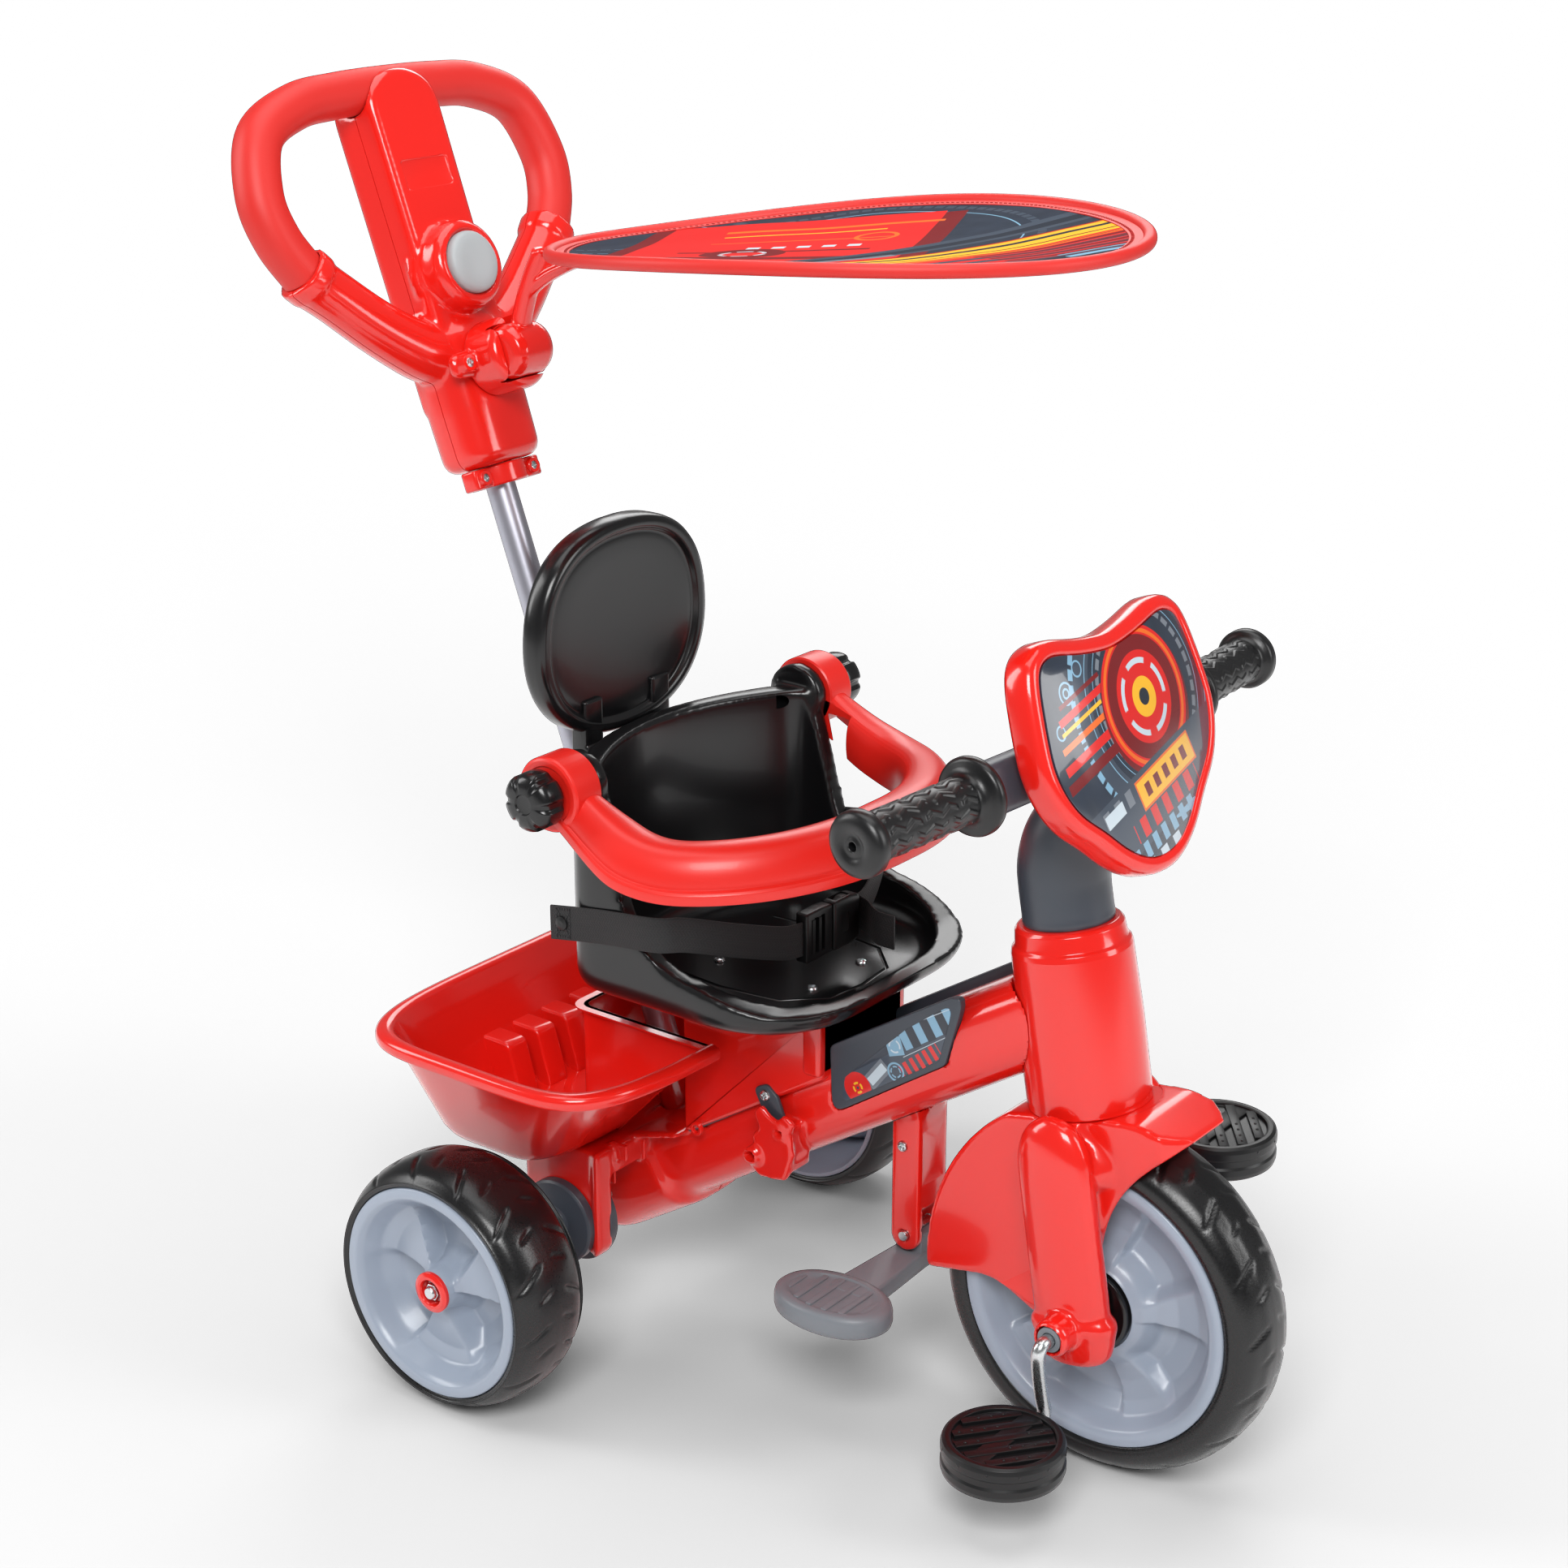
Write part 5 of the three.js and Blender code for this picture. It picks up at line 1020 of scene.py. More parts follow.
# geometry nodes: one source piece set on every marked spot, turned to face outward
def makeScatterGroup():
    group = bpy.data.node_groups.new("setOnSpots", "GeometryNodeTree")
    for label, kind in (("Spots", "NodeSocketGeometry"), ("Source", "NodeSocketObject"),
        ("Size", "NodeSocketFloat"), ("Material", "NodeSocketMaterial")):
        group.interface.new_socket(name=label, in_out="INPUT", socket_type=kind)
    group.interface.new_socket(name="Geometry", in_out="OUTPUT", socket_type="NodeSocketGeometry")
    nodes, links = group.nodes, group.links
    enter, leave = nodes.new("NodeGroupInput"), nodes.new("NodeGroupOutput")
    source = nodes.new("GeometryNodeObjectInfo")
    links.new(enter.outputs["Source"], source.inputs["Object"])
    aim = nodes.new("GeometryNodeInputNamedAttribute")
    aim.data_type = "FLOAT_VECTOR"
    aim.inputs["Name"].default_value = "aim"
    face = nodes.new("FunctionNodeAlignEulerToVector")
    face.axis = "Z"
    links.new(aim.outputs["Attribute"], face.inputs["Vector"])
    place = nodes.new("GeometryNodeInstanceOnPoints")
    links.new(enter.outputs["Spots"], place.inputs["Points"])
    links.new(source.outputs["Geometry"], place.inputs["Instance"])
    links.new(face.outputs["Rotation"], place.inputs["Rotation"])
    grow = nodes.new("ShaderNodeCombineXYZ")
    for axis in range(3):
        links.new(enter.outputs["Size"], grow.inputs[axis])
    links.new(grow.outputs[0], place.inputs["Scale"])
    real = nodes.new("GeometryNodeRealizeInstances")
    links.new(place.outputs["Instances"], real.inputs["Geometry"])
    paint = nodes.new("GeometryNodeSetMaterial")
    links.new(real.outputs["Geometry"], paint.inputs["Geometry"])
    links.new(enter.outputs["Material"], paint.inputs["Material"])
    links.new(paint.outputs["Geometry"], leave.inputs["Geometry"])
    return group


scatterGroup = makeScatterGroup()


# spots: (point, direction) pairs in the place's millimetres
def scatter(name, source, spots, place, material):
    turn = place.to_3x3().normalized()
    data = bpy.data.meshes.new(name)
    data.from_pydata([place @ Vector(p) for p, _ in spots], [], [])
    aim = data.attributes.new("aim", "FLOAT_VECTOR", "POINT")
    for i, (_, way) in enumerate(spots):
        aim.data[i].vector = turn @ Vector(way)
    piece = bpy.data.objects.new(name, data)
    scene.collection.objects.link(piece)
    original = linkMesh(name + "_source", *source, Matrix.Scale(mm, 4))
    layer = piece.modifiers.new("spots", "NODES")
    layer.node_group = scatterGroup
    values = {"Source": original, "Size": 1.0, "Material": material}
    for item in scatterGroup.interface.items_tree:
        if item.in_out == "INPUT" and item.name in values:
            layer[item.identifier] = values[item.name]
    settle(piece)
    bpy.data.objects.remove(original)
    return piece


# a pan head screw with a cross recess, standing on Z = 0
def screwHead(radius=3.4, height=2.0):
    dome = [(0.01, -0.6), (radius, -0.6), (radius, 0.3), (radius * 0.86, height * 0.72),
        (radius * 0.5, height * 0.96), (0.01, height)]
    body = linkMesh("screw", *aboutZ(spun(dome, 28, 0.3)))
    arm, wide = radius * 0.62, radius * 0.17
    for a, b in ((arm, wide), (wide, arm)):
        body = cutWith(body, [block((-a, -b, height * 0.35), (a, b, height + 1))], None)
    return takeShape(body)


# zinc screws on the marked spots of one body
def setScrews(name, head, spots, place, body):
    heads = scatter(name, screwHead(*head), spots, place, zincBright)
    finish(heads, zincBright, body, sharp=40)


# steering: sleeve, fork, crank, pedals
forkSizes = {"inner": 34.7, "outer": 39.2, "radius": 132, "legY": 51, "legFlat": 0.52, "bearing": 84,
    "visor": 97, "bush": 9, "voxel": 1.9, "shoulder": 9}
pedalSizes = {"radius": 42.5, "height": 26, "offset": 121.5, "throw": 72, "angle": -97, "recess": 3.2,
    "bars": 5, "barStep": 13.5, "barTurn": 38}


def makeSleeve():
    low, top, r = sizes["headLow"], sizes["headTop"], sizes["headRadius"]
    outer = [(13, low), (r - 0.8, low), (r, low + 1.2), (r, low + 60), (r - 1.6, top - 19),
        (r - 2.4, top - 15.5), (r - 4.2, top - 13.5), (r - 4.9, top - 11), (r - 5.8, top - 3),
        (r - 7.6, top - 0.6), (r - 9, top), (20.6, top), (20.4, top - 20), (13, top - 21)]
    addPiece("head_sleeve_turned", aboutZ(spun(outer, 128, 1.6)), raked, redGloss, "frame_body",
        ["head_sleeve"], sharp=45)
    for name, z in (("lower_head_bush", low + 0.3), ("upper_head_bush", top - 19.7)):
        ring = aboutZ(spun(oblong(11.3, 20, z, z + 19.4), 64, 0.6))
        addPiece(name + "_ring", ring, raked, midGrey, "frame_body", [name], sharp=40)
    stem = aboutZ(spun([(0.02, low - 7.7), (10, low - 7.7), (11, low - 6.5), (11, top + 43), (10, top + 44),
                (0.02, top + 44)], 48, 0))
    addPiece("steering_stem_tube", stem, raked, satinTube, "steering", ["steering_stem"], sharp=40)


def coverOutline(inset=0.0):
    f = forkSizes
    outer, neck, low, visor = f["radius"] + 6 - inset, sizes["headRadius"], sizes["headLow"], f["visor"]
    return [(-outer + 3, 18 - inset), *bezier((-outer + 3, 18 - inset), (-outer + 6, 62),
            (-0.72 * outer, 0.86 * outer), (-neck - 6 + inset, low + 2 - inset), 24),
        (-neck - 6 + inset, low + 2 - inset), (neck - 4, low + 6 - inset), (62 - inset, low + 5 - inset),
        (visor - inset, low - 8 - inset), (visor - 4 - inset, low - 14),
        *bezier((visor - 4 - inset, low - 14), (66, 112), (26, 96), (17, 38), 20), (17, 38), (17, 0),
        (-20, -8), *bezier((-20, -8), (-44, -20), (-58, 16), (-88, 15), 16), (-88, 15)]


def forkShapes():
    f = forkSizes
    plan = evened([(-220, -80), (20, -80), *bezier((20, -80), (58, -44), (f["visor"] + 1, -32),
                (f["visor"] + 1, 0), 20), *bezier((f["visor"] + 1, 0), (f["visor"] + 1, 32), (58, 44),
                (20, 80), 20), (20, 80), (-220, 80)], 3, 2)
    column = plate(plan, -200, 300, 0.2, "xy", 1)
    hoods = []
    for step in range(6):
        turn = math.pi / 2 * step / 5
        inset, half = f["shoulder"] * (1 - math.sin(turn)), f["outer"] - f["shoulder"] * (1 - math.cos(turn))
        hoods.append(meet(plate(filleted(coverOutline(inset), 2, 3), -half, half, 0.2, steps=1), column))
    r, low = sizes["headRadius"], sizes["headLow"]
    flare = curveThrough([(r + 0.2, low - 0.3), (r + 0.5, low - 5), (r + 2.4, low - 12), (r + 7, low - 22),
            (r + 10.5, low - 33), (r + 8, low - 44), (r - 6, low - 54)], 24)
    neck = aboutZ(spun([(0.02, low - 54), *[tuple(p) for p in reversed(flare)], (0.02, low - 0.3)], 120, 0))
    profile = curveThrough([(-31, 3), (-29.5, 16), (-25, 24.5), (-16, 29), (-7, 31.2), (-3.5, 32.8),
            (2, 32.8), (4.5, 31)], 18)
    upper = curveThrough([(6.5, 28.6), (20, 29), (70, 28.8), (112, 28.2), (128, 25.4), (140, 19),
            (147, 10), (149.5, 2)], 30)
    rings = []
    for z, radius in [tuple(p) for p in profile] + [tuple(p) for p in upper]:
        rings.append([(a, f["legY"] + b, z)
                for a, b in superellipse(radius, radius * f["legFlat"] + 0.2, 2.15, 56)])
    leg = skin(rings)
    boss = rod(13.5, (0, f["legY"], 0), (0, f["bearing"] - 3, 0), 48)
    tip = rod(11.5, (0, f["legY"], 0), (0, f["bearing"], 0), 48)
    knuckle = rod(5.4, (-13, f["legY"] - 4, -4), (-13, f["legY"] + 19, -4), 24)
    parts = [leg, boss, tip, knuckle]
    return [*hoods, neck, *parts, *[mirrored(p) for p in parts]]


def forkCuts():
    f = forkSizes
    wheel = rod(f["radius"], (0, -f["inner"], 0), (0, f["inner"], 0), 160)
    visor = meet(plate(coverOutline(4.5), -f["inner"], f["inner"], 4, steps=5),
        block((0, -200, -200), (300, 200, sizes["headLow"] - 10)))
    low = block((-300, -f["inner"], -300), (300, f["inner"], 0))
    bore = rod(f["bush"] + 0.3, (0, f["inner"] - 1, 0), (0, f["bearing"] + 1, 0), 40)
    stem = rod(11.3, (0, 0, sizes["headLow"] - 8), (0, 0, sizes["headLow"] + 10), 48)
    seat = rod(sizes["headRadius"] + 6, (0, 0, sizes["headLow"] - 0.3), (0, 0, sizes["headLow"] + 60), 96)
    hole = rod(2.6, (-13, f["legY"] + 8, -4), (-13, f["legY"] + 30, -4), 20)
    return [wheel, visor, low], [bore, mirrored(bore), stem, seat, hole, mirrored(hole)]


def makeFork():
    rooms, bores = forkCuts()
    piece = moulded("fork_fender_shell", raked, forkShapes(), forkSizes["voxel"], 7, crisp=[*rooms, *bores])
    finish(piece, redGloss, "steering", ["fork_fender"], sharp=35)
    f = forkSizes
    for side, word in bothSides:
        place = onSide(raked, side)
        ring = spun(oblong(5.3, 9, f["inner"], f["bearing"] - 1), 48, 0.5)
        addPiece(f"crank_bush_{word}_tube", ring, place, midGrey, "steering",
            [f"crank_bush_{word}"], sharp=40)


def crankRow(side, angle, share, y):
    reach = pedalSizes["throw"] * share
    return (reach * math.cos(angle), side * y, reach * math.sin(angle))


def makeCrank():
    p = pedalSizes
    y, foot = forkSizes["bearing"] + 10, p["offset"] - p["radius"] - 6
    rows = [(0, y - 40), (0, y - 20), (0, y - 10), (0, y - 4), (0.03, y - 1), (0.1, y),
        (0.3, y + 0.2 * (foot - y)), (0.6, y + 0.6 * (foot - y)), (0.86, foot), (0.94, foot),
        (0.985, foot + 1.5), (1, foot + 5), (1, foot + 14), (1, p["offset"] + p["radius"] - 9)]
    right = math.radians(p["angle"])
    path = [crankRow(-1, right, *row) for row in reversed(rows)] + [crankRow(1, right + math.pi, *row)
        for row in rows]
    bar = swept(curveThrough(path, 220), circle(5, 28), (1, 0, 0.2))
    addPiece("crank_axle_bar", bar, wheelFrame, zincBright, "front_wheel", ["crank_axle"], sharp=50)


def pedalShape():
    p = pedalSizes
    r, h = p["radius"], p["height"] / 2
    rim = [(r - 7.5, h - p["recess"]), (r - 7, h - 0.6), (r - 5.5, h), (r - 3, h - 0.1), (r - 0.9, h - 1.6),
        (r, h - 4.5), (r, 4), (r - 1.1, 2.2), (r - 1.1, -2.2), (r, -4)]
    loop = rim + [(a, -b) for a, b in reversed(rim[:6])]
    body = aboutZ(spun([(0.02, h - p["recess"]), *loop, (0.02, -h + p["recess"])], 120, 0.5))
    parts = []
    for face in (1, -1):
        for i in range(p["bars"]):
            x = (i - (p["bars"] - 1) / 2) * p["barStep"]
            half = math.sqrt(max((r - 8) ** 2 - x * x, 20))
            low, high = sorted((face * (h - p["recess"] - 1), face * (h - 0.7)))
            bar = plate(oblong(x - 3.6, x + 3.6, -half, half), low, high, 0.8, "xy", 2)
            turn = math.radians(p["barTurn"])
            points = [(a * math.cos(turn) - b * math.sin(turn), a * math.sin(turn) + b * math.cos(turn), c)
                for a, b, c in bar[0]]
            parts.append((points, bar[1]))
        low, high = sorted((face * (h - p["recess"] - 1), face * (h - 1.4)))
        parts.append(plate(oblong(-7, 7, -r + 4, r - 6), low, high, 0.8, "xy", 2))
    return body, joinShapes(*parts)


def makePedals():
    p = pedalSizes
    for side, word, angle in ((1, "left", p["angle"] + 180), (-1, "right", p["angle"])):
        turn = math.radians(angle)
        spot = wheelFrame @ Vector((p["throw"] * math.cos(turn), side * p["offset"],
                p["throw"] * math.sin(turn)))
        place = onSide(frameAt(spot), side)
        body, treads = pedalShape()
        piece = linkMesh(f"pedal_{word}_disc", *body, place)
        bore = rod(6.1, (0, -p["radius"] - 3, 0), (0, p["radius"] - 8, 0), 32)
        cutWith(piece, [bore], place)
        fuse(piece, linkMesh("treads", *treads, place))
        finish(piece, blackSatin, f"pedal_{word}_body", [f"pedal_{word}"], sharp=35)
        spots = []
        h, r, lean = p["height"] / 2, p["radius"], math.radians(p["barTurn"])
        for face in (1, -1):
            for i in range(p["bars"]):
                for j in range(-3, 4):
                    a, b = (i - 2) * p["barStep"], j * 9.0
                    if math.hypot(a, b) < r - 12:
                        c, s = math.cos(lean), math.sin(lean)
                        x, y = a * c - b * s, a * s + b * c
                        if abs(x) > 8.5:
                            spots.append(((x, y, face * (h - 0.75)), (0, 0, face)))
        for i in range(12):
            turn = math.radians(30 * i + 12)
            if math.sin(turn) < -0.7:
                continue
            spots.append((((r - 0.4) * math.cos(turn), (r - 0.4) * math.sin(turn), h - 5.5),
                    (math.cos(turn), math.sin(turn), 0)))
        stud = aboutZ(spun([(0.02, -0.4), (1.1, -0.4), (1.0, 0.5), (0.6, 0.8), (0.02, 0.85)], 12, 0))
        studs = scatter(f"pedal_{word}_studs", stud, spots, place, blackSatin)
        finish(studs, blackSatin, f"pedal_{word}_body", sharp=50)


makeSleeve()
makeFork()
makeCrank()
makePedals()
print("stage: fork and pedals")


# neck, handlebar, grips and front panel
barSizes = {"forward": 33, "height": 395, "bend": 62, "gripStart": 126, "gripEnd": 244, "grip": 15.5,
    "innerFlange": 26, "outerFlange": 21.5, "relief": 0.75, "zigs": 11, "deep": 13, "tall": 19}
panelSizes = {"halfWidth": 105, "top": 50, "bottom": 122, "half": 11, "up": 34, "rim": 11, "sink": 2.5,
    "postY": 40, "clear": 1}


def makeNeck():
    stops = [(0, 272.3, 31), (0, 275, 31.6), (0, 279, 31.2), (0, 298, 31.2), (1.5, 311, 31.5), (7, 327, 30.6),
        (16, 343, 27.6), (24, 356, 24.6), (33, 376, 22)]
    smooth = curveThrough(stops, 48)
    rings = []
    for i, (x, z, r) in enumerate(smooth):
        a, b = smooth[max(i - 1, 0)], smooth[min(i + 1, len(smooth) - 1)]
        tx, tz = b[0] - a[0], b[1] - a[1]
        run = math.hypot(tx, tz)
        tx, tz = tx / run, tz / run
        rings.append([(x + c * tz, s, z - c * tx) for c, s in circle(r, 72)])
    neck = linkMesh("steering_neck_body", *skin(rings), raked)
    cutWith(neck, [rod(11.3, (0, 0, 260), (0, 0, 316.3), 40)], raked)
    finish(neck, charcoal, "steering", ["steering_neck"], sharp=45)


def sweepBack(y):
    # how far the bar's ends lie behind its middle
    return max(0.0, abs(y) - barSizes["bend"]) * math.tan(math.radians(angles["gripSweep"]))


def makeHandlebar():
    b = barSizes
    rings = []
    rows = [(0.72, 0.8), (0.9, 0.4), (1.0, 0.0)]
    for y in [-b["gripStart"] + 0.3 + i * (2 * b["gripStart"] - 0.6) / 60 for i in range(61)]:
        slim = min(1.0, max(0.0, (abs(y) - 56) / 20))
        swell = 1.5 * math.exp(-(y / 30) ** 4)
        rings.append([(b["forward"] - sweepBack(y) + p, y, b["height"] + q)
                for p, q in superellipse(b["deep"] - slim, b["tall"] - slim + swell, 2.7, 60)])
    first, last = rings[0], rings[-1]
    ends = []
    for ring, sign in ((first, 1), (last, -1)):
        cx, cz = np.mean([p[0] for p in ring]), np.mean([p[2] for p in ring])
        ends.append([[(cx + (p[0] - cx) * k, p[1] + sign * d, cz + (p[2] - cz) * k) for p in ring]
                for k, d in rows])
    body = skin([*ends[0], *rings[1:-1], *reversed(ends[1])])
    bars = [body]
    for side in (1, -1):
        path = [(b["forward"] - sweepBack(y), side * y, b["height"])
            for y in (b["bend"], 90, 120, 160, 200, b["gripEnd"] - 8)]
        bars.append(swept(path, circle(10, 32), (0, 0, 1)))
    addPiece("handlebar_body", joinShapes(*bars), raked, charcoal, "steering", ["handlebar"], sharp=45)
    plugs = [((b["forward"] - 13.2, side * 22, b["height"] + dz), (-1, 0, 0)) for side in (1, -1)
        for dz in (7, -7)]
    setScrews("handlebar_screws", (4, 2.2), plugs, raked, "steering")


def zigzag(turn, along, count, length):
    # raised chevron bars round the grip, broken into short runs
    wander = 0.22 * (2 * abs(2 * ((along / length) % 1) - 1) - 1)
    row = (turn / (2 * math.pi) * count + wander) % 1
    line = 1 - smoothStep(abs(row - 0.5), 0.13, 0.23)
    run = (along / length * 0.5 + 0.37 * math.floor(turn / (2 * math.pi) * count + wander)) % 1
    return line * smoothStep(run, 0.02, 0.09) * (1 - smoothStep(run, 0.86, 0.93))


def gripBody():
    b = barSizes
    start, end, r = b["gripStart"], b["gripEnd"], b["grip"]
    rows = [(10.3, start, 0), (b["innerFlange"] - 2, start, 0), (b["innerFlange"] - 0.6, start + 0.7, 0),
        (b["innerFlange"], start + 2.4, 0), (b["innerFlange"], start + 5.2, 0),
        (b["innerFlange"] - 0.8, start + 7.2, 0), (b["innerFlange"] - 2.6, start + 8, 0),
        (r + 5, start + 8.6, 0), (r + 2, start + 10, 0), (r + 0.5, start + 12.4, 0)]
    steps = 150
    for i in range(steps + 1):
        rows.append((r, start + 14 + i * (end - 17.5 - start - 14) / steps, 1))
    rows += [(r + 0.6, end - 15.6, 0), (r + 2.6, end - 13.8, 0), (b["outerFlange"] - 1.2, end - 12.6, 0),
        (b["outerFlange"], end - 10.6, 0), (b["outerFlange"], end - 5, 0),
        (b["outerFlange"] - 1.4, end - 2.2, 0), (b["outerFlange"] - 4.5, end - 0.7, 0),
        (b["outerFlange"] - 7, end - 0.2, 0), (9.5, end, 0), (8.6, end - 0.9, 0), (5.5, end - 1.1, 0),
        (4.4, end - 0.1, 0), (3.4, end - 0.2, 0), (3, end - 1, 0), (3, end - 7.5, 0), (10.3, end - 7.5, 0)]
    around = 168
    rings = []
    for radius, y, relief in rows:
        ring = []
        for k in range(around):
            turn = 2 * math.pi * k / around
            high = relief * b["relief"] * zigzag(turn, y - start, b["zigs"], 17)
            fade = smoothStep(y, start + 15, start + 17) * (1 - smoothStep(y, end - 20.5, end - 18.5))
            ring.append(((radius + high * fade) * math.cos(turn), y, (radius + high * fade) * math.sin(turn)))
        rings.append(ring)
    return skin(rings, "join")


def makeGrips():
    b = barSizes
    sweep = math.radians(angles["gripSweep"])
    for side, word in bothSides:
        hinge = (Matrix.Translation((b["forward"], b["bend"], b["height"]))
            @ Matrix.Rotation(sweep, 4, "Z") @ Matrix.Translation((0, -b["bend"], 0)))
        place = onSide(raked, side) @ hinge
        addPiece(f"grip_{word}_sleeve", gripBody(), place, gripRubber, "steering", [f"grip_{word}"], sharp=60)


# the panel's outline about its own middle, and the same drawn inside by an inset
def shieldLoop(inset=0.0):
    w, top, low = panelSizes["halfWidth"], panelSizes["top"], -panelSizes["bottom"]
    corners = [((0, top - 10), (w * 0.28, top - 8), (w * 0.56, top)),
        ((w * 0.56, top), (w * 0.86, top + 3), (w * 0.93, top - 24)),
        ((w * 0.93, top - 24), (w, -10), (w, -28)), ((w, -28), (w * 0.95, -66), (w * 0.62, -86)),
        ((w * 0.62, -86), (w * 0.34, low + 2), (0, low))]
    half = []
    for a, m, c in corners:
        half += [tuple(p) for p in bezier(a, m, c, count=14)][:-1]
    half.append((0, low))
    loop = np.array([(x, z) for x, z in half] + [(-x, z) for x, z in reversed(half[1:-1])], float)
    for _ in range(3):
        loop = loop * 0.5 + 0.25 * (np.roll(loop, 1, 0) + np.roll(loop, -1, 0))
    way = np.roll(loop, -1, 0) - np.roll(loop, 1, 0)
    way /= np.linalg.norm(way, axis=1)[:, None]
    inward = np.stack([way[:, 1], -way[:, 0]], 1)
    if np.dot(inward[0], (0, -1)) < 0:
        inward = -inward
    for _ in range(2):
        inward = inward * 0.5 + 0.25 * (np.roll(inward, 1, 0) + np.roll(inward, -1, 0))
    return loop + inward * inset


panelLean = math.radians(angles["panelLean"])
panelForward = (barSizes["forward"] + barSizes["deep"] + sizes["gap"] + panelSizes["clear"]
    + panelSizes["half"] - panelSizes["up"] * math.tan(panelLean))
panelFrame = raked @ Matrix.Translation((panelForward, 0, barSizes["height"] + panelSizes["up"]))
panelFrame = panelFrame @ Matrix.Rotation(-panelLean, 4, "Y")


panelPrint = printFinish("panelPrint", "navy", [("ring", "slate", (26, -6), (74, 9, 0), 0),
        ("ring", "sky", (26, -6), (84, 2.6, 52), 0), ("ring", "sky", (26, -6), (69, 0.5, 0), 0),
        ("ring", "sky", (26, -6), (60, 0.4, 0), 0), ("ring", "grey", (26, -6), (55, 2.0, 34), 0),
        ("ring", "sky", (-62, 14), (7, 0.8, 0), 0), ("ring", "sky", (-62, 14), (3, 0.8, 0), 0),
        ("ring", "sky", (-44, 26), (5, 0.7, 0), 0), ("ring", "sky", (-78, -8), (4.5, 0.7, 0), 0),
        ("bar", "dark", (-34, -34), (52, 3.6, 0), 12), ("bar", "red", (-40, -24), (44, 3.2, 0), 12),
        ("bar", "orange", (-46, -13), (36, 2.2, 0), 12), ("bar", "yellow", (-52, -5), (26, 1.4, 0), 12),
        ("bar", "red", (-44, 4), (34, 2.6, 0), 12), ("bar", "dark", (-48, 12), (26, 1.6, 0), 12),
        ("ring", "dark", (22, -12), (22, 28, 0), 0), ("ring", "red", (22, -9), (21, 27, 0), 0),
        ("ring", "dark", (22, -9), (36, 5.2, 0), 0), ("ring", "orange", (22, -9), (44, 1.5, 0), 0),
        ("ring", "red", (22, -9), (12, 18, 0), 0), ("ring", "pale", (22, -9), (24, 2.0, 5), 20),
        ("ring", "yellow", (22, -9), (9, 4.6, 0), 0), ("ring", "navy", (22, -9), (2.4, 3.4, 0), 0),
        ("bar", "slate", (2, -73), (100, 22, 0), 13), ("bar", "grey", (-24, -66), (36, 5.5, 0.42), 13),
        ("bar", "pale", (-44, -72), (12, 4.5, 0), 13), ("bar", "orange", (24, -60), (38, 10.4, 0), 13),
        ("bar", "yellow", (24, -60), (36.5, 8.8, 0), 13), ("bar", "dark", (24, -60), (31, 4.6, 0.5), 13),
        ("bar", "red", (16, -80), (44, 6.5, 0.4), 13), ("bar", "sky", (6, -96), (44, 5.5, 0.5), 13),
        ("bar", "pale", (0, -108), (30, 3.5, 0.36), 13)], roughness=0.24, coat=0.6)


def makePanel():
    p = panelSizes
    half = p["half"]
    rows = [(half - p["sink"] - 3, 6), (0, 5.4), (-half + 0.6, 5), (-half, 4.2), (-half, 2.6),
        (-half + 1, 0.8), (-half + 3.5, 0), (0, -0.2), (4.5, 0), (7.4, 0.8), (9.4, 2.6), (10.6, 4.8),
        (half, 7), (10.7, 8.8), (9.9, 10.2), (half - p["sink"], p["rim"])]
    rings = [[(x, y, z) for y, z in shieldLoop(inset)] for x, inset in rows]
    addPiece("front_panel_shell", skin(rings), panelFrame, redGloss, "steering", ["front_panel"], sharp=45)
    posts = [rod(8, (-half - 0.5, side * p["postY"], -p["up"]),
            (half - p["sink"] - 3, side * p["postY"], -p["up"]), 32) for side in (1, -1)]
    ribs = [block((-half + 3, y - 1, -p["up"] - 34), (half - p["sink"] - 3, y + 1, 28))
        for y in (-p["postY"], 0, p["postY"])]
    ribs += [block((-half + 3, -72, z - 1), (half - p["sink"] - 3, 72, z + 1)) for z in (-p["up"], 4)]
    addPiece("front_panel_back", joinShapes(*posts, *ribs), panelFrame, redSatin, "steering",
        sharp=40)
    rings = [[(x, y, z) for y, z in shieldLoop(inset)]
        for x, inset in ((half - p["sink"] + 0.3, p["rim"] + 0.2), (half - 0.9, p["rim"] + 0.2),
            (half - 0.5, p["rim"] + 0.7))]
    sheet = linkMesh("panel_plate_print", *skin(rings), panelFrame)
    mapPrint(sheet, panelFrame, "y", "z")
    finish(sheet, panelPrint, "steering", ["panel_plate"], sharp=45)


makeNeck()
makeHandlebar()
makeGrips()
makePanel()
print("stage: steering")


# basket, seat, backrest, safety ring and what carries them
basketSizes = {"floor": 157.3, "rim": 252, "rows": ((0, -88, 20, 148), (0.12, -96, 30, 156),
        (1, -124, 109, 196)), "wall": 3.5, "lip": 7, "lipDrop": 12, "notchRear": -14, "notchHalf": 60,
    "stepDepth": 56, "stepHalf": 90, "stepRise": 46}
seatSizes = {"rear": -2, "front": 235, "bow": 42, "back": 168, "rim": 15, "pan": 5, "sideRise": 36,
    "pivotX": 45, "pivotZ": 458, "earRadius": 24, "ear": 12, "stud": 5, "voxel": 2.2}
padSizes = {"top": 612, "low": 452, "half": 94, "rear": -36, "front": -16, "strutY": 38, "strut": 20}
ringSizes = {"inner": 132.3, "drum": 27, "width": 27, "reach": 172, "drop": 40, "straight": 62,
    "half": 22, "knob": 21}


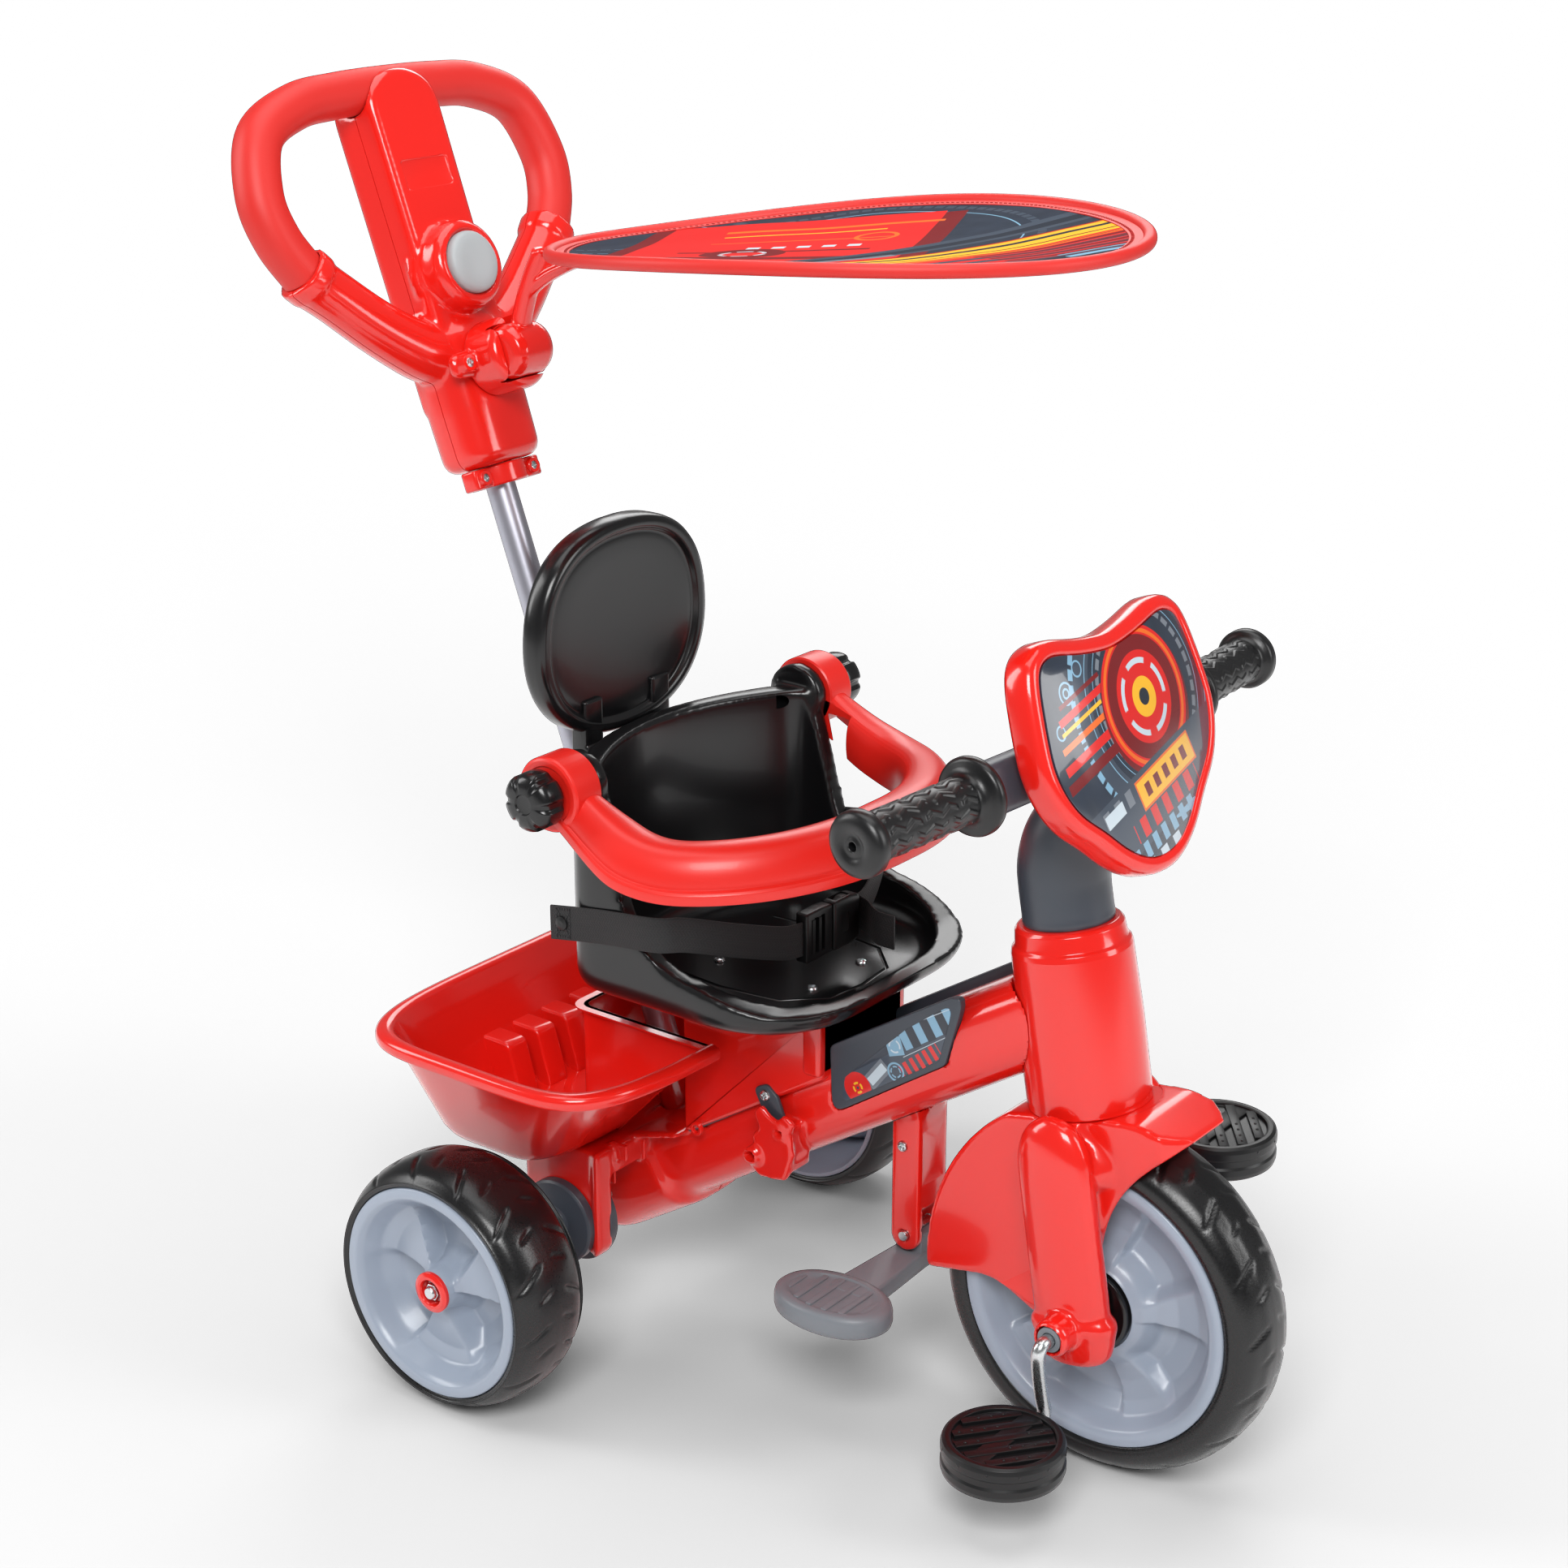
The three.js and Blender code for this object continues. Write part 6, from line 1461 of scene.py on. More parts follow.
def basketAt(share, grow=0.0):
    rows = basketSizes["rows"]
    low, high = (rows[0], rows[1]) if share < rows[1][0] else (rows[1], rows[2])
    mix = min(1.0, (share - low[0]) / (high[0] - low[0]))
    back, front, half = (a + (b - a) * mix for a, b in zip(low[1:], high[1:]))
    z = basketSizes["floor"] + share * (basketSizes["rim"] - basketSizes["floor"])
    middle, reach = (front + back) / 2, (front - back) / 2
    return [(middle + a, b, z) for a, b in superellipse(reach + grow, half + grow, 5, 200)]


def lifted(ring, rise):
    return [(x, y, z + rise) for x, y, z in ring]


def basketShell():
    b = basketSizes
    wall = b["wall"]
    rings = [basketAt(0, -9), basketAt(0, -5), lifted(basketAt(0, -2), 0.8),
        lifted(basketAt(0.02, -0.4), 0.6)]
    rings += [basketAt(s) for s in (0.05, 0.12, 0.3, 0.5, 0.7, 0.86)]
    edge = [(-b["lipDrop"], -1.2), (-b["lipDrop"] + 0.4, 2.2), (-b["lipDrop"] + 0.8, b["lip"] - 2.4),
        (-b["lipDrop"] + 1.8, b["lip"] - 0.7), (-b["lipDrop"] + 3.6, b["lip"]), (-4.5, b["lip"]),
        (-2.4, b["lip"] - 0.7), (-0.9, b["lip"] - 2.1), (-0.2, b["lip"] - 4), (0, 1.5), (-0.2, -1.6),
        (-1.3, -3.3), (-3.4, -4.2)]
    rings += [lifted(basketAt(1, out), rise) for rise, out in edge]
    rings += [basketAt(s, -wall - 0.4) for s in (0.88, 0.7, 0.5, 0.3, 0.14)]
    rings += [lifted(basketAt(0, -wall - 4), wall + 5), lifted(basketAt(0, -wall - 7), wall + 1.6),
        lifted(basketAt(0, -wall - 12), wall)]
    return skin(rings)


def basketRoom(grow):
    return skin([basketAt(s, grow) for s in (-0.02, 0, 0.12, 0.5, 0.985)])


def notchWalls():
    b = basketSizes
    rear, half, wall = b["notchRear"], b["notchHalf"], b["wall"]
    path = oblong(130, rear, half, -half)
    outside = oblong(130, rear - wall, half + wall, -half - wall)
    loop = [tuple(p) for p in filleted(outside, 12, 6, closed=False)] + [tuple(p)
        for p in reversed(filleted(path, 9, 6, closed=False))]
    walls = plate(loop, b["floor"] + 0.4, b["rim"] - 1.2, 0.5, "xy", 2)
    away = oblong(130, rear - 9, half + 9, -half - 9)
    edge = [tuple(p) for p in filleted(away, 16, 8, closed=False)] + [tuple(p)
        for p in reversed(filleted(path, 9, 8, closed=False))]
    lip = plate(edge, b["rim"] - 3.6, b["rim"] - 0.4, 1.2, "xy", 3)
    return [meet(walls, basketRoom(0.4)), meet(lip, basketRoom(0.4))]


def basketStep():
    b = basketSizes
    floor, back = b["floor"], b["rows"][2][1]
    deep, rise, half = b["stepDepth"], b["stepRise"], b["stepHalf"]
    outline = [(back - 4, floor + 1), (back - 4, floor + rise), (back + deep - 12, floor + rise - 1),
        (back + deep - 3, floor + 12), (back + deep, floor + 1)]
    shelf = plate(filleted(outline, 7, 5), -half, half, 4)
    ribs = []
    grown = [(back - 4, floor + 1), (back - 4, floor + rise + 2.4), (back + deep - 10.5, floor + rise + 1.6),
        (back + deep, floor + 13), (back + deep + 3, floor + 1)]
    for i in range(5):
        y = (i - 2) * 33
        ribs.append(plate(filleted(grown, 7, 5), y - 10.5, y + 10.5, 2.4))
    return [meet(one, basketRoom(-b["wall"] / 2)) for one in (shelf, *ribs)]


def makeBasket():
    b = basketSizes
    room = [block((b["notchRear"], -b["notchHalf"], 0), (300, b["notchHalf"], 500))]
    shell = linkMesh("basket_shell", *basketShell(), level)
    cutWith(shell, room, level)
    inside = linkMesh("basket_inside", *joinShapes(*notchWalls(), *basketStep()), level)
    fuse(shell, inside)
    finish(shell, redGloss, "frame_body", ["basket"], sharp=35)
    spots = [((x, y, b["floor"] + b["wall"]), (0, 0, 1))
        for x, y in ((-40, 0), (-30, 118), (-30, -118), (10, 84), (10, -84))]
    setScrews("basket_screws", (4.2, 2.4), spots, level, "frame_body")


def seatPlan(inset=0.0):
    s = seatSizes
    half, rear, front, bow = sizes["seatHalf"] - inset, s["rear"] + inset, s["front"] - inset, s["bow"]
    curve = [*bezier((rear + bow, half), (rear - bow, 0), (rear + bow, -half), count=40), (rear + bow, -half),
        (front - 80, -half), *bezier((front - 80, -half), (front - 30, -half), (front, -half + 40),
            (front, -half + 80), 16), (front, -half + 80), (front, half - 80),
        *bezier((front, half - 80), (front, half - 40), (front - 30, half), (front - 80, half), 16),
        (front - 80, half)]
    return evened(curve)


def seatProfile():
    s = seatSizes
    base, top = sizes["seatFloor"], sizes["seatFloor"] + s["back"]
    rim = base + s["sideRise"]
    return [(-100, base - 10), (s["front"] + 50, base - 10), (s["front"] + 50, base + 12), (200, base + 20),
        *bezier((150, rim - 2), (96, rim + 4), (84, rim + 50), count=14),
        *bezier((84, rim + 50), (72, top - 30), (60, top), count=10), (60, top), (-100, top)]


def makeSeat():
    s = seatSizes
    base = sizes["seatFloor"]
    body = meet(plate(seatPlan(), base, base + 500, 20, "xy", 7), plate(seatProfile(), -300, 300, 0.5))
    ear = rod(s["earRadius"], (s["pivotX"], sizes["seatHalf"] - s["ear"], s["pivotZ"]),
        (s["pivotX"], sizes["seatHalf"] + 0.4, s["pivotZ"]), 64)
    room = plate(seatPlan(s["rim"]), base + s["pan"], base + 520, 16, "xy", 7)
    stud = rod(s["stud"] + 0.3, (s["pivotX"], 100, s["pivotZ"]), (s["pivotX"], 150, s["pivotZ"]), 32)
    crease = swept([(x, y, base + s["pan"]) for x, y in [(70, 62), (120, 66), (170, 60), (196, 34), (200, 0),
                (196, -34), (170, -60), (120, -66), (70, -62)]], circle(1.8, 12), (0, 0, 1))
    piece = moulded("seat_bucket_shell", level, [body, ear, mirrored(ear)], s["voxel"], 9, cuts=[room],
        crisp=[stud, mirrored(stud), crease])
    finish(piece, blackGloss, "frame_body", ["seat_bucket"], sharp=50)
    spots = [((x, y, base + s["pan"] + 0.4), (0, 0, 1)) for x in (92, 176) for y in (-30, 30)]
    setScrews("seat_screws", (4.4, 2.2), spots, level, "frame_body")


def padLoop():
    p = padSizes
    tall = p["top"] - p["low"]
    half = [*bezier((0, p["low"]), (p["half"] * 0.75, p["low"]), (p["half"], p["low"] + 0.25 * tall),
            (p["half"], p["low"] + 0.48 * tall), 32), *bezier((p["half"], p["low"] + 0.48 * tall),
            (p["half"], p["top"] - 0.15 * tall), (p["half"] * 0.6, p["top"]), (0, p["top"]), 32)]
    clean = []
    for point in half:
        if not clean or math.dist(clean[-1], point) > 0.5:
            clean.append(tuple(point))
    return clean + [(-y, z) for y, z in reversed(clean[1:-1])]


def makeBackrest():
    p = padSizes
    loop = padLoop()
    middle = (p["low"] + p["top"]) / 2 - 2
    rear, front = p["rear"], p["front"]
    rows = [(rear + 6, 84), (rear + 5.6, 60), (rear + 5, 20), (rear + 4.4, 8.4), (rear + 0.5, 7.4),
        (rear, 6.4), (rear, 3.6), (rear + 0.9, 1.4), (rear + 3, 0.2), (rear + 7, 0), (front - 8, 0),
        (front - 4.2, 0.6), (front - 1.4, 2.4), (front - 0.2, 5.2), (front, 8), (front - 0.5, 10.2),
        (front - 1.8, 11.8), (front - 3.6, 13), (front - 4.2, 14.6), (front - 3.9, 16.4), (front - 3.6, 22),
        (front - 4.4, 36), (front - 5.4, 56), (front - 6, 84)]
    rings = []
    for x, inset in rows:
        k = 1 - inset / p["half"]
        rings.append([(x, y * k, middle + (z - middle) * k) for y, z in loop])
    pad = linkMesh("backrest_pad", *skin(rings), level)
    strut = [(-28, 382), (0.6, 382), (0.6, 446), (-16.5, 450), (-16.5, 484), (-31.5, 484),
        (-31.5, 438), (-28, 430)]
    low, high = p["strutY"] - p["strut"] / 2, p["strutY"] + p["strut"] / 2
    leg = plate(filleted(strut, 2.5, 4), low, high, 2.5)
    ribs = [block((rear + 3.5, y - 1.2, middle - r), (rear + 7, y + 1.2, middle + r))
        for y, r in ((-45, 50), (0, 62), (45, 50))]
    legs = linkMesh("backrest_legs", *joinShapes(leg, mirrored(leg), *ribs), level)
    fuse(pad, legs)
    finish(pad, blackGloss, "frame_body", ["backrest_upper"], sharp=40)
    spots = [((-28.2, side * p["strutY"], z), (-1, 0, 0)) for side in (1, -1) for z in (396, 420)]
    setScrews("backrest_screws", (3.6, 2.2), spots, level, "frame_body")


def ringMiddle(t):
    r = ringSizes
    turn = (t - 0.5) * 2
    arc = min(1.0, max(0.0, (1 - abs(turn)) / 0.3))
    bend = max(0.0, 1 - abs(turn) / 0.7)
    swing = bend * math.pi / 2
    x = arc * r["straight"] if arc < 1 else r["straight"] + (r["reach"] - r["straight"]) * math.sin(swing)
    arm = r["inner"] + r["width"] / 2
    y = math.copysign(arm * (1 if arc < 1 else math.cos(swing)), turn)
    fall = math.sin(min(1.0, x / (0.6 * r["reach"])) * math.pi / 2)
    return Vector((x, y, -r["drop"] * fall + 8 * bend))


bandOuter = [(-20.5, -17.5), (-22, -8), (-21.6, 2), (-19.4, 10), (-15, 15.2), (-8.5, 17.7), (-1, 17.9),
    (6, 15.8), (11.6, 11), (15.4, 4.6), (17.4, -2), (18.2, -8)]
bandSection = filleted([*[tuple(p) for p in curveThrough(bandOuter, 34)], (21.4, -8.8), (22.8, -10.6),
        (22.8, -17.8), (19.6, -17.8), (16, -8), (12, 4), (6, 10.6), (-1, 14), (-9, 14.4), (-15.4, 10.6),
        (-18.4, 2), (-17.4, -17.5)], 1.0, 2)


def makeSafetyRing():
    r = ringSizes
    place = frameAt(level @ Vector((seatSizes["pivotX"], 0, seatSizes["pivotZ"])))
    steps = 240
    flow = [tuple(ringMiddle(i / steps)) for i in range(steps + 1)]
    for _ in range(14):
        eased = [tuple(0.25 * np.array(a) + 0.5 * np.array(b) + 0.25 * np.array(c))
            for a, b, c in zip(flow, flow[1:], flow[2:])]
        flow = [flow[0]] + eased + [flow[-1]]
    rings = []
    for i, here in enumerate(flow):
        t = i / steps
        way = Vector(flow[min(i + 2, steps)]) - Vector(flow[max(i - 2, 0)])
        way.z = 0
        way.normalize()
        grown = 0.62 + 0.38 * smoothStep(min(t, 1 - t), 0.0, 0.16)
        tall = 0.86 + 0.14 * grown
        rings.append([(here[0] + way.y * a * grown, here[1] - way.x * a * grown, here[2] + b * tall)
                for a, b in bandSection])
    band = linkMesh("safety_ring_band", *skin(rings), place)
    inner, outer = r["inner"], r["inner"] + r["width"]
    cutWith(band, [block((-60, -inner, -60), (46, inner, 60))], place)
    drum = [(5.3, inner), (r["drum"] - 1.2, inner), (r["drum"], inner + 1.2), (r["drum"], outer - 2.4),
        (r["drum"] - 0.8, outer - 0.8), (r["drum"] - 2.6, outer), (r["drum"] - 6, outer),
        (r["drum"] - 7, outer - 1.2), (5.3, outer - 1.2)]
    drums = [spun(drum, 96, 0.3), mirrored(spun(drum, 96, 0.3))]
    ends = linkMesh("safety_ring_drums", *joinShapes(*drums), place)
    fuse(band, ends)
    finish(band, redSmooth, "ring_body", ["safety_ring"], sharp=38)


def knobBody():
    r = ringSizes
    base = r["inner"] + r["width"]
    wide = r["knob"]
    rows = [(5, r["inner"] - 12, 0), (5, base + 0.4, 0), (wide - 6, base + 0.4, 0), (wide - 5, base + 1, 0),
        (wide - 3.4, base + 2.4, 0.3), (wide - 0.6, base + 5, 0.8), (wide, base + 7, 1), (wide, base + 17, 1),
        (wide - 0.8, base + 20, 1), (wide - 3, base + 22.6, 1), (wide - 6, base + 24, 0.9),
        (wide - 9.5, base + 24.6, 0.5), (7.6, base + 24.8, 0), (6.8, base + 23.6, 0), (5, base + 23.4, 0),
        (0.02, base + 23.4, 0)]
    around = 180
    rings = []
    for radius, y, lobes in rows:
        ring = []
        for k in range(around):
            turn = 2 * math.pi * k / around
            dip = lobes * 2.5 * smoothStep(math.cos(6 * turn), 0.25, 0.95)
            ring.append(((radius - dip) * math.cos(turn), y, (radius - dip) * math.sin(turn)))
        rings.append(ring)
    return skin(rings)


def makeKnobs():
    spot = level @ Vector((seatSizes["pivotX"], 0, seatSizes["pivotZ"]))
    for side, word in bothSides:
        place = onSide(frameAt(spot), side)
        addPiece(f"ring_knob_{word}_head", knobBody(), place, blackGloss, f"knob_{word}_body",
            [f"ring_knob_{word}"], sharp=40)


makeBasket()
makeSeat()
makeBackrest()
makeSafetyRing()
makeKnobs()
print("stage: seat")


# seat bracket, footrest and its post
bracketSizes = {"rear": 72, "front": 200, "half": 50, "strapX": 150, "skirt": 20}
restSizes = {"x": 251, "z": 125, "half": 12, "width": 18, "gap": 12, "pin": 4, "padY": 98, "padX": 31,
    "padLong": 46, "thick": 17}


def shoulder(x):
    return beamAxisHeight(x) + sizes["beamHeight"] / math.cos(beamTilt) - bracketSizes["skirt"]


def makeBracket():
    b = bracketSizes
    top = sizes["seatFloor"] - 0.3
    rear, front, half = b["rear"], b["front"], b["half"]
    outline = [(rear, shoulder(rear)), (front, shoulder(front)), (front, top),
        (rear + 10, top), (rear, top - 30)]
    core = plate(filleted([(rear + 2, shoulder(rear)), (front - 2, shoulder(front)), (front - 2, top),
                (rear + 11, top), (rear + 2, top - 29)], 3), -half + 2, half - 2, 2)
    x, z = b["strapX"], shoulder(b["strapX"])
    strap = filleted([(x - 10, z + 10), (x + 2, z + 16), (x + 12, z + 8), (x + 26, z - 26), (x + 12, z - 30)],
        5, 4)
    strapPlate = plate(strap, half - 1, half + 2.2, 0.9)
    inside = linkMesh("seat_bracket_core", *core, level)
    cutWith(inside, [beamLoft(0.3)], level)
    straps = linkMesh("seat_bracket_straps", *joinShapes(strapPlate, mirrored(strapPlate)), level)
    fuse(inside, straps)
    finish(inside, charcoal, "frame_body", ["seat_bracket"], sharp=40)
    shell = plate(filleted(outline, 5, 5), -half, half, 4)
    rolled = plate(filleted(oblong(front - 16, front, shoulder(front) + 2, top), 4),
        -half - 2.4, half + 2.4, 3)
    ridge = plate(filleted([(rear, top - 34), (rear + 10, top - 3), (front, top - 3), (front, top - 12),
                (rear + 16, top - 12), (rear + 7, top - 40)], 2), -half - 1.6, half + 1.6, 1.2)
    cover = linkMesh("seat_tower", *shell, level)
    rims = linkMesh("seat_tower_rims", *joinShapes(rolled, ridge), level)
    cutWith(cover, [beamLoft(0.3)], level)
    cutWith(rims, [beamLoft(0.3)], level)
    fuse(cover, rims)
    finish(cover, redGloss, "frame_body", sharp=40)
    spots = [((x + 1, side * (half + 2.1), z + 7), (0, side, 0)) for side in (1, -1)]
    setScrews("bracket_screws", (4.4, 2.2), spots, level, "frame_body")


def makeFootPost():
    r = restSizes
    x, z, half, width = r["x"], r["z"], r["half"], r["width"]
    top = beamAxisHeight(x)
    body = block((x - half, -width, z), (x + half, width, top))
    foot = rod(half, (x, -width, z), (x, width, z), 48)
    flare = skin([[(x + a, b, h) for a, b in superellipse(half + f, width + f, 4, 48)]
            for h, f in ((top - 46, -0.6), (top - 40, 0.4), (top - 34, 2.4), (top - 22, 4.5), (top, 5.5))])
    post = moulded("footrest_post_shell", level, [body, foot, flare], 1.4, 5,
        crisp=[block((x - 40, -r["gap"], z - 30), (x + 40, r["gap"], z + half + 10)), beamLoft(0.3),
            rod(r["pin"] + 0.3, (x, -40, z), (x, 40, z), 32),
            block((x - half - 1, -width + 5, z + 40), (x - half + 3, width - 5, top - 50)),
            block((x + half - 2, -width + 5, z + 40), (x + half + 1, width - 5, top - 50))])
    finish(post, redGloss, "frame_body", ["footrest_post"], sharp=45)
    pin = spun([(0.02, -20), (3.4, -20), (4, -19.2), (4, 19.2), (3.4, 20), (0.02, 20)], 40, 0)
    addPiece("footrest_pin_rod", pin, frameAt(level @ Vector((x, 0, z))), zincBright, "frame_body",
        ["footrest_pin"], sharp=40)
    spots = [((x - 2, side * (width + 0.1), z + 71), (0, side, 0)) for side in (1, -1)]
    setScrews("post_screws", (4.2, 2.2), spots, level, "frame_body")


def makeFootrest():
    r = restSizes
    place = frameAt(level @ Vector((r["x"], 0, r["z"])))
    top = -r["half"] - 0.6
    low = top - r["thick"]
    loop = [(-4 + a, r["padY"] + b) for a, b in superellipse(r["padLong"], r["padX"], 2.1, 96)]
    rows = [(0, -2.2),  (1.6, -0.6), (4.5, 0), (11, 0), (14.4, -0.7), (16.2, -2.2), (17, -4.6), (17, -7.2),
        (15.6, -8.6), (15.3, -12)]
    rings = []
    for rise, inset in rows:
        k = 1 + inset / r["padX"]
        rings.append([(-4 + (x + 4) * k, r["padY"] + (y - r["padY"]) * k, low + rise) for x, y in loop])
    pad = skin(rings)
    treads = []
    for i in range(6):
        x = -4 + (i - 2.5) * 13
        half = math.sqrt(max(1 - ((x + 4) / (r["padLong"] - 9)) ** 2, 0.05)) * (r["padX"] - 9)
        treads.append(plate(filleted(oblong(x - 2.4, x + 2.4, r["padY"] - half, r["padY"] + half), 1.6, 3),
                top - 2.4, top - 0.4, 0.8, "xy", 3))
    bar = [(-18, r["padY"] - 8), (-14, 30), (-12, 0), (-14, -30), (-18, -r["padY"] + 8), (18, -r["padY"] + 8),
        (14, -30), (12, 0), (14, 30), (18, r["padY"] - 8)]
    beam = plate(filleted(bar, 8, 5), low + 2, top - 1.2, 2.4, "xy")
    neck = plate(filleted([(-r["half"] + 1, 0), (-r["half"] + 0.5, top - 4), (r["half"] - 0.5, top - 4),
                (r["half"] - 1, 0)], 1), -r["gap"] + 0.3, r["gap"] - 0.3, 0.8)
    hub = rod(r["half"] - 1, (0, -r["gap"] + 0.3, 0), (0, r["gap"] - 0.3, 0), 48)
    ribs = [block((x - 1, -r["padY"] + 20, low + 1), (x + 1, r["padY"] - 20, low + 4)) for x in (-9, 9)]
    piece = linkMesh("footrest_body_shell", *joinShapes(neck, hub), place)
    cutWith(piece, [rod(r["pin"] + 0.3, (0, -14, 0), (0, 14, 0), 32)], place)
    rest = linkMesh("pads", *joinShapes(pad, mirrored(pad), *treads, *[mirrored(t) for t in treads],
            beam, *ribs), place)
    fuse(piece, rest)
    finish(piece, midGrey, "footrest_body", ["footrest"], sharp=40)


# pole, its socket and collar, and the parent handle
handleSizes = {"collarTop": 15, "spineBack": -25, "spineFace": 20, "spineTop": 313, "bossZ": 161,
    "boss": 33.5, "bossFace": 38, "button": 23, "recess": 8.5, "travel": 4, "loop": 16.5, "half": 147,
    "height": 301, "bodyX": 28, "bodyY": 36, "seam": 0.35, "voxel": 1.8}


def makePole():
    r = sizes["poleRadius"]
    tube = aboutZ(spun(oblong(r - 1.2, r, -42, sizes["poleReach"] + 104), 72, 0.2))
    addPiece("push_pole_tube", tube, poleFrame, satinTube, "frame_body", ["push_pole"], sharp=40)
    s = frameSizes["socket"]
    socket = aboutZ(spun([(r + 0.3, -41), (r + 0.3, 51), (r + 1.2, 52), (s + 2, 52), (s + 3, 51), (s + 3, 45),
                (s + 2.2, 43.6), (s, 43), (s, -45), (s - 1, -46), (0.02, -46), (0.02, -41)], 72, 0.3))
    addPiece("pole_socket_tube", socket, poleFrame, redGloss, "frame_body", ["pole_socket"], sharp=40)
    top = handleSizes["collarTop"]
    ring = aboutZ(spun([(r + 0.3, 0), (r + 10, 0), (r + 11, 1.2), (r + 11, top - 1.2), (r + 10, top),
                (r + 0.3, top)], 72, 0.3))
    ears = [plate(filleted(oblong(-3, 12, y0, y1), 3), 0.2, top - 0.2, 1.6, "xy")
        for y0, y1 in ((12, 35), (-35, -12))]
    cups = [spunToX([(3.2, 10), (3.2, 14.4), (5.4, 14.6), (6, 14), (6.4, 10)], y, top / 2) for y in (-26, 26)]
    addPiece("pole_collar_ring", joinShapes(ring, *ears, *cups), handleFrame, redGloss, "frame_body",
        ["pole_collar"], sharp=40)
    spots = [((12, y, top / 2), (1, 0, 0)) for y in (-26, 26)]
    setScrews("collar_screws", (4.2, 2.4), spots, handleFrame, "frame_body")


def spunToX(profile, y, z, count=40):
    # a profile of (radius, x) turned about a line along X
    rings = [[(x, y + r * math.cos(2 * math.pi * k / count), z + r * math.sin(2 * math.pi * k / count))
            for k in range(count)] for r, x in profile]
    return skin(rings)


def tube(path, radii, count=48, deep=1.0):
    # a round bar whose size changes along a path lying in the plane X = 0
    spine = curveThrough([(*p, r) for p, r in zip(path, radii)], len(path) * 9)
    rings = []
    for i, (y, z, r) in enumerate(spine):
        a, b = spine[max(i - 1, 0)], spine[min(i + 1, len(spine) - 1)]
        ty, tz = b[0] - a[0], b[1] - a[1]
        run = math.hypot(ty, tz)
        rings.append([(p * deep, y + q * tz / run, z - q * ty / run)
                for p, q in superellipse(r, r, 2.2, count)])
    return skin(rings)


def loopPath(side=1):
    h = handleSizes
    return [(side * y, z) for y, z in ((h["half"] - 19, 178), (h["half"] - 4, 206), (h["half"], 238),
            (h["half"] - 16, 278), (h["half"] - 56, 296), (50, 300))]


def wholeLoop():
    return [*loopPath(1), (0, handleSizes["height"]), *reversed(loopPath(-1))]


def handleShapes():
    h = handleSizes
    outline = [(-34, 60), (34, 60), (36, 286), *bezier((36, 286), (34, h["spineTop"] - 2),
            (0, h["spineTop"]), count=10)]
    outline += [(-y, z) for y, z in reversed(outline[2:])]
    outline = evened(outline, 4, 3)
    spine = plate(outline, h["spineBack"], h["spineFace"], 6.5, "yz", 7)
    rings = []
    for rise, grow in ((h["collarTop"] + 0.3, -10), (h["collarTop"] + 1.2, -6), (h["collarTop"] + 4, -2.4),
        (24, -0.3), (30, 0), (60, 0.6), (100, 0.4), (114, -1), (126, -6), (132, -12)):
        rings.append([(a, b, rise) for a, b in superellipse(h["bodyX"] + grow, h["bodyY"] + grow, 3.2, 72)])
    body = skin(rings)
    arm = tube([(6, 92), (24, 103), (45, 112), (76, 133), (106, 158.5), (122, 172), (129, 180)],
        [27, 24, 21.5, 19.5, 18.8, 19.4, 20.4], deep=0.96)
    lip = tube([(121, 171.4), (130, 180.4)], [20.6, 20.9])
    boss = spunToX([(0.02, 0), (h["boss"] + 5, 8), (h["boss"] + 3.4, 14), (h["boss"] + 0.6, 20),
            (h["boss"], 26), (h["boss"] - 0.4, 31), (h["boss"] - 1.8, 35), (h["boss"] - 4.4, 37.6),
            (h["boss"] - 7, h["bossFace"]), (0.02, h["bossFace"])], 0, h["bossZ"], 96)
    return [spine, body, arm, mirrored(arm), lip, mirrored(lip), boss]


